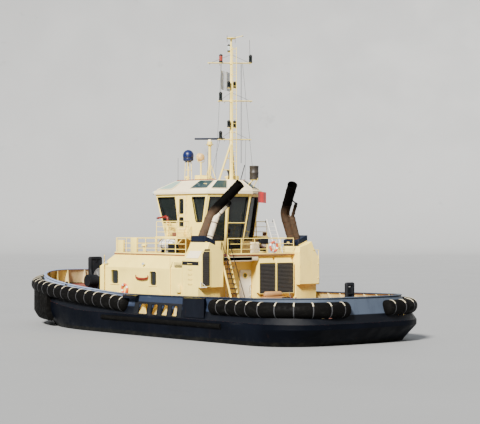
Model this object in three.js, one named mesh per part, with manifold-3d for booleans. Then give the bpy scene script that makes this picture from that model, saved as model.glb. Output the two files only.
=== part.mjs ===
// Harbour tugboat with two azimuth thrusters, 32.7 m long: hull, fenders, houses, mast and deck gear.
// Millimetres. +X runs forward, +Y to port, +Z up. The origin is amidships on the centreline at the waterline.
import * as THREE from "three";
import { mergeVertices } from "three/addons/utils/BufferGeometryUtils.js";
import Module from "manifold-3d";

const wasm = await Module();
wasm.setup();

// Clearances
const TOUCH = 0.3; // between pieces that bear on each other
const RUNNING = 8; // between a door leaf and the wall behind it

// Hull: driving sizes
const HALF_BREADTH = 5950;
const QUARTER_HALF_BREADTH = 5800;
const BOW_X = 15650;
const TRANSOM_X = -15900;
const SHOULDER_X = 5500;
const QUARTER_RADIUS = 3000;
const BOW_FULLNESS = 2.35; // exponent of the rounded bow in plan
const DECK_Z = 1300;
const SHEER_START_X = 5000;
const BOW_DECK_Z = 2650;
const HULL_BOTTOM_Z = -4050;
const RAIL_Z = 2560;
const RAIL_RISE_FORE = 1200;
const RAIL_RISE_AFT = 240;
const RAIL_HALF_BREADTH = 5480;
const BULWARK_THICKNESS = 90;
const RAIL_CAP = 70;

// Fenders
const BOW_FENDER_RADIUS = 480;
const SIDE_FENDER_RADIUS = 450;
const SIDE_FENDER_Z = 2100;

// Deckhouse and bridge deck
const HOUSE_AFT_X = -5600;
const HOUSE_FORE_X = 4700;
const HOUSE_HALF = 4800;
const HOUSE_KNUCKLE_Z = 4200;
const HOUSE_TOP_Z = 5000;
const HOUSE_TOP_FORE_X = 3800;
const HOUSE_TOP_HALF = 4200;
const HOUSE_WALL = 120;
const BRIDGE_DECK_Z = 5070;
const BRIDGE_DECK_AFT_X = -5900;

// Funnel casings
const CASING_FORE_X = -4400;
const CASING_AFT_X = -6300;
const CASING_INNER_Y = 3050;

// Wheelhouse
const WHEELHOUSE_WALL = 120;
const VISOR_Z = 8900;
const VISOR_TOP_Z = 9120;
const ROOF_Z = 9800;
const BRIDGE_FLOOR_Z = 6500;

// Thrusters
const THRUSTER_X = -11600;
const THRUSTER_Y = 2600;
const THRUSTER_SEAT_Z = -2450;
const SHAFT_Z = -4300;
const PROPELLER_RADIUS = 1400;

// Mast
const MAST_X = -3200;
const MAST_TOP_Z = 18940;

const colours = {
  navy: 0x1a2130, black: 0x15161a, cream: 0xe9d6a4, blue: 0x25324f, deck: 0x6e2c22, white: 0xeceae2,
  glass: 0x1c2a2c, brown: 0x5c4d42, grey: 0x4a4744, bronze: 0x9a7a42, steel: 0x8b8d8c, red: 0xa63026,
};

const group = new THREE.Group();

// Adds one closed body to the boat as a named mesh.
function add(name, body, colour, roughness = 0.5, metalness = 0.0) {
  const material = new THREE.MeshStandardMaterial({ color: colours[colour], roughness, metalness });
  const mesh = new THREE.Mesh(geometryOf(body), material);
  mesh.name = name;
  group.add(mesh);
  return mesh;
}

// A manifold solid from a closed three.js geometry.
function solid(geometry) {
  const g = geometry.index ? geometry.toNonIndexed() : geometry.clone();
  g.deleteAttribute("normal");
  g.deleteAttribute("uv");
  const merged = mergeVertices(g, 0.01);
  return solidFrom(Array.from(merged.attributes.position.array), Array.from(merged.index.array));
}

// A manifold solid from vertices and triangles, turned right way out.
function solidFrom(points, triangles) {
  const at = (i, k) => points[3 * i + k];
  let volume = 0;
  for (let i = 0; i < triangles.length; i += 3) {
    const [a, b, c] = triangles.slice(i, i + 3);
    volume += at(a, 0) * (at(b, 1) * at(c, 2) - at(b, 2) * at(c, 1));
    volume += at(a, 1) * (at(b, 2) * at(c, 0) - at(b, 0) * at(c, 2));
    volume += at(a, 2) * (at(b, 0) * at(c, 1) - at(b, 1) * at(c, 0));
  }
  const turned = triangles.slice();
  if (volume < 0)
    for (let i = 0; i < turned.length; i += 3) [turned[i + 1], turned[i + 2]] = [turned[i + 2], turned[i + 1]];
  return new wasm.Manifold(
    new wasm.Mesh({ numProp: 3, vertProperties: new Float32Array(points), triVerts: new Uint32Array(turned) }),
  );
}

function geometryOf(body) {
  const m = body.getMesh();
  const positions = new Float32Array(m.numVert * 3);
  for (let i = 0; i < m.numVert; i++)
    positions.set(m.vertProperties.subarray(i * m.numProp, i * m.numProp + 3), 3 * i);
  const g = new THREE.BufferGeometry();
  g.setAttribute("position", new THREE.BufferAttribute(positions, 3));
  g.setIndex(new THREE.BufferAttribute(m.triVerts, 1));
  g.computeVertexNormals();
  return g;
}

// The main piece of a cut body, without the slivers left beside it.
const largest = (body) => body.decompose().sort((a, b) => b.volume() - a.volume())[0];
const union = (...bodies) => bodies.flat().reduce((a, b) => a.add(b));
const mirrored = (body) => body.mirror([0, 1, 0]);
const moved = (body, x, y, z) => body.translate([x, y, z]);

// Box between two corners.
function box(lo, hi) {
  const size = [0, 1, 2].map((k) => hi[k] - lo[k]);
  return moved(solid(new THREE.BoxGeometry(...size)), ...[0, 1, 2].map((k) => (lo[k] + hi[k]) / 2));
}

// Round bar from a to b, with another radius at b if given.
function rod(a, b, radius, sides = 8, radiusB = radius) {
  const from = new THREE.Vector3(...a);
  const to = new THREE.Vector3(...b);
  const along = to.clone().sub(from);
  const g = new THREE.CylinderGeometry(radiusB, radius, along.length(), sides);
  g.applyQuaternion(
    new THREE.Quaternion().setFromUnitVectors(new THREE.Vector3(0, 1, 0), along.clone().normalize()),
  );
  g.translate(...from.add(to).multiplyScalar(0.5).toArray());
  return solid(g);
}

// Round bars joined through the given points by balls that are a little fatter and have one side more.
function bentRod(points, radius, sides = 8) {
  const bars = points.slice(1).map((p, i) => rod(points[i], p, radius, sides));
  const knees = points.slice(1, -1).map((p) => ball(p, radius * 1.015, sides + 1));
  return union(bars, knees);
}

// Square bar from a to b, lengthened past both ends by half its width.
function bar(a, b, width) {
  const from = new THREE.Vector3(...a);
  const to = new THREE.Vector3(...b);
  const along = to.clone().sub(from);
  const g = new THREE.BoxGeometry(width, along.length() + width, width);
  g.applyQuaternion(
    new THREE.Quaternion().setFromUnitVectors(new THREE.Vector3(0, 1, 0), along.clone().normalize()),
  );
  g.translate(...from.add(to).multiplyScalar(0.5).toArray());
  return solid(g);
}

// Square bars end to end through the given points.
const bars = (points, width) => union(points.slice(1).map((p, i) => bar(points[i], p, width)));

function ball(centre, radius, sides = 12) {
  return moved(solid(new THREE.SphereGeometry(radius, sides, Math.max(4, Math.round(sides / 2)))), ...centre);
}

// Prism of a polygon [[u, v], ...] held by a function that gives the space point at depth w.
function prism(polygon, place, w0, w1) {
  return loft([w0, w1].map((w) => polygon.map(([u, v]) => place(u, v, w))));
}
const alongX = (u, v, w) => [w, u, v];
const alongY = (u, v, w) => [u, w, v];

// Body of revolution about an axis through the origin; the profile holds [radius, height] points.
function turned(profile, axis, sides = 32) {
  const g = new THREE.LatheGeometry(profile.map(([r, h]) => new THREE.Vector2(r, h)), sides);
  if (axis === "x") g.rotateZ(-Math.PI / 2);
  if (axis === "z") g.rotateX(Math.PI / 2);
  return solid(g);
}

// Skin through sections of equally many points. A loop closes on its first section, else both ends are capped.
// Rings capped in strips are split alike on both sides of the centreline.
function loft(sections, loop = false, cap = planeCap) {
  const n = sections[0].length;
  const points = sections.flat(2);
  const triangles = [];
  const last = loop ? sections.length : sections.length - 1;
  for (let s = 0; s < last; s++) {
    const a = s * n;
    const b = ((s + 1) % sections.length) * n;
    for (let i = 0; i < n; i++) {
      const j = (i + 1) % n;
      if (cap === stripCap && i >= n / 2) triangles.push(a + i, a + j, b + i, a + j, b + j, b + i);
      else triangles.push(a + i, a + j, b + j, a + i, b + j, b + i);
    }
  }
  if (!loop) {
    const end = (sections.length - 1) * n;
    for (const t of cap(sections[0])) triangles.push(t[0], t[2], t[1]);
    for (const t of cap(sections[sections.length - 1])) triangles.push(end + t[0], end + t[1], end + t[2]);
  }
  return solidFrom(points, triangles);
}

// Triangles of a flat section, wound along the section's own direction.
function planeCap(section) {
  const normal = new THREE.Vector3();
  section.forEach((p, i) => {
    const q = section[(i + 1) % section.length];
    normal.x += (p[1] - q[1]) * (p[2] + q[2]);
    normal.y += (p[2] - q[2]) * (p[0] + q[0]);
    normal.z += (p[0] - q[0]) * (p[1] + q[1]);
  });
  normal.normalize();
  const u = new THREE.Vector3(...(Math.abs(normal.z) < 0.9 ? [0, 0, 1] : [1, 0, 0])).cross(normal).normalize();
  const v = normal.clone().cross(u);
  const flat = section.map((p) => {
    const point = new THREE.Vector3(...p);
    return new THREE.Vector2(u.dot(point), v.dot(point));
  });
  return THREE.ShapeUtils.triangulateShape(flat, []);
}

// Triangles across a ring that is symmetric about the centreline, in strips from side to side.
function stripCap(ring) {
  const n = ring.length;
  const half = n / 2;
  const triangles = [[0, 1, n - 1]];
  for (let i = 1; i < half - 1; i++) triangles.push([i, i + 1, n - i - 1], [i, n - i - 1, n - i]);
  triangles.push([half - 1, half, half + 1]);
  return triangles;
}

// Half outline of the hull in plan, from the middle of the transom round the port side to the stem.
const TRANSOM_STEPS = 2;
const QUARTER_STEPS = 6;
const SIDE_STEPS = 5;
const BOW_STEPS = 13;
function halfOutline({ half, quarterHalf, bowX, shoulderX, transomX, radius, fullness }) {
  const outline = [];
  const flatHalf = quarterHalf - radius;
  const camber = (y) => transomX + 120 * (y / flatHalf) ** 2;
  for (let i = 0; i < TRANSOM_STEPS; i++) {
    const y = (flatHalf * i) / TRANSOM_STEPS;
    outline.push([camber(y), y]);
  }
  const centre = [transomX + 120 + radius, flatHalf];
  for (let i = 0; i < QUARTER_STEPS; i++) {
    const a = (Math.PI / 2) * (i / QUARTER_STEPS);
    outline.push([centre[0] - radius * Math.cos(a), centre[1] + radius * Math.sin(a)]);
  }
  for (let i = 0; i < SIDE_STEPS; i++) {
    const t = i / SIDE_STEPS;
    const y = quarterHalf + (half - quarterHalf) * Math.sin((Math.PI / 2) * t);
    outline.push([centre[0] + (shoulderX - centre[0]) * t, y]);
  }
  for (let i = 0; i <= BOW_STEPS; i++) {
    const a = (Math.PI / 2) * (i / BOW_STEPS);
    const x = shoulderX + (bowX - shoulderX) * Math.sin(a) ** (2 / fullness);
    outline.push([x, i === BOW_STEPS ? 0 : half * Math.cos(a) ** (2 / fullness)]);
  }
  return outline;
}

const ringOf = (outline, height) => {
  const port = outline.map(([x, y]) => [x, y, height(x)]);
  const starboard = port.slice(1, -1).reverse().map(([x, y, z]) => [x, -y, z]);
  return [...port, ...starboard];
};

// Outward unit normal of an outline at each point, in plan.
function normals(outline) {
  return outline.map((p, i) => {
    const before = i ? outline[i - 1] : [outline[1][0], -outline[1][1]];
    const after = i < outline.length - 1 ? outline[i + 1] : [outline[i - 1][0], -outline[i - 1][1]];
    const dx = after[0] - before[0];
    const dy = after[1] - before[1];
    const length = Math.hypot(dx, dy);
    return [-dy / length, dx / length];
  });
}

function grown(outline, distance) {
  const outward = normals(outline);
  return outline.map(([x, y], i) => [x + outward[i][0] * distance, y + outward[i][1] * distance]);
}

function deckHeight(x) {
  if (x <= SHEER_START_X) return DECK_Z;
  return DECK_Z + (BOW_DECK_Z - DECK_Z) * ((x - SHEER_START_X) / (BOW_X - SHEER_START_X)) ** 1.3;
}
function railHeight(x) {
  return RAIL_Z + (x > 0 ? RAIL_RISE_FORE * (x / BOW_X) ** 1.5 : RAIL_RISE_AFT * (-x / -TRANSOM_X) ** 1.5);
}

// Hull sections by height.
// Columns: z, half-breadth, half-breadth aft, bow x, shoulder x, transom x, quarter radius, bow fullness.
const HULL_LEVELS = [
  [HULL_BOTTOM_Z, 4300, 2600, 9500, 1000, -5500, 1500, 2.0],
  [-3700, 5300, 3800, 10700, 1500, -6300, 2200, 2.0],
  [-2330, 5850, 4900, 11900, 2500, -8600, 3000, 2.0],
  [-2250, 5860, 4950, 12000, 2600, -13500, 3000, 2.0],
  [-1000, 5900, 5400, 12700, 3300, -14300, 3300, 2.1],
  [0, 5930, 5600, 13400, 4000, -15000, 3200, 2.2],
  [1000, HALF_BREADTH, QUARTER_HALF_BREADTH, 14900, SHOULDER_X, TRANSOM_X, QUARTER_RADIUS, BOW_FULLNESS],
];
const outlineOf = ([half, quarterHalf, bowX, shoulderX, transomX, radius, fullness]) =>
  halfOutline({ half, quarterHalf, bowX, shoulderX, transomX, radius, fullness });
const DECK_OUTLINE = outlineOf([
  HALF_BREADTH, QUARTER_HALF_BREADTH, BOW_X, SHOULDER_X, TRANSOM_X, QUARTER_RADIUS, BOW_FULLNESS,
]);
const RAIL_OUTLINE = outlineOf([RAIL_HALF_BREADTH, 5120, 15300, SHOULDER_X, -15480, 3400, BOW_FULLNESS]);

// Hull above the level where the after body is cut away for the thrusters, with their flat seats.
const PARTING_LEVEL = 2;
const SEAT_RADIUS = 900;
const SEAT_TOP_Z = -1800;
const levelRings = HULL_LEVELS.map(([z, ...shape]) => ringOf(outlineOf(shape), () => z));
function makeHull() {
  const body = loft([...levelRings.slice(PARTING_LEVEL), ringOf(DECK_OUTLINE, deckHeight)], false, stripCap);
  const seats = [1, -1].map((side) => {
    const at = (z) => [THRUSTER_X, side * THRUSTER_Y, z];
    return rod(at(THRUSTER_SEAT_Z), at(SEAT_TOP_Z), SEAT_RADIUS, 24);
  });
  return union(body, seats);
}
const hull = makeHull();
const hullClear = moved(hull, 0, 0, TOUCH);
add("hull", hull, "navy", 0.45);

// Bottom of the hull with its skeg, under the same level.
const SKEG_PROFILE = [
  [6500, -3900], [1500, -4700], [-7400, -5300], [-8300, -5300], [-8300, -2000], [6500, -2000],
];
const SKEG_HALF = 190;
function makeHullBottom() {
  const body = loft(levelRings.slice(0, PARTING_LEVEL + 1), false, stripCap);
  const skeg = prism(SKEG_PROFILE, alongY, -SKEG_HALF, SKEG_HALF);
  return union(body, skeg).subtract(moved(hull, 0, 0, -TOUCH));
}
add("hull_bottom", makeHullBottom(), "red", 0.6);

// Points of the ship's side by distance along the deck outline and by share of the height from deck to rail.
const sideLengths = [0];
for (let i = 1; i < DECK_OUTLINE.length; i++) {
  const [p, q] = [DECK_OUTLINE[i - 1], DECK_OUTLINE[i]];
  sideLengths.push(sideLengths[i - 1] + Math.hypot(q[0] - p[0], q[1] - p[1]));
}
const SIDE_LENGTH = sideLengths[sideLengths.length - 1];
const deckNormals = normals(DECK_OUTLINE);
function sideAt(distance, share) {
  const s = Math.min(Math.max(distance, 0), SIDE_LENGTH);
  const k = Math.max(1, sideLengths.findIndex((v) => v >= s));
  const t = (s - sideLengths[k - 1]) / (sideLengths[k] - sideLengths[k - 1]);
  const mix = (list, axis) => list[k - 1][axis] * (1 - t) + list[k][axis] * t;
  const at = (axis) => mix(DECK_OUTLINE, axis) * (1 - share) + mix(RAIL_OUTLINE, axis) * share;
  const n = [mix(deckNormals, 0), mix(deckNormals, 1)];
  const size = Math.hypot(...n);
  return { point: [at(0), at(1)], normal: [n[0] / size, n[1] / size], x: mix(DECK_OUTLINE, 0) };
}
// Distance along the outline at which the port side passes a given x, forward of the quarter.
function distanceAtX(x) {
  const k = DECK_OUTLINE.findIndex((p, i) => i > TRANSOM_STEPS && p[0] >= x);
  const [a, b] = [DECK_OUTLINE[k - 1][0], DECK_OUTLINE[k][0]];
  return sideLengths[k - 1] + ((x - a) / (b - a)) * (sideLengths[k] - sideLengths[k - 1]);
}

// Solid that fills the hull, the bulwark and the space inside it, used to cut the backs of the fenders.
const FOOT_INSET = 5;
const FOOT_DEPTH = 20;
const FILLER_LEVEL = 4;
function makeSideFiller(distance) {
  const hullRings = HULL_LEVELS.slice(FILLER_LEVEL).map(([z, ...shape]) =>
    ringOf(grown(outlineOf(shape), distance), () => z),
  );
  hullRings.push(ringOf(grown(DECK_OUTLINE, distance), (x) => deckHeight(x) + distance));
  const plateRings = [
    ringOf(grown(DECK_OUTLINE, distance - FOOT_INSET), (x) => deckHeight(x) - FOOT_DEPTH),
    ringOf(grown(RAIL_OUTLINE, distance), (x) => railHeight(x) - RAIL_CAP),
  ];
  const capRings = [-RAIL_CAP - distance, distance].map((up) =>
    ringOf(grown(RAIL_OUTLINE, RAIL_CAP + distance), (x) => railHeight(x) + up),
  );
  return union([hullRings, plateRings, capRings].map((rings) => loft(rings, false, stripCap)));
}
const sideFiller = makeSideFiller(TOUCH * 2);

// Bulwark: a plate leaning inboard on the deck edge under a rail, cut by four freeing ports a side.
const FREEING_PORTS = [[-2200, -1250], [-3250, -2600], [-4300, -3650], [-5300, -4700]];
const FREEING_PORT_Z = [1390, 1990];
const FREEING_CUT_Y = [4800, 6500];
function makeBulwark() {
  const outward = normals(DECK_OUTLINE);
  const half = DECK_OUTLINE.map((foot, i) => {
    const rail = RAIL_OUTLINE[i];
    const n = outward[i];
    const top = railHeight(rail[0]);
    const base = deckHeight(foot[0]);
    const at = (from, out, z) => [from[0] + n[0] * out, from[1] + n[1] * out, z];
    return [
      at(foot, -FOOT_INSET, base - FOOT_DEPTH),
      at(rail, 0, top - RAIL_CAP),
      at(rail, RAIL_CAP, top - RAIL_CAP),
      at(rail, RAIL_CAP, top),
      at(rail, -2 * RAIL_CAP, top),
      at(rail, -2 * RAIL_CAP, top - RAIL_CAP),
      at(rail, -BULWARK_THICKNESS, top - RAIL_CAP),
      at(foot, -BULWARK_THICKNESS - FOOT_INSET, base - FOOT_DEPTH),
    ];
  });
  const portSide = loft(half);
  const ring = portSide.add(mirrored(portSide));
  const [y0, y1] = FREEING_CUT_Y;
  const [z0, z1] = FREEING_PORT_Z;
  const ports = union(FREEING_PORTS.map(([x0, x1]) => box([x0, y0, z0], [x1, y1, z1])));
  return largest(ring.subtract(ports).subtract(mirrored(ports)).subtract(hullClear));
}
add("bulwark", makeBulwark(), "navy", 0.45);

// Section of a fender or strake on the ship's side: a polygon of [out, up] about the point at height z.
function sideSection(distance, z, offset, polygon) {
  const x = sideAt(distance, 0).x;
  const share = Math.max(0, (z - deckHeight(x)) / (railHeight(x) - deckHeight(x)));
  const { point, normal } = sideAt(distance, share);
  return polygon.map(([out, up]) => [
    point[0] + normal[0] * (out + offset), point[1] + normal[1] * (out + offset), z + up,
  ]);
}
const circle = (radius, sides, start = 0) =>
  Array.from({ length: sides }, (_, i) => {
    const a = start + (2 * Math.PI * i) / sides;
    return [radius * Math.cos(a), radius * Math.sin(a)];
  });
const mirrorSection = (section) => section.map(([x, y, z]) => [x, -y, z]);
const steps = (from, to, count) =>
  Array.from({ length: count + 1 }, (_, i) => from + ((to - from) * i) / count);

// Round fender about the bow, lower at its after ends.
const BOW_FENDER_AFT_X = 0;
const BOW_FENDER_AFT_Z = 1870;
const BOW_FENDER_FORE_Z = 2930;
const bowFenderStart = distanceAtX(BOW_FENDER_AFT_X);
function bowFenderHeight(distance) {
  const share = (sideAt(distance, 0).x - BOW_FENDER_AFT_X) / (BOW_X - BOW_FENDER_AFT_X);
  return BOW_FENDER_AFT_Z + (BOW_FENDER_FORE_Z - BOW_FENDER_AFT_Z) * share;
}
const BOW_FENDER_OUT = 220;
function roundBow(from, offset, polygonAt, heightAt, count) {
  const port = steps(from, SIDE_LENGTH, count).map((s) => sideSection(s, heightAt(s), offset(s), polygonAt(s)));
  return loft([...port, ...port.slice(0, -1).reverse().map(mirrorSection)]);
}
const bowOffset = (s) => BOW_FENDER_OUT * Math.min(1, (s - bowFenderStart) / 6000 + 0.15);
function bowFender(grow) {
  const section = circle(BOW_FENDER_RADIUS + grow, 10, Math.PI / 10);
  return roundBow(bowFenderStart, bowOffset, () => section, bowFenderHeight, 21);
}
add("bow_fender", bowFender(0).subtract(sideFiller), "black", 0.8);

// Block fender below the round one, from shoulder to shoulder.
const BLOCK_AFT_X = 9500;
const blockStart = distanceAtX(BLOCK_AFT_X);
function makeBlockFender() {
  const profile = [[-500, -200], [60, -200], [330, 250], [330, 1800], [-500, 1800]];
  const height = (s) => 600 + (300 * (s - blockStart)) / (SIDE_LENGTH - blockStart);
  const band = steps(blockStart, SIDE_LENGTH, 9).map((s) =>
    sideSection(s, DECK_Z, 0, profile.map(([out, up]) => [out, up + height(s) - DECK_Z])),
  );
  const body = loft([...band, ...band.slice(0, -1).reverse().map(mirrorSection)]);
  return body.subtract(sideFiller).subtract(bowFender(TOUCH * 2));
}
add("bow_block_fender", makeBlockFender(), "black", 0.85);

// Round fenders along the after sides, round the quarters and onto the transom.
const SIDE_FENDER_FORE_X = -8800;
const TRANSOM_FENDER_END_Y = 1800;
function makeSideFender() {
  const body = loft(
    steps(TRANSOM_FENDER_END_Y, distanceAtX(SIDE_FENDER_FORE_X), 14).map((s) =>
      sideSection(s, SIDE_FENDER_Z, 120, circle(SIDE_FENDER_RADIUS, 10, Math.PI / 10)),
    ),
  );
  return body.subtract(sideFiller);
}
const sideFender = makeSideFender();
add("side_fender_port", sideFender, "black", 0.8);
add("side_fender_starboard", mirrored(sideFender), "black", 0.8);

// Half-round strakes along the sides between the fenders.
const STRAKE_Z = 1000;
const STRAKE_X = [-9600, 2700];
const STRAKE_RADIUS = 150;
function makeStrake() {
  const section = circle(STRAKE_RADIUS, 8);
  const stations = steps(distanceAtX(STRAKE_X[0]), distanceAtX(STRAKE_X[1]), 8);
  const body = loft(stations.map((s) => sideSection(s, STRAKE_Z, 0, section)));
  return body.subtract(sideFiller).subtract(makeSideFenderClear());
}
function makeSideFenderClear() {
  return box([-16500, -7000, SIDE_FENDER_Z - SIDE_FENDER_RADIUS - 20], [SIDE_FENDER_FORE_X + 20, 7000, 3000]);
}
const strake = makeStrake();
add("rubbing_strake_port", strake, "black", 0.7);
add("rubbing_strake_starboard", mirrored(strake), "black", 0.7);

// Deckhouse: walls with a sloped upper strake, hollow inside, with its windows, after recess and doorway cut.
const HOUSE_WINDOWS_X = [[2530, 3400], [-1710, -950]];
const HOUSE_WINDOW_Z = [3100, 4000];
const HOUSE_FRONT_WINDOWS_Y = [[-2900, -2000], [-500, 500], [2000, 2900]];
const RECESS_FORE_X = -5050;
const RECESS_Y = [-200, CASING_INNER_Y];
const RECESS_TOP_Z = 4700;
const DOORWAY_Y = [-60, 780];
const DOORWAY_Z = [1560, 4060];
function houseBody(inset, bottom, top) {
  const slope = (HOUSE_TOP_Z - HOUSE_KNUCKLE_Z) / (HOUSE_HALF - HOUSE_TOP_HALF);
  const ring = (aft, fore, half, z) => [[aft, -half, z], [fore, -half, z], [fore, half, z], [aft, half, z]];
  const rise = top - HOUSE_KNUCKLE_Z;
  const frontSlope = (HOUSE_FORE_X - HOUSE_TOP_FORE_X) / (HOUSE_TOP_Z - HOUSE_KNUCKLE_Z);
  const [aft, fore, half] = [HOUSE_AFT_X + inset, HOUSE_FORE_X - inset, HOUSE_HALF - inset];
  return loft([
    ring(aft, fore, half, bottom),
    ring(aft, fore, half, HOUSE_KNUCKLE_Z),
    ring(aft, fore - rise * frontSlope, half - rise / slope, top),
  ]);
}
const besideCasing = (clear) =>
  [1, -1].map((side) =>
    side > 0
      ? box([-9000, CASING_INNER_Y - clear, 0], [CASING_FORE_X + clear, 6000, 8000])
      : box([-9000, -6000, 0], [CASING_FORE_X + clear, -CASING_INNER_Y + clear, 8000]),
  );
function makeDeckhouse() {
  const shell = houseBody(0, DECK_Z + TOUCH, HOUSE_TOP_Z)
    .subtract(union(besideCasing(TOUCH)))
    .subtract(box([-9000, RECESS_Y[0], 0], [RECESS_FORE_X, RECESS_Y[1] + 10, RECESS_TOP_Z]));
  const room = houseBody(HOUSE_WALL, DECK_Z - 100, HOUSE_TOP_Z - HOUSE_WALL)
    .subtract(union(besideCasing(HOUSE_WALL)))
    .subtract(box([-9000, -6000, 0], [RECESS_FORE_X + HOUSE_WALL, 6000, 8000]));
  const sideWindows = HOUSE_WINDOWS_X.map(([x0, x1]) =>
    box([x0, -6000, HOUSE_WINDOW_Z[0]], [x1, 6000, HOUSE_WINDOW_Z[1]]),
  );
  const frontWindows = HOUSE_FRONT_WINDOWS_Y.map(([y0, y1]) =>
    box([HOUSE_FORE_X - 400, y0, HOUSE_WINDOW_Z[0]], [HOUSE_FORE_X + 400, y1, HOUSE_WINDOW_Z[1]]),
  );
  const doorway = box(
    [RECESS_FORE_X - 100, DOORWAY_Y[0], DOORWAY_Z[0]],
    [RECESS_FORE_X + 400, DOORWAY_Y[1], DOORWAY_Z[1]],
  );
  return shell.subtract(room).subtract(union(sideWindows, frontWindows, doorway)).subtract(hullClear);
}

// Door hung outside a wall. Its own frame: u along the wall away from the hinge, v out of the wall, w up.
const LEAF = 50;
const HINGE_RADIUS = 28;
const HINGE_OUT = 40;
const HINGE_BACK = 45;
const LEAF_LAP = 40;
const HINGE_HEIGHTS = [0.15, 0.8];
const HINGE_LENGTH = 120;
function doorLeaf(width, height, panes) {
  let leaf = box([-LEAF_LAP, RUNNING, -LEAF_LAP], [width + LEAF_LAP, RUNNING + LEAF, height + LEAF_LAP]);
  for (const [u0, w0, u1, w1] of panes) leaf = leaf.subtract(box([u0, -100, w0], [u1, 200, w1]));
  const barrels = HINGE_HEIGHTS.map((share) => {
    const w = share * height;
    const u = -LEAF_LAP - HINGE_BACK;
    return union(
      rod([u, HINGE_OUT, w], [u, HINGE_OUT, w + HINGE_LENGTH], HINGE_RADIUS, 12),
      box([u, HINGE_OUT - 10, w], [-LEAF_LAP + 20, HINGE_OUT + 10, w + HINGE_LENGTH]),
    );
  });
  return union(leaf, barrels);
}
function doorLugs(height) {
  return HINGE_HEIGHTS.map((share) => {
    const w = share * height - TOUCH;
    const u = -LEAF_LAP - HINGE_BACK;
    return union(
      rod([u, HINGE_OUT, w - HINGE_LENGTH], [u, HINGE_OUT, w], HINGE_RADIUS, 12),
      box([u - 20, -20, w - HINGE_LENGTH], [u + 20, HINGE_OUT, w]),
    );
  });
}
// Places a body of the door's frame on the boat: hinge-side corner of the doorway, wall's outward direction.
function hang(body, corner, outwardDegrees, flip = false) {
  const shaped = flip ? body.mirror([1, 0, 0]) : body;
  return shaped.rotate([0, 0, outwardDegrees - 90]).translate(corner);
}

// The after door of the deckhouse hangs on its port side and opens aft.
const houseDoorSize = [DOORWAY_Y[1] - DOORWAY_Y[0], DOORWAY_Z[1] - DOORWAY_Z[0]];
const houseDoorCorner = [RECESS_FORE_X, DOORWAY_Y[1], DOORWAY_Z[0]];
const houseLugs = hang(union(doorLugs(houseDoorSize[1])), houseDoorCorner, 180, true);
const houseLeaf = hang(doorLeaf(...houseDoorSize, []), houseDoorCorner, 180, true);
add("deckhouse", union(makeDeckhouse(), houseLugs), "cream", 0.55);
add("deckhouse_door", houseLeaf, "white", 0.5);

// Bridge deck: the plate over the deckhouse, narrowed between the casings.
const DECK_EDGE = 50;
function makeBridgeDeck() {
  const aft = box(
    [BRIDGE_DECK_AFT_X, -CASING_INNER_Y + TOUCH, HOUSE_TOP_Z + TOUCH],
    [CASING_FORE_X + DECK_EDGE, CASING_INNER_Y - TOUCH, BRIDGE_DECK_Z],
  );
  const fore = box(
    [CASING_FORE_X + TOUCH, -HOUSE_TOP_HALF - DECK_EDGE, HOUSE_TOP_Z + TOUCH],
    [HOUSE_TOP_FORE_X + DECK_EDGE, HOUSE_TOP_HALF + DECK_EDGE, BRIDGE_DECK_Z],
  );
  return union(aft, fore);
}
add("bridge_deck", makeBridgeDeck(), "deck", 0.7);

// Funnel casings: outer wall leaning in over a knuckle, top sloping down to inboard, after part hung out aft.
const CASING_PROFILE = [
  [CASING_INNER_Y, 3100],
  [HOUSE_HALF, 3100],
  [HOUSE_HALF, 4750],
  [4330, 5450],
  [4150, 5870],
  [3350, 5550],
  [CASING_INNER_Y, 5200],
];
const CASING_FOOT_AFT_X = -6000;
const CAP_HEIGHT = 400;
const CAP_X = [-5880, -4420];
function makeCasing() {
  const upper = prism(CASING_PROFILE, alongX, CASING_AFT_X, CASING_FORE_X);
  const foot = box([CASING_FOOT_AFT_X, CASING_INNER_Y, DECK_Z - 100], [CASING_FORE_X, HOUSE_HALF, 3200]);
  return union(upper, foot).subtract(hullClear);
}
function makeCap() {
  const [outer, inner] = [CASING_PROFILE[4], CASING_PROFILE[5]];
  const profile = [
    [outer[0], outer[1] + TOUCH * 2], [outer[0], outer[1] + CAP_HEIGHT], [inner[0], inner[1] + CAP_HEIGHT],
    [inner[0], inner[1] + TOUCH * 2],
  ];
  return prism(profile, alongX, ...CAP_X);
}
const casing = makeCasing();
const cap = makeCap();

// Exhausts: a wide duct and a thinner pipe behind it rise from each cap, lean inboard and turn aft.
const DUCT_POINTS = [[-4900, 3760, 5800], [-5000, 2950, 7650], [-6770, 2110, 9465]];
const DUCT_RADIUS = 300;
const PIPE_POINTS = [[-5520, 3680, 5700], [-5600, 3080, 7380], [-6480, 2660, 8280]];
const PIPE_RADIUS = 190;
const MOUTH_DEPTH = 0.25;
function makeExhaust() {
  const mouth = (points, radius) => {
    const [from, to] = points.slice(-2);
    const at = (share) => from.map((v, k) => v + (to[k] - v) * share);
    return rod(at(1 - MOUTH_DEPTH), at(1.05), radius * 0.86, 12);
  };
  const clamp = rod(DUCT_POINTS[1], PIPE_POINTS[1], 60, 8);
  const outside = union(bentRod(DUCT_POINTS, DUCT_RADIUS, 14), bentRod(PIPE_POINTS, PIPE_RADIUS, 10), clamp);
  const mouths = union(mouth(DUCT_POINTS, DUCT_RADIUS), mouth(PIPE_POINTS, PIPE_RADIUS));
  return outside.subtract(mouths).subtract(moved(cap, 0, 0, TOUCH * 2)).subtract(moved(cap, 0, 0, -200));
}
const exhaust = largest(makeExhaust());
for (const [side, flip] of [["port", (b) => b], ["starboard", mirrored]]) {
  add("casing_" + side, flip(casing), "cream", 0.55);
  add("casing_cap_" + side, flip(cap), "blue", 0.5);
  add("exhaust_" + side, flip(exhaust), "brown", 0.7);
}

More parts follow.
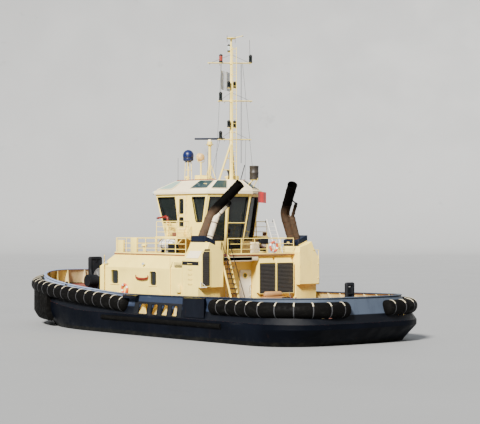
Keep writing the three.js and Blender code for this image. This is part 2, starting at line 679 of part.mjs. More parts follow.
// Engine room air intakes: two hooded louvre boxes on the after wall.
const INTAKES_Y = [[-1300, -80], [-2820, -1500]];
const INTAKE_Z = [2650, 4560];
const INTAKE_DEPTH = 340;
const HOOD_RISE = 330;
const HOOD_TOP_DEPTH = 120;
const INTAKE_FRAME = [90, 60]; // width beside and above the louvres
function makeIntake([y0, y1]) {
  const [z0, z1] = INTAKE_Z;
  const wallX = HOUSE_AFT_X - TOUCH;
  const frontX = wallX - INTAKE_DEPTH;
  const side = [
    [wallX, z0],
    [wallX, z1 + HOOD_RISE],
    [wallX - HOOD_TOP_DEPTH, z1 + HOOD_RISE],
    [frontX, z1],
    [frontX, z0],
  ];
  const shell = prism(side, alongY, y0, y1);
  const [wide, high] = INTAKE_FRAME;
  return shell.subtract(box([frontX - 50, y0 + wide, z0 + high], [frontX + 70, y1 - wide, z1 - high]));
}
const intakeTie = box(
  [HOUSE_AFT_X - 60, INTAKES_Y[1][1] - 10, 4500],
  [HOUSE_AFT_X - TOUCH, INTAKES_Y[0][0] + 10, 4850],
);
add("air_intakes", union(INTAKES_Y.map(makeIntake), intakeTie), "cream", 0.55);

// Inclined stair from the after deck to the bridge deck.
const STAIR_Y = [2420, 3020];
const STAIR_TOP_X = -5960;
const STAIR_FOOT_X = -7450;
const STAIR_TREADS = 12;
function makeStair() {
  const fall = BRIDGE_DECK_Z - DECK_Z - TOUCH;
  const along = (share) => [
    STAIR_TOP_X + (STAIR_FOOT_X - STAIR_TOP_X) * share,
    BRIDGE_DECK_Z - fall * share,
  ];
  const [top, foot] = [along(0), along(1)];
  const profile = [
    [top[0] - 70, top[1]],
    [top[0] + 60 - TOUCH, top[1]],
    [foot[0] + 90, foot[1]],
    [foot[0] - 70, foot[1]],
  ];
  const stringers = STAIR_Y.map((y, i) => prism(profile, alongY, y + (i ? -25 : 0), y + (i ? 0 : 25)));
  const treads = steps(1, STAIR_TREADS, STAIR_TREADS - 1).map((k) => {
    const [x, z] = along(k / (STAIR_TREADS + 1));
    return box([x - 90, STAIR_Y[0], z - 15], [x + 90, STAIR_Y[1], z + 15]);
  });
  const railLine = [
    [top[0], top[1] - 60],
    [top[0] - 120, top[1] + 800],
    [foot[0] - 260, foot[1] + 950],
    [foot[0], foot[1] + 100],
  ];
  const rails = STAIR_Y.map((y) => bars(railLine.map(([x, z]) => [x, y, z]), 36));
  return union(stringers, treads, rails);
}
add("stair", makeStair(), "cream", 0.6);

// Wheelhouse: a ring of flat panels, from the middle of the after side forward.
// Columns: base x, base y, top x, top y.
const WHEELHOUSE_CORNERS = [
  [-3400, 640, -4080, 920],
  [-2600, 2150, -3500, 2120],
  [-1830, 2450, -1830, 2450],
  [-820, 2450, -820, 2450],
  [350, 2300, 1550, 2500],
  [1400, 1500, 2450, 1720],
  [1800, 600, 2900, 700],
];
const WHEELHOUSE_BASE_Z = BRIDGE_DECK_Z + TOUCH;
function wheelhouseCorner(k, z) {
  const n = WHEELHOUSE_CORNERS.length;
  const index = ((k % (2 * n)) + 2 * n) % (2 * n);
  const [bx, by, tx, ty] = WHEELHOUSE_CORNERS[index < n ? index : 2 * n - 1 - index];
  const t = (z - WHEELHOUSE_BASE_Z) / (VISOR_Z - WHEELHOUSE_BASE_Z);
  const side = index < n ? 1 : -1;
  return [bx + (tx - bx) * t, side * (by + (ty - by) * t)];
}
// Ring of the wheelhouse at a height, moved inward by a distance.
function wheelhouseRing(z, inward) {
  const count = 2 * WHEELHOUSE_CORNERS.length;
  const corners = Array.from({ length: count }, (_, k) => wheelhouseCorner(k, z));
  return insetPolygon(corners, inward).map(([x, y]) => [x, y, z]);
}
// Polygon whose sides are moved inward; it runs clockwise seen from above.
function insetPolygon(polygon, inward) {
  const n = polygon.length;
  const sides = polygon.map((p, i) => {
    const q = polygon[(i + 1) % n];
    const length = Math.hypot(q[0] - p[0], q[1] - p[1]);
    const normal = [(q[1] - p[1]) / length, -(q[0] - p[0]) / length];
    return { normal, reach: normal[0] * p[0] + normal[1] * p[1] + inward };
  });
  return polygon.map((_, i) => {
    const [a, b] = [sides[(i + n - 1) % n], sides[i]];
    const det = a.normal[0] * b.normal[1] - a.normal[1] * b.normal[0];
    return [
      (a.reach * b.normal[1] - b.reach * a.normal[1]) / det,
      (a.normal[0] * b.reach - b.normal[0] * a.reach) / det,
    ];
  });
}
// Windows by panel. Columns: first corner, sill z, head z, margins to both corners at the head and at the sill.
const WHEELHOUSE_WINDOWS = [
  [-1, 5350, 8720, [130, 130], [80, 80]],
  [0, 5900, 8720, [150, 150], [120, 120]],
  [1, 7100, 8720, [160, 330], [110, 650]],
  [3, 7050, 8740, [360, 70], [60, 130]],
  [4, 7000, 8720, [110, 110], [150, 150]],
  [5, 7000, 8720, [110, 110], [150, 150]],
  [6, 7000, 8720, [110, 110], [150, 150]],
];
const WHEELHOUSE_DOOR_X = [-1620, -880];
const WHEELHOUSE_DOOR_Z = [6660, 8720];
function windowCutter(corner, sill, head, headMargins, sillMargins) {
  const edge = (z, [first, second]) => {
    const [a, b] = [wheelhouseCorner(corner, z), wheelhouseCorner(corner + 1, z)];
    const length = Math.hypot(b[0] - a[0], b[1] - a[1]);
    const along = [(b[0] - a[0]) / length, (b[1] - a[1]) / length];
    return [
      [a[0] + along[0] * first, a[1] + along[1] * first, z],
      [b[0] - along[0] * second, b[1] - along[1] * second, z],
    ];
  };
  const [h0, h1] = edge(head, headMargins);
  const [s0, s1] = edge(sill, sillMargins);
  const direction = [-(h1[1] - h0[1]), h1[0] - h0[0]];
  const size = Math.hypot(...direction);
  const shift = (p, d) => [p[0] + (direction[0] / size) * d, p[1] + (direction[1] / size) * d, p[2]];
  return loft([-400, 400].map((d) => [h0, h1, s1, s0].map((p) => shift(p, d))));
}
// Space inside the wheelhouse at a distance from its outer faces, open past both ends.
const wheelhouseRoom = (inward) =>
  loft([wheelhouseRing(WHEELHOUSE_BASE_Z - 10, inward), wheelhouseRing(VISOR_Z + 10, inward)]);
function makeWheelhouse() {
  const outside = loft([wheelhouseRing(WHEELHOUSE_BASE_Z, 0), wheelhouseRing(VISOR_Z, 0)]);
  const inside = wheelhouseRoom(WHEELHOUSE_WALL);
  const cutters = WHEELHOUSE_WINDOWS.flatMap((row) => {
    const cutter = windowCutter(...row);
    return row[0] === -1 || row[0] === 6 ? [cutter] : [cutter, mirrored(cutter)];
  });
  const doors = [1, -1].map((side) =>
    box(
      [WHEELHOUSE_DOOR_X[0], side > 0 ? 2000 : -2900, WHEELHOUSE_DOOR_Z[0]],
      [WHEELHOUSE_DOOR_X[1], side > 0 ? 2900 : -2000, WHEELHOUSE_DOOR_Z[1]],
    ),
  );
  // The floor stops short of the glass, so it is narrower abaft the side doors.
  const floor = (inward, fromX) =>
    loft([BRIDGE_FLOOR_Z - 80, BRIDGE_FLOOR_Z].map((z) => wheelhouseRing(z, inward))).subtract(
      box([-9000, -4000, 0], [fromX, 4000, 9000]),
    );
  const floors = union(floor(WHEELHOUSE_WALL - 20, -600), floor(WHEELHOUSE_WALL + 120, -2600));
  return union(outside.subtract(inside).subtract(union(cutters, doors)), floors);
}
// Glazing: one band inside the walls forward of the side doors and one aft of them.
const GLASS = 14;
function glassBand(sill, keep) {
  const [low, high] = keep;
  const outer = wheelhouseRoom(WHEELHOUSE_WALL + 2 * TOUCH);
  const pane = outer.subtract(wheelhouseRoom(WHEELHOUSE_WALL + GLASS));
  return pane.intersect(box([low, -4000, sill], [high, 4000, VISOR_Z - 20]));
}
const doorWidth = WHEELHOUSE_DOOR_X[1] - WHEELHOUSE_DOOR_X[0];
const doorHeight = WHEELHOUSE_DOOR_Z[1] - WHEELHOUSE_DOOR_Z[0];
const doorPanes = [[190, 1000, 590, 1900], [190, 150, 590, 730]];
const sideDoorCorner = [WHEELHOUSE_DOOR_X[0], 2450, WHEELHOUSE_DOOR_Z[0]];
const sideLugs = hang(union(doorLugs(doorHeight)), sideDoorCorner, 90);
const sideLeaf = hang(doorLeaf(doorWidth, doorHeight, doorPanes), sideDoorCorner, 90);
add("wheelhouse", union(makeWheelhouse(), sideLugs, mirrored(sideLugs)), "cream", 0.55);
add("wheelhouse_glass_fore", glassBand(6900, [-790, 5000]), "glass", 0.1);
add("wheelhouse_glass_aft", glassBand(5300, [-9000, -1600]), "glass", 0.1);
add("wheelhouse_door_port", sideLeaf, "cream", 0.55);
add("wheelhouse_door_starboard", mirrored(sideLeaf), "cream", 0.55);

// Wheelhouse roof: an eaves band and slopes up to a flat top, open beneath.
const ROOF_TOP = [
  [-3550, 520], [-3150, 1150], [-1830, 1500], [-350, 1500], [650, 1450], [1150, 1000], [1400, 420],
];
const EAVES = 130;
const ROOF_SHELL = 90;
function makeRoof() {
  const eaves = (z, inward) => wheelhouseRing(VISOR_Z, inward).map(([x, y]) => [x, y, z]);
  const fullTop = [...ROOF_TOP, ...ROOF_TOP.slice().reverse().map(([x, y]) => [x, -y])];
  const top = (z, inward) => insetPolygon(fullTop, inward).map(([x, y]) => [x, y, z]);
  const outside = loft([eaves(VISOR_Z + TOUCH, -EAVES), eaves(VISOR_TOP_Z, -EAVES), top(ROOF_Z, 0)]);
  const inside = loft([
    eaves(VISOR_Z - 50, WHEELHOUSE_WALL + 30),
    eaves(VISOR_TOP_Z - 60, WHEELHOUSE_WALL + 30),
    top(ROOF_Z - ROOF_SHELL, ROOF_SHELL),
  ]);
  return outside.subtract(inside);
}
add("wheelhouse_roof", makeRoof(), "cream", 0.55);

// Helm console and chair, seen through the windows.
function makeConsole() {
  const foot = BRIDGE_FLOOR_Z + TOUCH;
  return prism([[900, foot], [1500, foot], [1600, 7350], [1250, 7500], [900, 7250]], alongY, -1150, 1150);
}
function makeChair() {
  const foot = BRIDGE_FLOOR_Z + TOUCH;
  const disc = rod([0, 0, foot], [0, 0, BRIDGE_FLOOR_Z + 60], 280, 16);
  const post = rod([0, 0, BRIDGE_FLOOR_Z + 30], [0, 0, 7000], 60, 10);
  const seat = box([-260, -270, 6980], [270, 270, 7110]);
  const back = box([-330, -250, 7000], [-200, 250, 7820]);
  return union(disc, post, seat, back);
}
add("helm_console", makeConsole(), "grey", 0.6);
add("helm_chair", makeChair(), "black", 0.7);

// Side wings: a platform on legs abreast of each wheelhouse door, with a rail round it.
const WING_X = [-2400, -100];
const WING_Y = [2560, 3750];
const WING_Z = 6150;
const WING_LEG = 90;
const RAIL_HEIGHT = 1000;
const RAIL_BAR = 42;
const POST_SPACING = 1150;
const EDGE = 60; // from a deck's edge to the middle of its rail
// Guard rail along a line of corners: posts, a handrail and two lower rails.
function guardRail(corners, z, heights = [1, 0.66, 0.33]) {
  const rails = heights.map((share) =>
    bars(corners.map(([x, y]) => [x, y, z + RAIL_HEIGHT * share]), RAIL_BAR * (share === 1 ? 1.3 : 0.8)),
  );
  const posts = corners.slice(1).flatMap(([x1, y1], i) => {
    const [x0, y0] = corners[i];
    const count = Math.max(1, Math.round(Math.hypot(x1 - x0, y1 - y0) / POST_SPACING));
    return steps(0, 1, count).slice(i ? 1 : 0).map((t) => {
      const [x, y] = [x0 + (x1 - x0) * t, y0 + (y1 - y0) * t];
      return bar([x, y, z + TOUCH + RAIL_BAR / 2], [x, y, z + RAIL_HEIGHT], RAIL_BAR);
    });
  });
  return union(rails, posts);
}
function makeWing() {
  const plate = box([WING_X[0], WING_Y[0], WING_Z - 60], [WING_X[1], WING_Y[1], WING_Z]);
  const legs = WING_X.flatMap((x, i) =>
    WING_Y.map((y, j) => {
      const [cx, cy] = [x + (i ? -EDGE : EDGE), y + (j ? -EDGE : EDGE)];
      return box(
        [cx - WING_LEG / 2, cy - WING_LEG / 2, BRIDGE_DECK_Z + TOUCH],
        [cx + WING_LEG / 2, cy + WING_LEG / 2, WING_Z - 30],
      );
    }),
  );
  const [aft, fore, outer] = [WING_X[0] + EDGE, WING_X[1] - EDGE, WING_Y[1] - EDGE];
  const line = [[aft, WING_Y[0] + 200], [aft, outer], [fore, outer], [fore, WING_Y[0] + EDGE]];
  return union(plate, legs, guardRail(line, WING_Z - 10));
}
const wing = makeWing();

// Fire monitors: a turning barrel over a fixed riser on each wing.
const MONITOR_AT = [-900, 3350];
const MONITOR_TURN_Z = WING_Z + 900;
function makeMonitorStand() {
  const [x, y] = MONITOR_AT;
  const foot = rod([x, y, WING_Z + TOUCH], [x, y, WING_Z + 60], 190, 16);
  return union(foot, rod([x, y, WING_Z + 40], [x, y, MONITOR_TURN_Z], 90, 12));
}
function makeMonitor() {
  const [x, y] = MONITOR_AT;
  const z = MONITOR_TURN_Z + TOUCH;
  return union(
    rod([x, y, z], [x, y, z + 160], 120, 12),
    bentRod([[x, y, z + 80], [x, y, z + 300], [x + 250, y, z + 400]], 80, 10),
    rod([x + 200, y, z + 390], [x + 1050, y, z + 315], 70, 12, 55),
    rod([x + 1000, y, z + 319], [x + 1180, y, z + 303], 75, 12),
  );
}

// Life raft canisters on the bridge deck below each wing.
const RAFT_AT = [-1500, 3720, 5700];
function makeRaft() {
  const [x, y, z] = RAFT_AT;
  const half = [[320, 40], [300, 40], [290, 600], [230, 680], [0, 680]];
  const profile = [...half.map(([r, h]) => [r, -h]).reverse(), ...half];
  const drum = moved(turned(profile, "x", 20), x, y, z);
  const cradle = box([x - 40, y - 200, BRIDGE_DECK_Z + TOUCH], [x + 40, y + 200, z - 150]);
  return union(drum, moved(cradle, -400, 0, 0), moved(cradle, 400, 0, 0));
}
for (const [side, flip] of [["port", (b) => b], ["starboard", mirrored]]) {
  add("wing_platform_" + side, flip(wing), "cream", 0.6);
  add("monitor_stand_" + side, flip(makeMonitorStand()), "cream", 0.6);
  add("fire_monitor_" + side, flip(makeMonitor()), "red", 0.5);
  add("life_raft_" + side, flip(makeRaft()), "white", 0.5);
}

// Guard rails of the bridge deck.
const SIDE_RAIL_X = [-3900, HOUSE_TOP_FORE_X - EDGE - 2 * RAIL_BAR];
const SIDE_RAIL_Y = HOUSE_TOP_HALF - EDGE;
const FORE_RAIL_X = HOUSE_TOP_FORE_X - EDGE;
const AFT_RAIL = [
  [BRIDGE_DECK_AFT_X + EDGE, STAIR_Y[0] - 60], [BRIDGE_DECK_AFT_X + EDGE, -CASING_INNER_Y + EDGE],
];
const sideRail = guardRail(SIDE_RAIL_X.map((x) => [x, SIDE_RAIL_Y]), BRIDGE_DECK_Z);
const foreRail = guardRail([SIDE_RAIL_Y, -SIDE_RAIL_Y].map((y) => [FORE_RAIL_X, y]), BRIDGE_DECK_Z);
add("bridge_rail_port", sideRail, "cream", 0.6);
add("bridge_rail_starboard", mirrored(sideRail), "cream", 0.6);
add("bridge_rail_fore", foreRail, "cream", 0.6);
add("bridge_rail_aft", guardRail(AFT_RAIL, BRIDGE_DECK_Z), "cream", 0.6);

// Mast on the roof: pole, two forward legs, three yards, ladder, top arms and the lamps they carry.
const ROOF_SEAT = ROOF_Z + TOUCH;
// Columns: port end z, starboard end z, port end y, starboard end y.
const YARDS = [[17180, 17400, 1870, -1640], [14800, 14940, 1070, -1720], [12350, 12440, 1070, -1640]];
// Lamps. Columns: x from the mast, y, bottom z, height, radius.
const LAMPS = [
  [150, 60, 18000, 520, 95], [0, 840, 17250, 580, 105], [0, -1600, 17400, 560, 100],
  [-60, 240, 15680, 450, 100], [-60, -240, 15680, 450, 100], [0, 860, 14820, 600, 100],
  [-60, 240, 13150, 480, 100], [-60, -240, 13150, 480, 100], [0, 860, 12370, 560, 100],
];
const FLAG_Y = 840;
const HALYARD_FOOT_Z = 14880; // on the second yard
function makeMast() {
  const pole = rod([MAST_X, 0, ROOF_SEAT], [MAST_X, 0, MAST_TOP_Z], 110, 12, 65);
  const legs = [1, -1].map((side) =>
    rod([MAST_X + 450, side * 650, ROOF_SEAT - 50], [MAST_X, side * 60, 12050], 60, 8),
  );
  const yards = YARDS.map(([z0, z1, y0, y1]) => rod([MAST_X, y0, z0], [MAST_X, y1, z1], 38, 6));
  const ladderRail = bar([MAST_X - 350, -150, ROOF_Z], [MAST_X - 350, -150, 18300], 40);
  const rungs = steps(10100, 18200, 12).map((z) => bar([MAST_X, 0, z], [MAST_X - 350, -150, z], 22));
  const lamps = LAMPS.map(([dx, y, z, h, r]) => {
    const lamp = rod([MAST_X + dx, y, z], [MAST_X + dx, y, z + h], r, 10);
    return dx ? lamp.add(rod([MAST_X, 0, z + 20], [MAST_X + dx, y, z + 20], 45, 6)) : lamp;
  });
  const top = union(
    rod([MAST_X, -330, MAST_TOP_Z - 30], [MAST_X, 330, MAST_TOP_Z - 30], 45, 6),
    bentRod([[MAST_X, 0, 18500], [MAST_X - 250, -350, 18800], [MAST_X - 420, -620, 19050]], 20, 5),
  );
  const halyard = rod([MAST_X, FLAG_Y, 17250], [MAST_X, FLAG_Y, HALYARD_FOOT_Z], 12, 5);
  const mast = union(pole, legs, yards, ladderRail, rungs, lamps, top, halyard);
  return mast.subtract(box([-9000, -4000, 9000], [0, 4000, ROOF_SEAT]));
}
add("mast", makeMast(), "cream", 0.6);

// Radar: pedestal post and a scanner that turns.
const RADAR_X = -950;
const SCANNER_Z = 12420;
const SCANNER_LENGTH = 2000;
const SCANNER_TURN = 39; // degrees between the scanner and the athwartships line
function makeRadarPost() {
  const disc = (z0, z1, radius) => rod([RADAR_X, 0, z0], [RADAR_X, 0, z1], radius, 16);
  const foot = disc(ROOF_SEAT, ROOF_SEAT + 60, 260);
  const post = disc(ROOF_Z + 50, SCANNER_Z - 300, 95);
  const shelf = disc(SCANNER_Z - 520, SCANNER_Z - 480, 220);
  return union(foot, post, shelf, disc(SCANNER_Z - 320, SCANNER_Z - 60, 170));
}
function makeScanner() {
  const half = SCANNER_LENGTH / 2;
  const flat = half - 60;
  const profile = [[-half, 0], [-flat, -70], [flat, -70], [half, 0], [flat, 70], [-flat, 70]];
  const bar = prism(profile, alongY, -75, 75).rotate([0, 0, 90 - SCANNER_TURN]);
  const hub = rod([0, 0, -170], [0, 0, 0], 90, 12);
  return moved(union(bar, hub), RADAR_X, 0, SCANNER_Z + 110 + TOUCH);
}
add("radar_post", makeRadarPost(), "cream", 0.6);
add("radar_scanner", makeScanner(), "blue", 0.4);

// Satellite dome and searchlight on a frame to port of the radar.
const DOME_AT = [-60, 1080, 11470];
function makeDome() {
  const [x, y, z] = DOME_AT;
  const posts = [-180, 180].map((dx) => rod([x + dx, y, ROOF_SEAT], [x + dx, y, z - 420], 35, 8));
  const base = rod([x, y, z - 480], [x, y, z - 250], 300, 14, 330);
  const beam = box([x - 230, y - 60, z - 500], [x + 230, y + 60, z - 440]);
  return union(ball(DOME_AT, 370, 14), base, posts, beam);
}
const SEARCHLIGHT_AT = [-690, 500, 11340];
function makeSearchlight() {
  const [x, y, z] = SEARCHLIGHT_AT;
  return union(rod([x - 140, y, z], [x + 200, y, z], 240, 16, 270), rod([x, y, ROOF_SEAT], [x, y, z], 40, 8));
}
add("satellite_dome", makeDome(), "blue", 0.35);
add("searchlight", makeSearchlight(), "cream", 0.5);

// After roof fittings: signal drum, whip post, ensign on its staff.
const DRUM_AT = [-3560, -1600, 9850];
const DRUM_ARM_FOOT_Z = 9350;
function makeDrum() {
  const [x, y, z] = DRUM_AT;
  const foot = [x + 250, y + 200, DRUM_ARM_FOOT_Z];
  const arm = rod(foot, [x, y, z + 20], 50, 8);
  const base = rod(foot, [foot[0], foot[1], DRUM_ARM_FOOT_Z + 150], 90, 8);
  return union(rod([x, y, z], [x, y, z + 900], 310, 20), arm, base);
}
const roofClear = (body) => largest(body.subtract(moved(makeRoof(), 0, 0, TOUCH)));
add("signal_drum", roofClear(makeDrum()), "brown", 0.6);
const ENSIGN_STAFF = [[-3750, -1300, 9250], [-4334, -1300, 9900]];
const ENSIGN_HALYARD = 8;
const ENSIGN_Z = [8320, 9060];
const ENSIGN_REACH = 720;
const FLAG_THICKNESS = 12;
const [ENSIGN_X, ENSIGN_Y, STAFF_TOP_Z] = ENSIGN_STAFF[1];
const ensignHalyard = rod(
  [ENSIGN_X, ENSIGN_Y, STAFF_TOP_Z],
  [ENSIGN_X, ENSIGN_Y, ENSIGN_Z[0] - 50],
  ENSIGN_HALYARD,
  6,
);
add("ensign_staff", roofClear(union(rod(...ENSIGN_STAFF, 25, 8), ensignHalyard)), "cream", 0.6);
const ensign = box(
  [ENSIGN_X - FLAG_THICKNESS / 2, ENSIGN_Y - ENSIGN_REACH, ENSIGN_Z[0]],
  [ENSIGN_X + FLAG_THICKNESS / 2, ENSIGN_Y - ENSIGN_HALYARD - TOUCH, ENSIGN_Z[1]],
);
add("ensign", ensign, "red", 0.8);
const HOUSE_FLAG_TURN = -69; // degrees from forward to the line along which it flies
const houseFlag = box([12.5, -FLAG_THICKNESS / 2, 0], [1400, FLAG_THICKNESS / 2, 1300]);
add("house_flag", moved(houseFlag.rotate([0, 0, HOUSE_FLAG_TURN]), MAST_X, FLAG_Y, 15500), "white", 0.8);

// Foredeck: towing staple and winch.
const FORE_STAPLE_X = 12600;
const FORE_STAPLE_TOP = 4500;
const STAPLE_ROOT_Z = 500;
function makeStaple(x, halfWidth, top, radius, braceX) {
  const line = [[-halfWidth, STAPLE_ROOT_Z], [-halfWidth, top], [halfWidth, top], [halfWidth, STAPLE_ROOT_Z]];
  const frame = bentRod(line.map(([y, z]) => [x, y, z]), radius, 12);
  const braces = [1, -1].map((side) =>
    rod([x, side * halfWidth, top - 500], [x + braceX, side * halfWidth, STAPLE_ROOT_Z], radius * 0.7, 8),
  );
  return union(frame, braces).subtract(hullClear);
}
add("fore_staple", makeStaple(FORE_STAPLE_X, 420, FORE_STAPLE_TOP, 150, -900), "black", 0.5);
add("aft_staple", makeStaple(-14300, 230, 3450, 120, 700), "black", 0.5);

const WINCH_X = 10200;
const WINCH_Z = 3020;
const WINCH_HALF = 1500;
const DRUM_RADIUS = 880;
const DRUM_HALF = 1200;
const BARREL_RADIUS = 620;
const FLANGE = 60;
const SHAFT_RADIUS = 90;
const SHAFT_HALF = WINCH_HALF + 50;
const WINCH_BED = 950;
const CHEEK = 150;
const DRUM_SIDES = 28;
// The bore clears the corners of the shaft as it turns.
const BORE_RADIUS = (SHAFT_RADIUS + TOUCH) / Math.cos(Math.PI / DRUM_SIDES);
function makeWinchFrame() {
  const across = (y0, y1, radius, sides) => rod([WINCH_X, y0, WINCH_Z], [WINCH_X, y1, WINCH_Z], radius, sides);
  const [foot, top] = [DECK_Z - 100, WINCH_Z + 300];
  const cheek = [
    [WINCH_X - WINCH_BED, foot],
    [WINCH_X + WINCH_BED, foot],
    [WINCH_X + 350, top],
    [WINCH_X - 350, top],
  ];
  const inside = WINCH_HALF - CHEEK;
  const cheeks = [-WINCH_HALF, inside].map((y) => prism(cheek, alongY, y, y + CHEEK));
  const motor = across(WINCH_HALF - 20, WINCH_HALF + 750, 420, 16);
  const gear = across(-WINCH_HALF - 420, -WINCH_HALF + 20, 520, 16);
  const bed = box(
    [WINCH_X - WINCH_BED, -WINCH_HALF - 200, foot],
    [WINCH_X + WINCH_BED, WINCH_HALF + 200, DECK_Z + 500],
  );
  const pit = box([WINCH_X - 780, -inside, DECK_Z], [WINCH_X + 780, inside, 6000]);
  const bores = across(-WINCH_HALF - 60, WINCH_HALF + 60, BORE_RADIUS, DRUM_SIDES);
  return union(cheeks, motor, gear, bed).subtract(pit).subtract(bores).subtract(hullClear);
}
function makeWinchDrum() {
  const half = [
    [BARREL_RADIUS, DRUM_HALF - FLANGE],
    [DRUM_RADIUS, DRUM_HALF - FLANGE],
    [DRUM_RADIUS, DRUM_HALF],
    [SHAFT_RADIUS, DRUM_HALF],
    [SHAFT_RADIUS, SHAFT_HALF],
    [0, SHAFT_HALF],
  ];
  const profile = [...half.map(([r, h]) => [r, -h]).reverse(), ...half];
  return moved(turned(profile, "y", DRUM_SIDES), WINCH_X, 0, WINCH_Z);
}
add("fore_winch_frame", makeWinchFrame(), "black", 0.55);
add("fore_winch_drum", makeWinchDrum(), "steel", 0.5);

// After deck: towing hook stand and deck locker.
function makeHookStand() {
  const bed = box([-9300, -500, DECK_Z - 50], [-8200, 500, 1700]);
  const post = box([-9000, -250, 1600], [-8500, 250, 2500]);
  const hook = box([-9600, -90, 2150], [-8700, 90, 2400]);
  return union(bed, post, hook).subtract(hullClear);
}
add("towing_hook_stand", makeHookStand(), "black", 0.55);
add("deck_locker_port", box([-8350, 4500, DECK_Z + TOUCH], [-7650, 5000, DECK_Z + 900]), "black", 0.6);

// Azimuth thrusters: leg, pod and nozzle turn below the hull, each with a four-bladed propeller.
const NOZZLE_LENGTH = 1300;
const NOZZLE_X = -450;
const HUB_RADIUS = 260;
const BLADES = 4;
const BLADE_PITCH = 28; // degrees of the blade's face from the plane of the disc
// Columns: radius, half width, half thickness.
const BLADE_SECTIONS = [[150, 190, 40], [700, 420, 26], [1150, 380, 16], [PROPELLER_RADIUS, 180, 8]];
const PROPELLER_X = -890;
const POD_PROFILE = [
  [0, -650], [HUB_RADIUS * 0.9, -650], [330, -200], [380, 400], [300, 950], [120, 1250], [0, 1300],
];
const LEG_SECTION = [[-500, 0], [-200, -1], [400, -0.8], [900, 0], [400, 0.8], [-200, 1]];
const LEG_X = 650;
function makeThruster() {
  const inner = PROPELLER_RADIUS + 45;
  const end = NOZZLE_LENGTH / 2;
  const section = [
    [inner + 90, -end],
    [inner, -100],
    [inner, 350],
    [inner + 60, end],
    [inner + 160, end - 60],
    [inner + 130, -end],
    [inner + 90, -end],
  ];
  const nozzle = turned(section, "x", 32);
  const pod = turned(POD_PROFILE, "x", 20);
  const top = THRUSTER_SEAT_Z - SHAFT_Z;
  const legAt = (z, width) => LEG_SECTION.map(([x, y]) => [x + LEG_X, y * width, z]);
  const leg = loft([legAt(top - 150, 300), legAt(-100, 260)]);
  const collar = rod([0, 0, top - 200], [0, 0, top - TOUCH], 800, 32);
  const struts = [45, 135, 225, 315].map((a) => {
    const [c, s] = [Math.cos((a * Math.PI) / 180), Math.sin((a * Math.PI) / 180)];
    return rod([350, c * 250, s * 250], [350, c * (inner + 60), s * (inner + 60)], 55, 6);
  });
  return union(moved(nozzle, NOZZLE_X, 0, 0), pod, leg, collar, moved(union(struts), 300 + NOZZLE_X, 0, 0));
}
add("thruster_port", moved(makeThruster(), THRUSTER_X, THRUSTER_Y, SHAFT_Z), "red", 0.6);
add("thruster_starboard", moved(makeThruster(), THRUSTER_X, -THRUSTER_Y, SHAFT_Z), "red", 0.6);

function makePropeller() {
  const face = 240 - TOUCH;
  const nose = [[0, -330], [120, -300], [HUB_RADIUS * 0.8, -120], [HUB_RADIUS * 0.86, face], [0, face]];
  const hub = turned(nose, "x", 20);
  const sections = BLADE_SECTIONS.map(([r, half, thick]) => {
    const a = ((BLADE_PITCH * (1.6 - (0.6 * r) / PROPELLER_RADIUS)) * Math.PI) / 180;
    const [c, s] = [Math.cos(a), Math.sin(a)];
    return [[-half, 0], [0, -thick], [half, 0], [0, thick]].map(([u, v]) => [u * s + v * c, u * c - v * s, r]);
  });
  const blade = loft(sections);
  const blades = Array.from({ length: BLADES }, (_, k) => blade.rotate([(360 / BLADES) * k, 0, 0]));
  return union(hub, blades);
}
for (const [side, y] of [["port", THRUSTER_Y], ["starboard", -THRUSTER_Y]])
  add("propeller_" + side, moved(makePropeller(), THRUSTER_X + PROPELLER_X, y, SHAFT_Z), "bronze", 0.3, 0.8);

export default group;
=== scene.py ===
"""Harbour tugboat, 32.7 m long, with two azimuth thrusters: navy hull with rubber fenders, cream deckhouse and
wheelhouse, leaning exhausts, pole mast and deck gear. Metres, +X forward, +Y to port, +Z up, waterline at z = 0."""

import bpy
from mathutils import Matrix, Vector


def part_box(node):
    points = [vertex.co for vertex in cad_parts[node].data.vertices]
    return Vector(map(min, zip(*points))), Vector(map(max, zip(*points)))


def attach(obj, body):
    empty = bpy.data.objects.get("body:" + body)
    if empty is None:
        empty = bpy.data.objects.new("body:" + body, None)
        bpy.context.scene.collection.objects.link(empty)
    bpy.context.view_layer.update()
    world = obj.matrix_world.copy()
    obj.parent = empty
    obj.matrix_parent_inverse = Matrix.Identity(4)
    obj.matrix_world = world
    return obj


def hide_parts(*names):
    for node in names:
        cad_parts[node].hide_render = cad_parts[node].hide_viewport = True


bl_info = {
    "name": "Harbour Tugboat",
    "version": (1, 0, 0),
    "blender": (4, 5, 0),
    "location": "View3D > Sidebar > Tugboat",
    "description": "Builds a harbour tugboat piece by piece around its packed construction model",
    "category": "Add Mesh",
}

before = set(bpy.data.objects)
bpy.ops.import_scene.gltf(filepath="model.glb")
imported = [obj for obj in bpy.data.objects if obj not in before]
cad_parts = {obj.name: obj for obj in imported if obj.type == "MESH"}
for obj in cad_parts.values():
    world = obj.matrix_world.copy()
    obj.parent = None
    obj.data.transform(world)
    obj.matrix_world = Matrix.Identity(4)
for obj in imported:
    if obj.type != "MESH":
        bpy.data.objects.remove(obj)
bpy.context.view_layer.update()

import math

import bmesh
import bpy
import numpy as np
from bpy.props import FloatProperty, FloatVectorProperty, PointerProperty
from mathutils import Vector


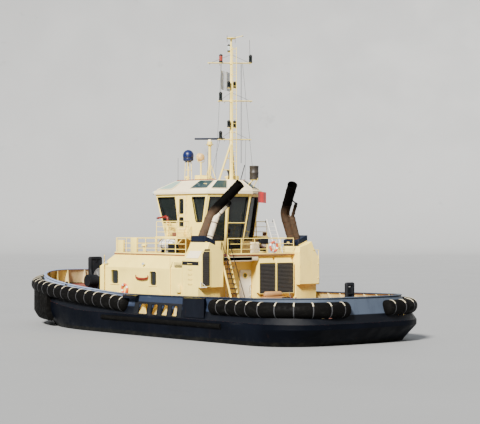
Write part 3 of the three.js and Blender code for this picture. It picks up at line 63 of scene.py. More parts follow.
# Sizes of the hull and decks, shared by everything that stands on them
DECK_Z = 1.30
SHEER_START_X = 5.0
BOW_DECK_Z = 2.65
BOW_X = 15.65
TRANSOM_X = -15.9
RAIL_Z = 2.56
RAIL_RISE_FORE = 1.2
RAIL_RISE_AFT = 0.24
RAIL_CAP = 0.07
HOUSE_HALF = 4.8
BRIDGE_DECK_Z = 5.07
BRIDGE_FLOOR_Z = 6.5
ROOF_Z = 9.8
WING_Z = 6.15
INTAKE_WALL_X = -5.6003
CASING_AFT_X = -6.3
MAST_X = -3.2
WINCH_AT = (10.2, 0.0, 3.02)
SIDES = (("port", 1.0), ("starboard", -1.0))
ACROSS = np.array([1.0, -1.0, 1.0])  # mirrors a point about the centreline

# Hull shape by height: z, half-breadth, half-breadth aft, bow x, shoulder x, transom x, quarter radius, bow fullness
HULL_LEVELS = (
    (-4.05, 4.3, 2.6, 9.5, 1.0, -5.5, 1.5, 2.0),
    (-3.7, 5.3, 3.8, 10.7, 1.5, -6.3, 2.2, 2.0),
    (-2.33, 5.85, 4.9, 11.9, 2.5, -8.6, 3.0, 2.0),
    (-2.25, 5.86, 4.95, 12.0, 2.6, -13.5, 3.0, 2.0),
    (-1.0, 5.9, 5.4, 12.7, 3.3, -14.3, 3.3, 2.1),
    (0.0, 5.93, 5.6, 13.4, 4.0, -15.0, 3.2, 2.2),
    (1.0, 5.95, 5.8, 14.9, 5.5, TRANSOM_X, 3.0, 2.35),
)
DECK_SHAPE = (5.95, 5.8, BOW_X, 5.5, TRANSOM_X, 3.0, 2.35)
RAIL_SHAPE = (5.48, 5.12, 15.3, 5.5, -15.48, 3.4, 2.35)
OUTLINE_STEPS = (8, 18, 30, 60)
CAMBER = 0.12


# What a user may change

def colour(name, description, default):
    """Colour property of a finish."""
    return FloatVectorProperty(name=name, description=description, default=default, subtype="COLOR", min=0.0, max=1.0)


def length(name, description, default):
    """Length property in metres."""
    return FloatProperty(name=name, description=description, default=default, unit="LENGTH", min=0.001)


class TugboatSizes(bpy.types.PropertyGroup):
    """Sizes of the fittings"""
    strap_pitch_bow: length("Bow strap pitch", "Distance between the straps of the bow fender", 0.97)
    strap_pitch_side: length("Side strap pitch", "Distance between the straps of the side fenders", 0.9)
    strap_width: length("Strap width", "Width of a fender strap", 0.06)
    rail_tube: length("Rail tube", "Radius of a handrail", 0.027)
    frame_pitch: length("Bulwark stay pitch", "Distance between the stay plates inside the bulwark", 1.2)
    gasket: length("Window gasket", "Width of the rubber round a wheelhouse window", 0.05)
    port_rim: length("Port rim", "Width of the frame round a deckhouse port", 0.045)
    rope: length("Tow rope", "Diameter of the rope on the winch drum", 0.09)
    louvre_pitch: length("Louvre pitch", "Distance between the blades of the air intakes", 0.085)


class TugboatColours(bpy.types.PropertyGroup):
    """Colours of the finishes"""
    hull: colour("Hull", "Topsides of the hull", (0.0014, 0.0020, 0.0040))
    cream: colour("Cream", "Houses, rails and mast", (0.94, 0.725, 0.175))
    rubber: colour("Rubber", "Fenders", (0.0022, 0.0021, 0.0020))
    deck: colour("Decks", "Deck paint", (0.17, 0.040, 0.026))
    funnel: colour("Funnel tops", "Caps of the funnel casings", (0.0030, 0.0058, 0.016))
    dome: colour("Dome", "Satellite dome", (0.0015, 0.008, 0.065))
    flag: colour("Ensign", "Ensign cloth", (0.38, 0.006, 0.008))
    signal: colour("Signal red", "Fire monitors and hose", (0.20, 0.012, 0.008))


class TugboatStage(bpy.types.PropertyGroup):
    """Light and camera"""
    sky: FloatProperty(name="Sky", description="Strength of the sky", default=0.62, min=0.0)
    sun: FloatProperty(name="Sun", description="Strength of the sun", default=12.0, min=0.0)
    sun_size: FloatProperty(name="Sun size", description="Angle that the sun fills, which softens its shadows",
                            default=math.radians(12), subtype="ANGLE")
    lens: FloatProperty(name="Lens", description="Focal length in millimetres", default=112.97, min=1.0)
    floor: colour("Floor", "Colour of the floor and backdrop", (0.26, 0.265, 0.27))


# Shapes are pairs (points, faces): an n x 3 array and a list of index arrays.

def grid_faces(rows, cols, close_rows=False, close_cols=False):
    """Quads between neighbouring rows and columns of a grid; closed directions join their last line to their first."""
    r = np.arange(rows if close_rows else rows - 1)
    c = np.arange(cols if close_cols else cols - 1)
    rr, cc = np.meshgrid(r, c, indexing="ij")
    r2 = (rr + 1) % rows
    c2 = (cc + 1) % cols
    return np.stack([rr * cols + cc, rr * cols + c2, r2 * cols + c2, r2 * cols + cc], axis=-1).reshape(-1, 4)


def joined(*shapes):
    """One shape of several."""
    starts = np.cumsum([0] + [len(p) for p, _ in shapes])
    faces = [np.asarray(block) + start for (_, blocks), start in zip(shapes, starts) for block in blocks]
    return np.concatenate([p for p, _ in shapes]), faces


def outward(shape):
    """The closed shape with its faces pointing out, told from the sign of its volume."""
    points, faces = shape
    volume = 0.0
    for block in faces:
        a = points[block[:, 0]]
        for k in range(1, block.shape[1] - 1):
            volume += np.einsum("ij,ij->i", a, np.cross(points[block[:, k]], points[block[:, k + 1]])).sum()
    return (points, [block[:, ::-1] for block in faces]) if volume < 0 else (points, faces)


def skin(sections, close_rows=False, caps=True, close_cols=True):
    """Surface through equal sections, an array of rows x columns x 3; open rows get flat ends."""
    sections = np.asarray(sections, float)
    rows, cols = sections.shape[:2]
    faces = [grid_faces(rows, cols, close_rows, close_cols)]
    if caps and not close_rows:
        ring = np.arange(cols)
        faces.append(ring[::-1][None])
        faces.append((ring + (rows - 1) * cols)[None])
    return sections.reshape(-1, 3), faces


def round_angles(sides):
    """Equal angles once round a circle."""
    return np.linspace(0, 2 * math.pi, sides, endpoint=False)


def unit(v):
    """Vectors of length one along the last axis."""
    v = np.asarray(v, float)
    return v / np.maximum(np.linalg.norm(v, axis=-1, keepdims=True), 1e-12)


def carried_frames(path, closed=False):
    """Tangents of a path and two directions square to them, from the one direction that the path runs along least:
    the last right singular vector of its tangents."""
    path = np.asarray(path, float)
    tangent = unit(np.roll(path, -1, 0) - np.roll(path, 1, 0)) if closed else unit(np.gradient(path, axis=0))
    reference = np.linalg.svd(tangent)[2][-1]
    side = unit(reference - tangent * (tangent @ reference)[:, None])
    return tangent, side, np.cross(tangent, side)


def circle_round(path, radius, sides, closed=False):
    """Circles of the given radius, one number or one for each point, across a path."""
    _, side, up = carried_frames(path, closed)
    r = np.broadcast_to(np.asarray(radius, float), (len(path),))[:, None, None]
    a = round_angles(sides)[None, :, None]
    return np.asarray(path, float)[:, None] + r * (np.cos(a) * side[:, None] + np.sin(a) * up[:, None])


def tube(path, radius, sides=12, closed=False):
    """Round tube: circles across a path, closed by flat ends or on itself."""
    return outward(skin(circle_round(path, radius, sides, closed), closed))


def rods(starts, ends, radius, sides=8):
    """Straight round rods, one for each pair of points: circles at both ends across the line between them."""
    starts = np.asarray(starts, float).reshape(-1, 3)
    ends = np.asarray(ends, float).reshape(-1, 3)
    along = unit(ends - starts)
    helper = np.where(np.abs(along[:, 2:]) < 0.9, np.array([[0.0, 0.0, 1.0]]), np.array([[1.0, 0.0, 0.0]]))
    side = unit(np.cross(along, helper))
    up = np.cross(along, side)
    a = round_angles(sides)[None, :, None]
    r = np.broadcast_to(np.asarray(radius, float), (len(starts),))[:, None, None]
    ring = r * (np.cos(a) * side[:, None] + np.sin(a) * up[:, None])
    points = np.stack([starts[:, None] + ring, ends[:, None] + ring], axis=1).reshape(-1, 3)
    base = (np.arange(len(starts)) * 2 * sides)[:, None, None]
    ring_index = np.arange(sides)
    wall = (base + grid_faces(2, sides, close_cols=True)[None]).reshape(-1, 4)
    return outward((points, [wall, base[:, 0] + ring_index[::-1], base[:, 0] + ring_index + sides]))


def slab_template():
    """Points and quads of a box whose edges are rounded by one extra line near each edge."""
    lattice = np.array(np.meshgrid(range(4), range(4), range(4), indexing="ij")).reshape(3, -1).T
    on_skin = ((lattice == 0) | (lattice == 3)).any(axis=1)
    index = -np.ones(64, int)
    index[np.flatnonzero(on_skin)] = np.arange(on_skin.sum())
    number = index.reshape(4, 4, 4)
    faces = []
    for axis in range(3):
        for end in (0, 3):
            layer = np.take(number, end, axis=axis)
            quad = np.stack([layer[:-1, :-1], layer[1:, :-1], layer[1:, 1:], layer[:-1, 1:]], axis=-1).reshape(-1, 4)
            faces.append(quad[:, ::-1] if (end == 0) == (axis != 1) else quad)
    return lattice[on_skin], np.concatenate(faces)


SLAB_LATTICE, SLAB_QUADS = slab_template()


def slabs(lows, highs, rounding=0.01):
    """Boxes with rounded edges: each point of a box is drawn to the rounding's distance from the box's inner core."""
    lows = np.asarray(lows, float).reshape(-1, 3)
    highs = np.asarray(highs, float).reshape(-1, 3)
    r = np.minimum(rounding, 0.45 * (highs - lows).min(axis=1))[:, None]
    stations = np.stack([lows, lows + r, highs - r, highs], axis=1)
    corner = np.stack([stations[:, SLAB_LATTICE[:, k], k] for k in range(3)], axis=-1)
    core = np.clip(corner, (lows + r)[:, None], (highs - r)[:, None])
    points = core + unit(corner - core) * r[:, None]
    base = (np.arange(len(lows)) * len(SLAB_LATTICE))[:, None, None]
    return outward((points.reshape(-1, 3), [(base + SLAB_QUADS[None]).reshape(-1, 4)]))


def turned(profile, centre=(0, 0, 0), axis=(0, 0, 1), sides=32):
    """Body of revolution: a profile of (radius, height) rows turned about an axis. Rows of radius zero are poles, a
    profile that ends where it starts makes a ring, and other open ends get flat faces."""
    profile = np.asarray(profile, float)
    axis = unit(axis)
    helper = np.array([1.0, 0.0, 0.0]) if abs(axis[0]) < 0.9 else np.array([0.0, 1.0, 0.0])
    side = unit(helper - axis * helper.dot(axis))
    up = np.cross(axis, side)
    closed = np.allclose(profile[0], profile[-1])
    profile = profile[:-1] if closed else profile
    a = round_angles(sides)[None, :, None]
    r, h = profile[:, 0][:, None, None], profile[:, 1][:, None, None]
    rings = np.asarray(centre, float) + r * (np.cos(a) * side + np.sin(a) * up) + h * axis
    low, high = profile[0, 0] < 1e-9 and not closed, profile[-1, 0] < 1e-9 and not closed
    body = rings[1 if low else 0:len(rings) - (1 if high else 0)]
    rows = len(body)
    points = [body.reshape(-1, 3)]
    faces = [grid_faces(rows, sides, close_rows=closed, close_cols=True)]
    ring = np.arange(sides)
    ahead = np.roll(ring, -1)
    last = (rows - 1) * sides
    if low:
        points.append(rings[0, :1])
        faces.append(np.stack([np.full(sides, rows * sides), ahead, ring], axis=1))
    elif not closed:
        faces.append(ring[::-1][None])
    if high:
        points.append(rings[-1, :1])
        faces.append(np.stack([np.full(sides, rows * sides + int(low)), last + ring, last + ahead], axis=1))
    elif not closed:
        faces.append((ring + last)[None])
    return outward((np.concatenate(points), faces))


def extruded(outline, place, w0, w1):
    """Flat outline of (u, v) rows pushed from depth w0 to w1; place turns columns u, v, w into points."""
    outline = np.asarray(outline, float)
    u, v = outline[:, 0], outline[:, 1]
    return outward(skin([place(u, v, np.full(len(u), w)) for w in (w0, w1)]))


def along_x(u, v, w):
    """Outline in y and z, depth in x."""
    return np.stack([w, u, v], axis=-1)


def along_y(u, v, w):
    """Outline in x and z, depth in y."""
    return np.stack([u, w, v], axis=-1)


def stacked(x, y, z):
    """Points one above another: x and y are given once or once per height z."""
    return np.stack(np.broadcast_arrays(np.asarray(x, float), np.asarray(y, float), np.asarray(z, float)), axis=-1)


def plate(corners, thickness):
    """Flat plate: its corners pushed half the thickness both ways along their plane's normal."""
    corners = np.asarray(corners, float)
    normal = unit(np.cross(corners[1] - corners[0], corners[2] - corners[0]))
    return outward(skin(corners[None] + np.array([-0.5, 0.5])[:, None, None] * thickness * normal))


def rounded_rectangle(u0, v0, u1, v1, radius, steps=6):
    """Rectangle with quarter circles at its corners, anticlockwise."""
    a = np.linspace(0, math.pi / 2, steps)
    corners = ((u1 - radius, v1 - radius, 0), (u0 + radius, v1 - radius, 1),
               (u0 + radius, v0 + radius, 2), (u1 - radius, v0 + radius, 3))
    return np.concatenate([
        np.stack([cu + radius * np.cos(a + k * math.pi / 2), cv + radius * np.sin(a + k * math.pi / 2)], axis=1)
        for cu, cv, k in corners])


def bend(points, radius, steps=6):
    """Path through the points whose corners are quadratic curves that start a radius before each corner."""
    points = np.asarray(points, float)
    before, corner, after = points[:-2], points[1:-1], points[2:]
    legs = np.minimum(np.linalg.norm(before - corner, axis=1), np.linalg.norm(after - corner, axis=1))
    reach = np.minimum(radius, 0.45 * legs)[:, None]
    a = corner + unit(before - corner) * reach
    b = corner + unit(after - corner) * reach
    t = np.linspace(0, 1, steps)[:, None, None]
    arcs = (1 - t) ** 2 * a + 2 * t * (1 - t) * corner + t ** 2 * b
    return np.concatenate([points[:1], arcs.transpose(1, 0, 2).reshape(-1, 3), points[-1:]])


def hanging(a, b, sag, steps=14):
    """Points of a slack line from a to b: straight, less a parabola of the given depth."""
    t = np.linspace(0, 1, steps)[:, None]
    return np.asarray(a) * (1 - t) + np.asarray(b) * t - np.array([0.0, 0.0, 4 * sag]) * t * (1 - t)


def mirrored(shape, side=-1.0):
    """The shape on the other side of the centreline, with its faces still pointing out."""
    if side > 0:
        return shape
    return shape[0] * ACROSS, [block[:, ::-1] for block in shape[1]]


def both(*shapes):
    """The shapes on both sides of the centreline, as one."""
    return joined(*shapes, *(mirrored(shape) for shape in shapes))


def shifted(shape, offset):
    """The shape moved by an offset."""
    return shape[0] + np.asarray(offset, float), shape[1]


def repeated(shape, offsets):
    """Copies of a shape, one for each offset."""
    return joined(*(shifted(shape, offset) for offset in np.asarray(offsets, float)))


def ball(centre, radius, sides=20):
    """Sphere as a body of revolution, or an ellipsoid if radius is (across, up)."""
    across, up = (radius, radius) if np.isscalar(radius) else radius
    a = np.linspace(-math.pi / 2, math.pi / 2, sides // 2 + 1)
    profile = np.stack([across * np.cos(a), up * np.sin(a)], axis=1)
    profile[[0, -1], 0] = 0
    return turned(profile, centre, sides=sides)


def torus(centre, axis, radius, thick, sides=36, around=12):
    """Ring: a circle of the tube's radius turned about an axis."""
    a = np.linspace(0, 2 * math.pi, around + 1)
    return turned(np.stack([radius + thick * np.cos(a), thick * np.sin(a)], axis=1), centre, axis, sides)


def collar(centre, axis, radius, width, thick, sides=32):
    """Band round a pipe: a closed rectangle turned about the pipe's axis."""
    return turned([(radius, -width / 2), (radius + thick, -width / 2), (radius + thick, width / 2),
                   (radius, width / 2), (radius, -width / 2)], centre, axis, sides)


def cushion(low, high, squareness=0.3, channels=0, sides=48, rows=24):
    """Stuffed pad: a superellipsoid between two corners, with sewn channels across its x direction that draw in where
    a cosine of x peaks."""
    low, high = np.asarray(low, float), np.asarray(high, float)
    power = lambda v: np.sign(v) * np.abs(v) ** squareness
    v = np.linspace(-math.pi / 2, math.pi / 2, rows + 1)[1:-1, None]
    u = round_angles(sides)[None, :]
    x, y, z = power(np.cos(v)) * power(np.cos(u)), power(np.cos(v)) * power(np.sin(u)), power(np.sin(v)) + 0 * u
    crown = 1.0 - 0.10 * (x ** 2 + y ** 2)
    groove = 1.0 - 0.10 * np.maximum(np.cos(np.pi * channels * (x + 1)), 0) ** 8 if channels else 1.0
    body = np.stack([x, y, z * crown * groove], axis=-1)
    points = np.concatenate([body.reshape(-1, 3), [[0, 0, -1.0], [0, 0, 1.0]]])
    ring = np.arange(sides)
    ahead = np.roll(ring, -1)
    count = (rows - 1) * sides
    caps = [np.stack([np.full(sides, count), ahead, ring], axis=1),
            np.stack([np.full(sides, count + 1), count - sides + ring, count - sides + ahead], axis=1)]
    placed = (low + high) / 2 + points * (high - low) / 2
    return outward((placed, [grid_faces(rows - 1, sides, close_cols=True), *caps]))


def guard_rail(corners, z, sizes, heights=(1.0, 0.66, 0.33), pitch=1.15):
    """Guard rail on a line of corners in plan: bent round rails at shares of a metre, posts at equal steps on each leg
    and a foot disc under each post."""
    corners = np.asarray(corners, float)
    at = lambda flat, height: np.column_stack([flat, np.full(len(flat), z + height)])
    radii = (sizes.rail_tube, sizes.rail_tube * 0.72, sizes.rail_tube * 0.72)
    rails = [tube(bend(at(corners, h), 0.12), r, 8) for h, r in zip(heights, radii)]
    spots = []
    for a, b in zip(corners[:-1], corners[1:]):
        count = max(1, round(float(np.linalg.norm(b - a)) / pitch))
        spots.append(a + (b - a) * np.linspace(0, 1, count + 1)[1 if len(spots) else 0:, None])
    spots = np.concatenate(spots)
    posts = rods(at(spots, 0.0), at(spots, heights[0]), sizes.rail_tube * 0.9, 8)
    feet = rods(at(spots, 0.0), at(spots, 0.014), 0.055, 12)
    return joined(*rails, posts, feet)


# Hull outlines

def half_outline(half, quarter_half, bow, shoulder, transom, radius, fullness, steps=OUTLINE_STEPS):
    """Port half of a waterline in plan: cambered transom, quarter arc, side eased by a sine, superellipse bow."""
    t, q, s = (np.linspace(0, 1, k, endpoint=False) for k in steps[:3])
    flat = quarter_half - radius
    turn = transom + CAMBER + radius
    a = q * math.pi / 2
    c = np.linspace(0, 1, steps[3] + 1) * math.pi / 2
    power = 2 / fullness
    bow_y = half * np.maximum(np.cos(c), 0) ** power
    bow_y[-1] = 0
    x = np.concatenate([
        transom + CAMBER * t ** 2, turn - radius * np.cos(a), turn + (shoulder - turn) * s,
        shoulder + (bow - shoulder) * np.sin(c) ** power])
    y = np.concatenate([
        flat * t, flat + radius * np.sin(a), quarter_half + (half - quarter_half) * np.sin(s * math.pi / 2), bow_y])
    return np.stack([x, y], axis=1)


def deck_height(x):
    """Level deck that rises forward of the sheer's start."""
    rise = np.maximum(np.asarray(x, float) - SHEER_START_X, 0) / (BOW_X - SHEER_START_X)
    return DECK_Z + (BOW_DECK_Z - DECK_Z) * rise ** 1.3


def rail_height(x):
    """Top of the rail: lowest amidships, with a power curve to each end."""
    x = np.asarray(x, float)
    fore = RAIL_RISE_FORE * (np.maximum(x, 0) / BOW_X) ** 1.5
    aft = RAIL_RISE_AFT * (np.maximum(-x, 0) / -TRANSOM_X) ** 1.5
    return RAIL_Z + fore + aft


def outline_normals(outline):
    """Outward directions in plan, from the neighbours of each point, with the mirror image beyond both ends."""
    flip = np.array([1.0, -1.0])
    before = np.vstack([outline[1:2] * flip, outline[:-1]])
    after = np.vstack([outline[1:], outline[-2:-1] * flip])
    d = unit(after - before)
    return np.stack([-d[:, 1], d[:, 0]], axis=1)


DECK_OUTLINE = half_outline(*DECK_SHAPE)
RAIL_OUTLINE = half_outline(*RAIL_SHAPE)
DECK_NORMALS = outline_normals(DECK_OUTLINE)
DECK_LENGTHS = np.concatenate([[0], np.cumsum(np.linalg.norm(np.diff(DECK_OUTLINE, axis=0), axis=1))])
SIDE_LENGTH = DECK_LENGTHS[-1]


def side_at(distance, z):
    """Port side at a distance along the deck's edge and a height: point on the leaning bulwark and outward normal."""
    distance = np.atleast_1d(np.asarray(distance, float))
    mix = lambda table: np.stack([np.interp(distance, DECK_LENGTHS, table[:, k]) for k in (0, 1)], axis=1)
    foot, rail, normal = mix(DECK_OUTLINE), mix(RAIL_OUTLINE), unit(mix(DECK_NORMALS))
    base = deck_height(foot[:, 0])
    share = np.clip((np.asarray(z) - base) / (rail_height(rail[:, 0]) - base), 0, 1)[:, None]
    return foot * (1 - share) + rail * share, normal


def distance_at_x(x):
    """Distance along the deck's edge at which the port side passes x, forward of the quarter."""
    start = OUTLINE_STEPS[0]
    return float(np.interp(x, DECK_OUTLINE[start:, 0], DECK_LENGTHS[start:]))


def round_the_bow(rows):
    """Sections of the port side followed by their mirror images from the stem back down the starboard side."""
    return np.concatenate([rows, rows[-2::-1] * ACROSS])


# Objects

def place_mesh(name, points, faces, indices, materials, sharp):
    """Object of that mesh at the origin, smooth but for edges sharper than an angle."""
    mesh = bpy.data.meshes.new(name)
    mesh.from_pydata(points.tolist(), [], faces)
    mesh.polygons.foreach_set("material_index", indices)
    for material in materials:
        mesh.materials.append(material)
    mesh.shade_smooth()
    mesh.set_sharp_from_angle(angle=math.radians(sharp))
    mesh.update()
    obj = bpy.data.objects.new(name, mesh)
    bpy.context.scene.collection.objects.link(obj)
    return obj


def piece(name, parts, body="root", replaces=(), sharp=40.0, bevel=0.0):
    """One piece of the boat from pairs (shape, material name); it rides on a body and may replace CAD nodes."""
    names = list(dict.fromkeys(material for _, material in parts))
    starts = np.cumsum([0] + [len(shape[0]) for shape, _ in parts])
    faces = []
    indices = []
    for ((_, blocks), material), start in zip(parts, starts):
        for block in blocks:
            faces.extend((np.asarray(block) + start).tolist())
            indices.extend([names.index(material)] * len(block))
    points = np.concatenate([shape[0] for shape, _ in parts])
    obj = place_mesh(name, points, faces, indices, [bpy.data.materials[n] for n in names], sharp)
    finish_piece(obj, body, replaces, bevel)
    return obj


def finish_piece(obj, body="root", replaces=(), bevel=0.0):
    """Softens the edges of a piece, sets its body and hides the nodes it stands for."""
    if bevel:
        soft = obj.modifiers.new("soft edges", "BEVEL")
        soft.width = bevel
        soft.segments = 2
        soft.limit_method = "ANGLE"
        soft.angle_limit = math.radians(30)
        soft.miter_outer = "MITER_ARC"
    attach(obj, body)
    if replaces:
        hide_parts(*replaces)


def node_copy(node, name, material, bevel=0.012, body="root"):
    """Copy of a CAD node with its doubles merged and flat faces joined, and soft edges."""
    mesh = bpy.data.meshes.new(name)
    work = bmesh.new()
    work.from_mesh(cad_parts[node].data)
    bmesh.ops.remove_doubles(work, verts=work.verts, dist=0.00005)
    bmesh.ops.dissolve_limit(work, angle_limit=math.radians(0.5), verts=work.verts, edges=work.edges)
    work.to_mesh(mesh)
    work.free()
    mesh.materials.clear()
    mesh.materials.append(bpy.data.materials[material])
    mesh.polygons.foreach_set("material_index", [0] * len(mesh.polygons))
    mesh.shade_smooth()
    mesh.set_sharp_from_angle(angle=math.radians(30))
    obj = bpy.data.objects.new(name, mesh)
    bpy.context.scene.collection.objects.link(obj)
    finish_piece(obj, body, (node,), bevel)
    return obj


def paint_faces(obj, materials, choose):
    """Gives each face the material whose number choose returns from the faces' centres and normals."""
    mesh = obj.data
    mesh.materials.clear()
    for name in materials:
        mesh.materials.append(bpy.data.materials[name])
    centres = np.empty(len(mesh.polygons) * 3)
    normals = np.empty(len(mesh.polygons) * 3)
    mesh.polygons.foreach_get("center", centres)
    mesh.polygons.foreach_get("normal", normals)
    mesh.polygons.foreach_set("material_index",
                              choose(centres.reshape(-1, 3), normals.reshape(-1, 3)).astype(int).tolist())
    mesh.update()


def cut(obj, cutter_shape):
    """Cuts a shape out of an object for good; the cut faces take the object's first material."""
    faces = [f for block in cutter_shape[1] for f in block.tolist()]
    cutter = place_mesh("cutter", cutter_shape[0], faces, [0] * len(faces), [], 40)
    tool = obj.modifiers.new("cut", "BOOLEAN")
    tool.operation = "DIFFERENCE"
    tool.solver = "EXACT"
    tool.object = cutter
    view = bpy.context.evaluated_depsgraph_get()
    result = bpy.data.meshes.new_from_object(obj.evaluated_get(view))
    obj.modifiers.remove(tool)
    obj.data = result
    cutter_mesh = cutter.data
    bpy.data.objects.remove(cutter)
    bpy.data.meshes.remove(cutter_mesh)
    obj.data.shade_smooth()
    obj.data.set_sharp_from_angle(angle=math.radians(35))


def finish_node(material, *nodes):
    """Gives CAD nodes that stay in sight their finish through their objects' own slots."""
    for node in nodes:
        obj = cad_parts[node]
        if not obj.material_slots:
            obj.data.materials.append(None)
        for slot in obj.material_slots:
            slot.link = "OBJECT"
            slot.material = bpy.data.materials[material]


# Finishes

RUST = (0.20, 0.062, 0.018)
SOOT = (0.0015, 0.0014, 0.0013)


class Paint:
    """Builds one material's nodes from short calls."""

    def __init__(self, name):
        self.material = bpy.data.materials.new(name)
        self.material.use_nodes = True
        self.tree = self.material.node_tree
        self.tree.nodes.clear()
        output = self.add("ShaderNodeOutputMaterial")
        self.shader = self.add("ShaderNodeBsdfPrincipled")
        self.tree.links.new(self.shader.outputs[0], output.inputs["Surface"])
        self.coordinates = self.add("ShaderNodeTexCoord")

    def add(self, kind, **settings):
        """New node with its settings."""
        node = self.tree.nodes.new(kind)
        for key, value in settings.items():
            setattr(node, key, value)
        return node

    def set(self, node, socket, value):
        """Links a socket, or gives it a constant."""
        target = node.inputs[socket]
        if isinstance(value, bpy.types.NodeSocket):
            self.tree.links.new(value, target)
        elif target.type == "RGBA":
            target.default_value = (*value, 1.0)
        else:
            target.default_value = value

    def place(self, scale=(1, 1, 1), turn=(0, 0, 0), uv=False):
        """Object or UV coordinates, stretched and turned."""
        node = self.add("ShaderNodeMapping")
        self.set(node, "Vector", self.coordinates.outputs["UV" if uv else "Object"])
        self.set(node, "Scale", scale)
        self.set(node, "Rotation", turn)
        return node.outputs[0]

    def noise(self, scale, detail=4.0, vector=None, rough=0.5):
        """Fractal noise from 0 to 1."""
        node = self.add("ShaderNodeTexNoise")
        self.set(node, "Vector", vector or self.coordinates.outputs["Object"])
        self.set(node, "Scale", scale)
        self.set(node, "Detail", detail)
        self.set(node, "Roughness", rough)
        return node.outputs["Fac"]

    def ramp(self, value, low, high, low_value=0.0, high_value=1.0):
        """Smooth step between two values."""
        node = self.add("ShaderNodeMapRange", interpolation_type="SMOOTHSTEP")
        self.set(node, "Value", value)
        self.set(node, "From Min", low)
        self.set(node, "From Max", high)
        self.set(node, "To Min", low_value)
        self.set(node, "To Max", high_value)
        return node.outputs["Result"]

    def math(self, operation, a, b=0.0):
        """Sum, product or other operation on two values."""
        node = self.add("ShaderNodeMath", operation=operation)
        self.set(node, 0, a)
        self.set(node, 1, b)
        return node.outputs[0]

    def mix(self, factor, a, b):
        """Blend of two colours."""
        node = self.add("ShaderNodeMix", data_type="RGBA")
        self.set(node, 0, factor)
        self.set(node, 6, a)
        self.set(node, 7, b)
        return node.outputs[2]

    def axis(self, name):
        """Object coordinate along one axis."""
        node = self.add("ShaderNodeSeparateXYZ")
        self.set(node, 0, self.coordinates.outputs["Object"])
        return node.outputs[name]

    def seams(self, width, height, line, turn):
        """Weld lines between plates: 1 on a brick pattern's joints, 0 on the plates."""
        node = self.add("ShaderNodeTexBrick", offset=0.5)
        for socket, value in (("Vector", self.place(turn=turn)), ("Scale", 1.0), ("Brick Width", width),
                              ("Row Height", height), ("Mortar Size", line), ("Mortar Smooth", 1.0),
                              ("Color1", (0, 0, 0)), ("Color2", (0, 0, 0)), ("Mortar", (1, 1, 1))):
            self.set(node, socket, value)
        return node.outputs["Color"]

    def bump(self, height, strength, distance):
        """Gives the shader a bumped normal."""
        node = self.add("ShaderNodeBump")
        self.set(node, "Height", height)
        self.set(node, "Strength", strength)
        self.set(node, "Distance", distance)
        self.set(self.shader, "Normal", node.outputs[0])


def dimmed(tone, share):
    """The colour times a share."""
    return tuple(c * share for c in tone)


def steel_paint(name, tone, faded, roughness=0.42, rust=0.3, grime=0.2, plates=(2.4, 1.2), waves=0.5, gloss=0.45):
    """Ship's paint on plates: faded patches, rust runs and specks, grime, buckled plating and weld seams."""
    p = Paint(name)
    mixed = p.mix(p.ramp(p.noise(0.55, 3), 0.35, 0.7), tone, faded)
    runs = p.ramp(p.noise(1.0, 5, p.place((5.0, 5.0, 0.35)), 0.6), 0.60, 0.80)
    runs = p.math("MULTIPLY", runs, p.ramp(p.noise(0.8, 2), 0.45, 0.62))
    mixed = p.mix(p.math("MULTIPLY", runs, rust), mixed, RUST)
    specks = p.ramp(p.noise(9.0, 6, rough=0.7), 0.68, 0.76)
    mixed = p.mix(p.math("MULTIPLY", specks, rust), mixed, RUST)
    dirt = p.ramp(p.noise(1.7, 8, p.place((1.0, 1.0, 0.5)), 0.65), 0.45, 0.75)
    mixed = p.mix(p.math("MULTIPLY", dirt, grime), mixed, dimmed(tone, 0.45))
    p.set(p.shader, "Base Color", mixed)
    p.set(p.shader, "Roughness", p.ramp(p.noise(2.3, 6), 0.3, 0.7, roughness - 0.08, roughness + 0.14))
    p.set(p.shader, "Specular IOR Level", gloss)
    seams = p.seams(*plates, 0.008, (math.pi / 2, 0, 0))
    height = p.math("ADD", p.math("MULTIPLY", p.noise(1.1, 1), waves), p.math("MULTIPLY", p.noise(70.0, 3), 0.03))
    p.bump(p.math("ADD", height, p.math("MULTIPLY", seams, 0.12)), 0.55, 0.03)


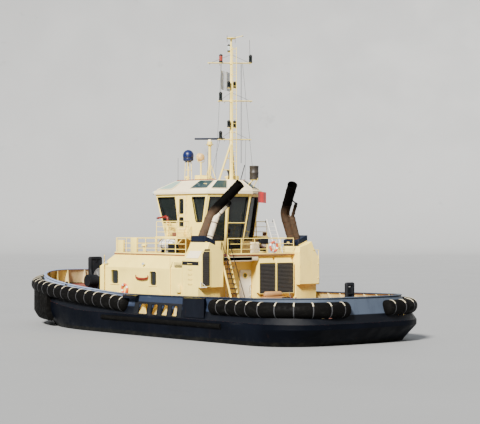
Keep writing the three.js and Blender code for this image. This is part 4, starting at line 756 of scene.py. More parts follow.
def hull_paint(name, tone):
    """Navy topsides over a black boot-top and red-brown bottom paint, with salt, scuffs and rust near the water."""
    p = Paint(name)
    navy = p.mix(p.ramp(p.noise(0.35, 4), 0.35, 0.7), tone, dimmed(tone, 1.7))
    z = p.math("ADD", p.axis("Z"), p.math("MULTIPLY", p.noise(1.4, 5), 0.12))
    scuff = p.noise(1.0, 7, p.place((0.5, 0.5, 3.0)), 0.7)
    navy = p.mix(p.math("MULTIPLY", p.ramp(scuff, 0.58, 0.72), 0.25), navy, (0.018, 0.020, 0.024))
    runs = p.math("MULTIPLY", p.ramp(p.noise(1.0, 6, p.place((3.5, 3.5, 0.25)), 0.6), 0.58, 0.75),
                  p.ramp(p.noise(0.6, 2), 0.48, 0.62))
    navy = p.mix(p.math("MULTIPLY", runs, 0.3), navy, (0.035, 0.015, 0.009))
    salt = p.math("MULTIPLY", p.ramp(z, 0.75, 0.2), p.ramp(p.noise(5.0, 8, rough=0.7), 0.5, 0.75))
    navy = p.mix(p.math("MULTIPLY", salt, 0.16), navy, (0.08, 0.085, 0.085))
    boot = p.mix(p.ramp(p.noise(3.0, 6), 0.4, 0.7), (0.003, 0.0035, 0.004), (0.010, 0.010, 0.009))
    mixed = p.mix(p.ramp(z, 0.33, 0.30), navy, boot)
    bottom = p.mix(p.ramp(p.noise(0.8, 6), 0.35, 0.7), (0.15, 0.030, 0.018), (0.085, 0.028, 0.02))
    slime = p.ramp(p.noise(6.0, 8, rough=0.7), 0.5, 0.8)
    bottom = p.mix(p.math("MULTIPLY", slime, 0.5), bottom, (0.04, 0.05, 0.02))
    p.set(p.shader, "Base Color", p.mix(p.ramp(z, -0.02, -0.05), mixed, bottom))
    p.set(p.shader, "Roughness", p.ramp(p.noise(1.3, 6), 0.3, 0.7, 0.34, 0.58))
    p.set(p.shader, "Specular IOR Level", 0.04)
    frames = p.math("MULTIPLY", p.noise(1.0, 1, p.place((1.6, 0.4, 0.5))), 0.8)
    seams = p.seams(3.2, 1.05, 0.01, (math.pi / 2, 0, 0))
    p.bump(p.math("ADD", frames, p.math("MULTIPLY", seams, 0.1)), 0.6, 0.03)


def bow_plating(name, tone):
    """Outer face of the bulwark: slate blue with painted highlight, paler and bluer above the bow fender and at the
    stern for sky light on the leaning plates, dark navy below the fenders, with chalky streaks."""
    p = Paint(name)
    # Painted highlight: towards the bow and above the bow fender's line the leaning plates turn pale slate blue, for
    # the sky light they catch
    sky_highlight = p.ramp(p.math("ADD", p.axis("X"), p.math("MULTIPLY", p.noise(0.8, 3), 1.2)), -0.5, 6.0)
    slope = (BOW_FENDER_Z[1] - BOW_FENDER_Z[0]) / (BOW_X - BOW_FENDER_AFT_X)
    line = p.math("MULTIPLY", p.math("ADD", p.axis("X"), -BOW_FENDER_AFT_X), slope)
    above = p.math("SUBTRACT", p.axis("Z"), line)
    sky_highlight = p.math("MULTIPLY", sky_highlight, p.ramp(above, BOW_FENDER_Z[0] - 0.05, BOW_FENDER_Z[0] + 0.1))
    # Painted highlight: paler blue at the stern than amidships, for sky light on the leaning plates
    mixed = p.mix(p.ramp(p.axis("X"), -10.5, -12.5), (0.015, 0.022, 0.042), (0.050, 0.065, 0.093))
    mixed = p.mix(sky_highlight, mixed, (0.22, 0.27, 0.39))
    streaks = p.ramp(p.noise(1.0, 7, p.place((2.2, 2.2, 0.4)), 0.65), 0.45, 0.75)
    mixed = p.mix(p.math("MULTIPLY", streaks, 0.25), mixed, dimmed(tone, 4.0))
    scuff = p.ramp(p.noise(1.0, 7, p.place((0.5, 0.5, 3.5)), 0.7), 0.6, 0.74)
    mixed = p.mix(p.math("MULTIPLY", scuff, 0.3), mixed, (0.19, 0.22, 0.27))
    rust = p.ramp(p.noise(7.0, 7, rough=0.7), 0.68, 0.78)
    mixed = p.mix(p.math("MULTIPLY", rust, 0.4), mixed, (0.12, 0.05, 0.025))
    # No painted highlight below the fenders and low down: there the plating keeps the dark hull navy
    low = p.math("MAXIMUM", p.ramp(p.axis("Z"), 1.82, 1.76),
                 p.math("MULTIPLY", p.ramp(p.axis("X"), 5.0, 6.0),
                        p.ramp(above, BOW_FENDER_Z[0], BOW_FENDER_Z[0] - 0.15)))
    p.set(p.shader, "Base Color", p.mix(low, mixed, dimmed(tone, 1.2)))
    p.set(p.shader, "Roughness", p.ramp(p.noise(2.0, 6), 0.3, 0.7, 0.4, 0.62))
    p.set(p.shader, "Specular IOR Level", 0.18)
    p.bump(p.noise(1.0, 2, p.place((0.9, 0.9, 0.6))), 0.5, 0.03)


def rubber(name, tone, worn, gloss=0.05):
    """Fender rubber: near black, scuffed grey along its crown, with fine cracks and a dusty bloom."""
    p = Paint(name)
    scuffs = p.ramp(p.noise(2.0, 8, p.place((0.8, 0.8, 2.0)), 0.7), 0.50, 0.78)
    mixed = p.mix(scuffs, tone, worn)
    mixed = p.mix(p.math("MULTIPLY", p.ramp(p.noise(11.0, 6), 0.6, 0.75), 0.2), mixed, (0.020, 0.016, 0.013))
    p.set(p.shader, "Base Color", mixed)
    p.set(p.shader, "Roughness", p.ramp(p.noise(4.0, 6), 0.3, 0.7, 0.55, 0.85))
    p.set(p.shader, "Specular IOR Level", gloss)
    cracks = p.add("ShaderNodeTexVoronoi", feature="DISTANCE_TO_EDGE")
    p.set(cracks, "Vector", p.coordinates.outputs["Object"])
    p.set(cracks, "Scale", 14.0)
    edges = p.math("MULTIPLY", p.ramp(cracks.outputs["Distance"], 0.0, 0.06), 0.2)
    p.bump(p.math("ADD", edges, p.noise(30.0, 4)), 0.35, 0.006)


def deck_paint(name, tone):
    """Red-brown deck paint with grit, worn tracks, rust and dried salt."""
    p = Paint(name)
    mixed = p.mix(p.ramp(p.noise(0.9, 6, rough=0.6), 0.42, 0.7), tone, dimmed(tone, 0.7))
    mixed = p.mix(p.math("MULTIPLY", p.ramp(p.noise(4.0, 8, rough=0.7), 0.55, 0.75), 0.5), mixed, (0.075, 0.03, 0.02))
    mixed = p.mix(p.math("MULTIPLY", p.ramp(p.noise(1.8, 5), 0.62, 0.78), 0.25), mixed, (0.30, 0.27, 0.24))
    p.set(p.shader, "Base Color", mixed)
    p.set(p.shader, "Roughness", 0.78)
    lines = p.math("MULTIPLY", p.seams(4.0, 1.5, 0.012, (0, 0, 0)), 0.35)
    height = p.math("ADD", p.math("MULTIPLY", p.noise(220.0, 2), 0.12), lines)
    p.bump(p.math("ADD", height, p.noise(0.9, 2)), 0.5, 0.012)


def duct_metal(name, brown, mouth_from, mouth_to):
    """Exhaust pipe: heat-browned paint that turns to soot between two heights, with flaking and runs."""
    p = Paint(name)
    mixed = p.mix(p.ramp(p.noise(2.2, 7, p.place((1, 1, 0.4)), 0.65), 0.35, 0.7), brown, dimmed(brown, 0.6))
    mixed = p.mix(p.math("MULTIPLY", p.ramp(p.noise(6.0, 7), 0.55, 0.72), 0.35), mixed, (0.15, 0.055, 0.022))
    height = p.math("ADD", p.axis("Z"), p.math("MULTIPLY", p.noise(1.8, 5), 0.6))
    p.set(p.shader, "Base Color", p.mix(p.ramp(height, mouth_from, mouth_to), mixed, SOOT))
    p.set(p.shader, "Roughness", p.ramp(p.noise(5.0, 6), 0.3, 0.7, 0.5, 0.8))
    p.set(p.shader, "Specular IOR Level", 0.03)
    p.bump(p.noise(16.0, 6), 0.3, 0.01)


def plain(name, tone, roughness, metallic=0.0, variation=0.25, bump=0.2, scale=6.0, coat=0.0):
    """Moulded or cast finish: slight mottling, speckled roughness and a fine grain."""
    p = Paint(name)
    mixed = p.mix(p.ramp(p.noise(scale, 6), 0.3, 0.7), tone, dimmed(tone, 1 - variation))
    specks = p.ramp(p.noise(scale * 3, 6, rough=0.7), 0.62, 0.74)
    p.set(p.shader, "Base Color", p.mix(p.math("MULTIPLY", specks, 0.25), mixed, dimmed(tone, 0.4)))
    p.set(p.shader, "Roughness", p.ramp(p.noise(scale * 1.7, 5), 0.3, 0.7, max(roughness - 0.1, 0.03),
                                        roughness + 0.08))
    p.set(p.shader, "Metallic", metallic)
    p.set(p.shader, "Coat Weight", coat)
    p.bump(p.noise(scale * 12, 4), bump, 0.004)


def rope_fibre(name, tone):
    """Laid rope: slanting strands, a fine fuzz and darker, dirty stretches."""
    p = Paint(name)
    strands = p.add("ShaderNodeTexWave", bands_direction="DIAGONAL")
    p.set(strands, "Vector", p.coordinates.outputs["Object"])
    p.set(strands, "Scale", 9.0)
    p.set(strands, "Distortion", 0.6)
    mixed = p.mix(p.ramp(p.noise(2.5, 6), 0.35, 0.7), tone, dimmed(tone, 0.55))
    p.set(p.shader, "Base Color", p.mix(p.math("MULTIPLY", strands.outputs["Fac"], 0.35), mixed, dimmed(tone, 0.35)))
    p.set(p.shader, "Roughness", 0.9)
    p.bump(p.math("ADD", strands.outputs["Fac"], p.math("MULTIPLY", p.noise(90.0, 3), 0.3)), 0.6, 0.01)


def glass(name, tone, transmission, roughness=0.04):
    """Tinted pane with a faint film of salt and slight waviness."""
    p = Paint(name)
    film = p.ramp(p.noise(3.0, 6, p.place((1, 1, 0.4))), 0.45, 0.8)
    p.set(p.shader, "Base Color", p.mix(p.math("MULTIPLY", film, 0.05), tone, (0.20, 0.22, 0.22)))
    p.set(p.shader, "Roughness", p.ramp(film, 0.0, 1.0, roughness, roughness + 0.14))
    p.set(p.shader, "Transmission Weight", transmission)
    p.set(p.shader, "IOR", 1.5)
    p.bump(p.noise(0.9, 1), 0.06, 0.05)


def leather(name, tone):
    """Seat leather: pebbled grain from small cells, creases and worn, shinier patches."""
    p = Paint(name)
    worn = p.ramp(p.noise(3.0, 6), 0.45, 0.75)
    p.set(p.shader, "Base Color", p.mix(worn, tone, dimmed(tone, 1.8)))
    p.set(p.shader, "Roughness", p.ramp(worn, 0.0, 1.0, 0.55, 0.38))
    cells = p.add("ShaderNodeTexVoronoi", feature="DISTANCE_TO_EDGE")
    p.set(cells, "Vector", p.coordinates.outputs["Object"])
    p.set(cells, "Scale", 160.0)
    p.bump(p.math("ADD", p.ramp(cells.outputs["Distance"], 0.0, 0.2), p.noise(14.0, 5)), 0.45, 0.0015)


def cloth(name, tone, second):
    """Woven flag cloth: crossed threads on the piece's own UV map, soft sheen and faded patches."""
    p = Paint(name)
    p.set(p.shader, "Base Color", p.mix(p.ramp(p.noise(2.5, 5), 0.35, 0.7), tone, second))
    p.set(p.shader, "Roughness", 0.85)
    p.set(p.shader, "Sheen Weight", 0.3)
    weave = []
    for turn in (0.0, math.pi / 2):
        wave = p.add("ShaderNodeTexWave")
        p.set(wave, "Vector", p.place(turn=(0, 0, turn), uv=True))
        p.set(wave, "Scale", 120.0)
        weave.append(wave.outputs["Fac"])
    p.bump(p.math("ADD", weave[0], weave[1]), 0.25, 0.002)


def sizes():
    """The fittings' sizes set in the panel."""
    return bpy.context.scene.tugboat_sizes


class TUGBOAT_OT_finishes(bpy.types.Operator):
    """Make every finish of the boat"""
    bl_idname = "tugboat.finishes"
    bl_label = "Finishes"

    def execute(self, context):
        chosen = context.scene.tugboat_colours
        cream = tuple(chosen.cream)
        steel_paint("cream", cream, dimmed(cream, 0.93), rust=0.28, grime=0.16)
        steel_paint("pale cream", (0.88, 0.76, 0.50), (0.84, 0.71, 0.45), rust=0.2, grime=0.14)
        steel_paint("inside cream", dimmed(cream, 0.82), (0.58, 0.46, 0.25), rust=0.45, grime=0.5, roughness=0.55)
        steel_paint("white", (0.82, 0.80, 0.75), (0.76, 0.74, 0.68), rust=0.2, grime=0.15)
        steel_paint("funnel blue", tuple(chosen.funnel), dimmed(chosen.funnel, 1.3), rust=0.2, grime=0.25, gloss=0.2)
        steel_paint("gear black", (0.006, 0.007, 0.009), (0.012, 0.012, 0.014), rust=0.3, grime=0.3, roughness=0.55,
                    gloss=0.12)
        steel_paint("rail navy", dimmed(chosen.hull, 1.3), dimmed(chosen.hull, 2.2), rust=0.2, gloss=0.12)
        steel_paint("signal red", tuple(chosen.signal), dimmed(chosen.signal, 0.8), rust=0.2)
        steel_paint("rust brown", (0.16, 0.055, 0.025), (0.10, 0.04, 0.02), rust=0.6, grime=0.3, roughness=0.7)
        steel_paint("gear tan", (0.36, 0.19, 0.07), (0.26, 0.12, 0.045), rust=0.5, grime=0.35, roughness=0.6)
        steel_paint("panel cream", (0.93, 0.73, 0.22), (0.90, 0.69, 0.19), rust=0.3, grime=0.25)
        hull_paint("hull paint", tuple(chosen.hull))
        bow_plating("bow plating", tuple(chosen.hull))
        rubber("fender rubber", tuple(chosen.rubber), (0.008, 0.008, 0.0075))
        rubber("gasket", (0.012, 0.012, 0.012), (0.025, 0.025, 0.025))
        deck_paint("deck red", tuple(chosen.deck))
        duct_metal("duct brown", (0.078, 0.052, 0.034), 7.7, 8.5)
        duct_metal("pipe cream", (0.70, 0.61, 0.45), 7.9, 8.5)
        plain("strap cream", (0.60, 0.53, 0.38), 0.6, variation=0.3)
        plain("lashing grey", (0.035, 0.036, 0.040), 0.8, variation=0.3)
        plain("lamp black", (0.006, 0.006, 0.007), 0.6)
        plain("lamp red", (0.30, 0.045, 0.030), 0.3, coat=0.4)
        plain("lens clear", (0.50, 0.55, 0.55), 0.12, coat=0.6)
        plain("louvre grey", (0.030, 0.026, 0.023), 0.75, variation=0.4, scale=12)
        plain("raft white", (0.80, 0.80, 0.77), 0.3, variation=0.06, coat=0.3)
        plain("dome blue", tuple(chosen.dome), 0.35, variation=0.15, coat=0.15)
        plain("drum brown", (0.030, 0.024, 0.018), 0.5)
        plain("searchlight amber", (0.72, 0.45, 0.16), 0.45, variation=0.2)
        plain("steel grey", (0.26, 0.26, 0.255), 0.45, metallic=0.6, variation=0.35)
        plain("bronze", (0.62, 0.40, 0.14), 0.3, metallic=1.0, variation=0.3)
        plain("antifouling", (0.15, 0.032, 0.02), 0.6, variation=0.4, scale=2.5)
        plain("buoy orange", (0.64, 0.10, 0.030), 0.45, variation=0.15)
        plain("console grey", (0.055, 0.057, 0.062), 0.5)
        plain("screen", (0.01, 0.018, 0.022), 0.1, coat=0.8)
        plain("cabin dark", (0.030, 0.028, 0.026), 0.8)
        rope_fibre("rope", (0.30, 0.27, 0.20))
        leather("seat leather", (0.022, 0.022, 0.024))
        glass("tinted glass", (0.016, 0.022, 0.020), 0.5)
        glass("port glass", (0.004, 0.006, 0.006), 0.0, 0.12)
        glass("skylight green", (0.30, 0.42, 0.34), 0.0, 0.10)
        glass("skylight dark", (0.020, 0.040, 0.040), 0.0, 0.06)
        cloth("flag pale", (0.60, 0.63, 0.66), (0.48, 0.50, 0.54))
        cloth("flag red", tuple(chosen.flag), dimmed(chosen.flag, 0.75))
        return {"FINISHED"}


class TUGBOAT_OT_stage(bpy.types.Operator):
    """Make the floor at the waterline, its backdrop, the light and the camera"""
    bl_idname = "tugboat.stage"
    bl_label = "Stage"

    def execute(self, context):
        chosen = context.scene.tugboat_stage
        plain("stage pale", tuple(chosen.floor), 0.75, variation=0.03, bump=0.02, scale=0.05)
        # Disc that curves up: radius and height are quarter sine and cosine arcs beyond the flat share
        share = np.linspace(0, 1, 60)
        arc = np.clip((share - 0.6) / 0.4, 0, 1) * math.pi / 2
        radius = np.where(share < 0.6, 260.0 * share / 0.6, 260.0 + 60.0 * np.sin(arc))
        radius[0] = 0.01
        a = round_angles(96)
        rows = np.stack([radius[:, None] * np.cos(a), radius[:, None] * np.sin(a),
                         np.repeat(120.0 * (1 - np.cos(arc))[:, None], 96, 1)], axis=-1)
        points, faces = skin(rows, caps=False)
        floor = place_mesh("stage_floor", points, faces[0][:, ::-1].tolist(), [0] * len(faces[0]),
                           [bpy.data.materials["stage pale"]], 60)

        world = bpy.data.worlds.new("soft sky")
        world.use_nodes = True
        sky = world.node_tree.nodes["Background"]
        sky.inputs[0].default_value = (0.88, 0.93, 1.0, 1.0)
        sky.inputs[1].default_value = chosen.sky
        context.scene.world = world

        lamp = bpy.data.lights.new("soft sun", "SUN")
        lamp.energy = chosen.sun
        lamp.angle = chosen.sun_size
        lamp.color = (1.0, 0.965, 0.9)
        sun = bpy.data.objects.new("soft sun", lamp)
        sun.rotation_euler = Vector((0.42, -0.74, -0.62)).to_track_quat("-Z", "Y").to_euler()
        context.scene.collection.objects.link(sun)

        data = bpy.data.cameras.new("camera")
        data.sensor_width = 36.0
        data.lens = chosen.lens
        data.clip_end = 2000.0
        camera = bpy.data.objects.new("camera", data)
        heading, pitch = math.radians(51.242), math.radians(0.532)
        look = Vector((math.sin(heading) * math.cos(pitch), -math.cos(heading) * math.cos(pitch), math.sin(pitch)))
        camera.location = (-78.776, 59.948, 6.853)
        camera.rotation_euler = look.to_track_quat("-Z", "Y").to_euler()
        context.scene.collection.objects.link(camera)
        context.scene.camera = camera
        return {"FINISHED"}


# Hull, bulwark and fenders

FREEING_PORTS = ((-2.2, -1.25), (-3.25, -2.6), (-4.3, -3.65), (-5.3, -4.7))
BOW_FENDER_AFT_X = 0.0
BOW_FENDER_Z = (1.87, 2.93)
BOW_FENDER_RADIUS = 0.48
SIDE_FENDER_RADIUS = 0.45
SIDE_FENDER_Z = 2.1


class TUGBOAT_OT_hull(bpy.types.Operator):
    """Hull skin through the waterlines, with its deck, skeg and thruster seats"""
    bl_idname = "tugboat.hull"
    bl_label = "Hull"

    def execute(self, context):
        levels = np.array(HULL_LEVELS)
        rings = [np.column_stack([flat, np.full(len(flat), row[0])])
                 for row, flat in ((row, half_outline(*row[1:])) for row in levels)]
        rings.append(np.column_stack([DECK_OUTLINE, deck_height(DECK_OUTLINE[:, 0])]))
        rings = np.array(rings)
        # Between levels: straight lines, and above the stern's step a blend of those with a Hermite cubic
        fine = []
        for low, steps in enumerate((5, 6, 3, 6, 6, 8, 6)):
            t = np.linspace(0, 1, steps, endpoint=False)[:, None, None]
            straight = rings[low] * (1 - t) + rings[low + 1] * t
            if low in (4, 5):
                m0 = (rings[low + 1] - rings[low - 1]) / 2
                m1 = (rings[low + 2] - rings[low]) / 2
                curved = ((2 * t ** 3 - 3 * t ** 2 + 1) * rings[low] + (t ** 3 - 2 * t ** 2 + t) * m0
                          + (3 * t ** 2 - 2 * t ** 3) * rings[low + 1] + (t ** 3 - t ** 2) * m1)
                straight = curved * 0.55 + straight * 0.45
            fine.append(straight)
        port = np.concatenate([*fine, rings[-1:]])
        ring = np.concatenate([port, port[:, -2:0:-1] * ACROSS], axis=1)
        rows, cols = ring.shape[:2]
        count = port.shape[1]
        inner = np.arange(1, count - 2)
        strips = np.stack([inner, inner + 1, cols - inner - 1, cols - inner], axis=1)
        ends = np.array([[0, 1, cols - 1], [count - 2, count - 1, count]])
        top = (rows - 1) * cols
        points, faces = outward((ring.reshape(-1, 3), [grid_faces(rows, cols, close_cols=True), strips[:, ::-1],
                                                       ends[:, ::-1], strips + top, ends + top]))
        skeg = extruded([(6.5, -3.9), (1.5, -4.7), (-7.4, -5.3), (-8.3, -5.3), (-8.3, -2.0), (6.5, -2.0)],
                        along_y, -0.19, 0.19)
        seat = turned([(0, -2.45), (0.88, -2.45), (0.9, -2.43), (0.9, -1.8), (0, -1.8)], (-11.6, 2.6, 0), sides=48)
        anodes = slabs([(-9.5, 1.5, -2.29), (-10.4, 3.9, -2.29), (-12.9, 1.5, -2.28)],
                       [(-9.1, 1.65, -2.22), (-10.0, 4.05, -2.22), (-12.5, 1.65, -2.2)], 0.03)
        piece("hull_shell", [((points, faces[:3]), "hull paint"), ((points, faces[3:]), "deck red"),
                             (joined(skeg, both(seat)), "hull paint"), (both(anodes), "steel grey")],
              replaces=("hull", "hull_bottom"), sharp=35)
        return {"FINISHED"}


def lean_plate(x_foot, x_top, z_foot, thickness=0.03):
    """Upright wedge plate outside the leaning bulwark, between the deck edge's upright plane and the rail: a quad in
    the upright plane closed to the leaning plate along its fore and aft edges."""
    xs = np.array([x_foot[0], x_foot[1], x_top[1], x_top[0]])
    s = np.array([distance_at_x(x) for x in xs])
    foot, _ = side_at(s, -1.0)
    rail, _ = side_at(s, 9.0)
    top = rail_height(rail[:, 0]) - RAIL_CAP
    lean = np.column_stack([rail[:, 0], rail[:, 1] + 0.02, top])
    low = np.column_stack([foot[:, 0], foot[:, 1] - 0.005, np.full(4, z_foot)])
    edge = low[[0, 1]]
    mid = np.column_stack([foot[[1, 0], 0], foot[[1, 0], 1] - 0.03, top[[1, 0]] - 0.03])
    outer = np.concatenate([edge, mid])
    crown = lean[[3, 2]]
    faces = [outer, np.stack([mid[1], mid[0], crown[1], crown[0]])]
    return joined(*(plate(f, thickness) for f in faces))


class TUGBOAT_OT_bulwark(bpy.types.Operator):
    """Bulwark that leans in to its rail, with freeing ports, stay plates, wedge plates, fairleads and bitts"""
    bl_idname = "tugboat.bulwark"
    bl_label = "Bulwark"

    def execute(self, context):
        top = rail_height(RAIL_OUTLINE[:, 0])
        base = deck_height(DECK_OUTLINE[:, 0])
        at = lambda outline, out, z: np.column_stack([outline + DECK_NORMALS * out, z])
        wall = np.stack([at(DECK_OUTLINE, -0.005, base - 0.005), at(RAIL_OUTLINE, 0.0, top - RAIL_CAP),
                         at(RAIL_OUTLINE, -0.05, top - RAIL_CAP), at(DECK_OUTLINE, -0.055, base - 0.005)], axis=1)
        loop = lambda rows: outward(skin(np.concatenate([rows, rows[-2:0:-1] * ACROSS]), close_rows=True))
        obj = piece("bulwark_plate", [(loop(wall), "bow plating")], replaces=("bulwark",), sharp=35)
        holes = [extruded(rounded_rectangle(x0, 1.39, x1, 1.99, 0.07), along_y, side * 4.8, side * 6.5)
                 for x0, x1 in FREEING_PORTS for _, side in SIDES]
        holes += [extruded(rounded_rectangle(-3.4, 1.62, -2.5, 1.98, 0.15), along_x, -17.0, -15.0),
                  extruded(rounded_rectangle(2.5, 1.62, 3.4, 1.98, 0.15), along_x, -17.0, -15.0)]
        cut(obj, joined(*holes))

        def side_of_plate(centres, normals):
            """0 on the outer face, 1 inside: from the way to the boat's middle line."""
            middle = np.column_stack([np.clip(centres[:, 0], -11.5, 9.0), np.zeros(len(centres))])
            return np.where(np.einsum("ij,ij->i", normals[:, :2], centres[:, :2] - middle) < 0, 1, 0)
        paint_faces(obj, ("bow plating", "inside cream"), side_of_plate)

        section = rounded_rectangle(-0.14, -RAIL_CAP, RAIL_CAP, 0.0, 0.032, 5)
        cap = loop(np.stack([at(RAIL_OUTLINE, u, top + v) for u, v in section], axis=1))
        piece("bulwark_rail", [(cap, "bow plating")], sharp=50)
        self.stays()
        self.dark_plates()
        self.mooring()
        return {"FINISHED"}

    def stays(self):
        """Triangular stay plates from the deck to just below the rail, with a flange along their slanted edge."""
        spots = np.arange(1.0, SIDE_LENGTH - 0.6, sizes().frame_pitch)
        foot, normal = side_at(spots, -1.0)
        rail, _ = side_at(spots, 9.0)
        base = deck_height(foot[:, 0]) + 0.004
        top = rail_height(rail[:, 0]) - RAIL_CAP - 0.01
        tangent = np.column_stack([normal[:, 1], -normal[:, 0], np.zeros(len(spots))])
        at = lambda flat, out, z: np.column_stack([flat + normal * out, z])
        ring = np.stack([at(foot, -0.06, base), at(foot, -0.62, base), at(rail, -0.13, top), at(rail, -0.055, top)], 1)
        flange = ring[:, 1:3]
        shapes = [outward(skin(np.stack([r - t * 0.006, r + t * 0.006]))) for r, t in zip(ring, tangent)]
        shapes += [plate([f[0] - t * 0.05, f[0] + t * 0.05, f[1] + t * 0.05, f[1] - t * 0.05], 0.012)
                   for f, t in zip(flange, tangent)]
        piece("bulwark_stays", [(both(*shapes), "inside cream")])

    def dark_plates(self):
        """Black plates round the freeing ports and upright wedges at both ends of the leaning part."""
        rims = []
        for x0, x1 in FREEING_PORTS:
            hole = rounded_rectangle(x0, 1.39, x1, 1.99, 0.07)
            outer = (hole - hole.mean(axis=0)) * (1 + 0.12 / np.ptp(hole, axis=0)) + hole.mean(axis=0)
            rows = []
            for outline, out in ((hole, -0.03), (hole, 0.035), (outer, 0.035), (outer, -0.03)):
                s = np.interp(outline[:, 0], DECK_OUTLINE[OUTLINE_STEPS[0]:, 0], DECK_LENGTHS[OUTLINE_STEPS[0]:])
                point, normal = side_at(s, outline[:, 1])
                rows.append(np.column_stack([point + normal * out, outline[:, 1]]))
            rims.append(outward(skin(np.stack(rows, axis=1), close_rows=True)))
        # Black plate behind the rims, one quad grid between the ports and the ends, cut at the ports' outlines
        edges = [-5.75, *sorted(x for pair in FREEING_PORTS for x in pair), -0.75]
        strips = [(a, b, 1.34, 2.06) for a, b in zip(edges[::2], edges[1::2])]
        strips += [(-5.75, -0.75, 2.0, 2.12), (-5.75, -0.75, 1.31, 1.385)]
        for x0, x1, z0, z1 in strips:
            u, v = np.meshgrid(np.linspace(x0, x1, 12), np.linspace(z0, z1, 3), indexing="ij")
            s = np.interp(u.ravel(), DECK_OUTLINE[OUTLINE_STEPS[0]:, 0], DECK_LENGTHS[OUTLINE_STEPS[0]:])
            point, normal = side_at(s, v.ravel())
            sheet = [np.column_stack([point + normal * out, v.ravel()]).reshape(12, 3, 3) for out in (-0.002, 0.012)]
            section = np.concatenate([sheet[0], sheet[1][:, ::-1]], axis=1)
            rims.append(outward(skin(section)))
        wedges = [lean_plate((0.4, -1.05), (0.05, -1.05), 2.3), lean_plate((-5.9, -7.99), (-6.25, -7.99), 1.4)]
        piece("bulwark_dark_plates", [(both(*rims), "gear black"), (both(*wedges), "rail navy")])

    def mooring(self):
        """Fairlead rings in the plating, twin bitts on the deck and eyes near the bow."""
        rings = []
        for s, z in ((distance_at_x(7.92), 2.95), (distance_at_x(12.6), 3.05), (SIDE_LENGTH - 1.9, 3.1)):
            point, normal = side_at(s, z)
            centre = np.array([*point[0], z])
            rings.append(torus(centre + np.array([*normal[0], 0]) * 0.01, (*normal[0], 0.25), 0.13, 0.045, 28, 10))
        rings.append(torus((TRANSOM_X + 0.33, 2.95, 1.8), (1, 0, 0), 0.19, 0.05, 32, 10))
        posts = []
        for x, y in ((7.2, 3.9), (1.2, 5.2), (-6.9, 5.15), (-13.6, 3.1)):
            z = float(deck_height(x))
            for dx in (-0.26, 0.26):
                posts.append(turned([(0, 0), (0.13, 0), (0.13, 0.02), (0.10, 0.03), (0.10, 0.46), (0.135, 0.5),
                                     (0.135, 0.53), (0.10, 0.56), (0, 0.56)], (x + dx, y, z + 0.02), sides=24))
            posts.append(slabs([(x - 0.5, y - 0.17, z)], [(x + 0.5, y + 0.17, z + 0.035)], 0.012))
        piece("mooring_bitts", [(both(*rings), "gear black"), (both(*posts), "gear black")])


def bow_fender_line(distance):
    """Centre line of the round bow fender and its outward normal, for distances along the port side."""
    x = np.interp(distance, DECK_LENGTHS, DECK_OUTLINE[:, 0])
    z = BOW_FENDER_Z[0] + (BOW_FENDER_Z[1] - BOW_FENDER_Z[0]) * (x - BOW_FENDER_AFT_X) / (BOW_X - BOW_FENDER_AFT_X)
    out = 0.22 * np.minimum(1, (distance - distance_at_x(BOW_FENDER_AFT_X)) / 6.0 + 0.15)
    point, normal = side_at(distance, z)
    return np.column_stack([point + normal * out[:, None], z]), normal


def side_fender_line(distance):
    """Centre line of a round side fender and its outward normal."""
    point, normal = side_at(distance, np.full(len(distance), SIDE_FENDER_Z))
    return np.column_stack([point + normal * 0.12, np.full(len(distance), SIDE_FENDER_Z)]), normal


def fender_rings(line, normal, distance, radius, first, pitch, ends):
    """Sections of a round rubber fender: circles drawn in by a bell curve at each strap and rounded off at its ends."""
    nip = np.abs(((distance - first) / pitch + 0.5) % 1.0 - 0.5) * pitch
    r = radius * (1 - 0.045 * np.exp(-(nip / 0.10) ** 2))
    near = distance - distance[0] if ends == 1 else np.minimum(distance - distance[0], distance[-1] - distance)
    inset = np.clip(near / (radius * 0.55), 0, 1)
    r = r * np.sqrt(np.clip(1 - (1 - inset) ** 2, 0.05, 1))
    a = round_angles(36)[None, :, None]
    out = np.column_stack([normal, np.zeros(len(normal))])[:, None]
    rows = line[:, None] + r[:, None, None] * (np.cos(a) * out + np.sin(a) * np.array([0.0, 0.0, 1.0]))
    return held_out(rows, distance, 0.02)


def held_out(rows, distance, depth):
    """Rows of points, one row for each distance: those above the deck and deeper in the plating than a depth are
    moved out to it."""
    distance = np.repeat(distance, rows.shape[1])
    point, normal = side_at(distance, rows[:, :, 2].ravel())
    depths = np.einsum("ij,ij->i", point - rows[:, :, :2].reshape(-1, 2), normal)
    above = rows[:, :, 2].ravel() > deck_height(point[:, 0])
    push = normal * (np.maximum(depths - depth, 0) * above)[:, None]
    return rows + np.column_stack([push, np.zeros(len(push))]).reshape(rows.shape)


def straps(line_of, spots, radius, width, low, high, thick):
    """Flat bands across a fender between two angles, in degrees from straight out, just clear of its nipped rubber."""
    a = np.radians(np.linspace(low, high, 22))
    shapes = []
    for spot in spots:
        pair = np.array([spot - width / 2, spot + width / 2])
        line, normal = line_of(pair)
        out = np.column_stack([normal, np.zeros(2)])[:, None]
        around = np.cos(a)[None, :, None] * out + np.sin(a)[None, :, None] * np.array([0.0, 0.0, 1.0])
        inner, outer = (held_out(line[:, None] + r * around, pair, depth)
                        for r, depth in ((radius * 0.95, 0.03), (radius * 0.965 + thick, 0.008)))
        shapes.append(outward(skin(np.stack([inner[0], outer[0], outer[1], inner[1]], axis=1))))
    return both(*shapes)


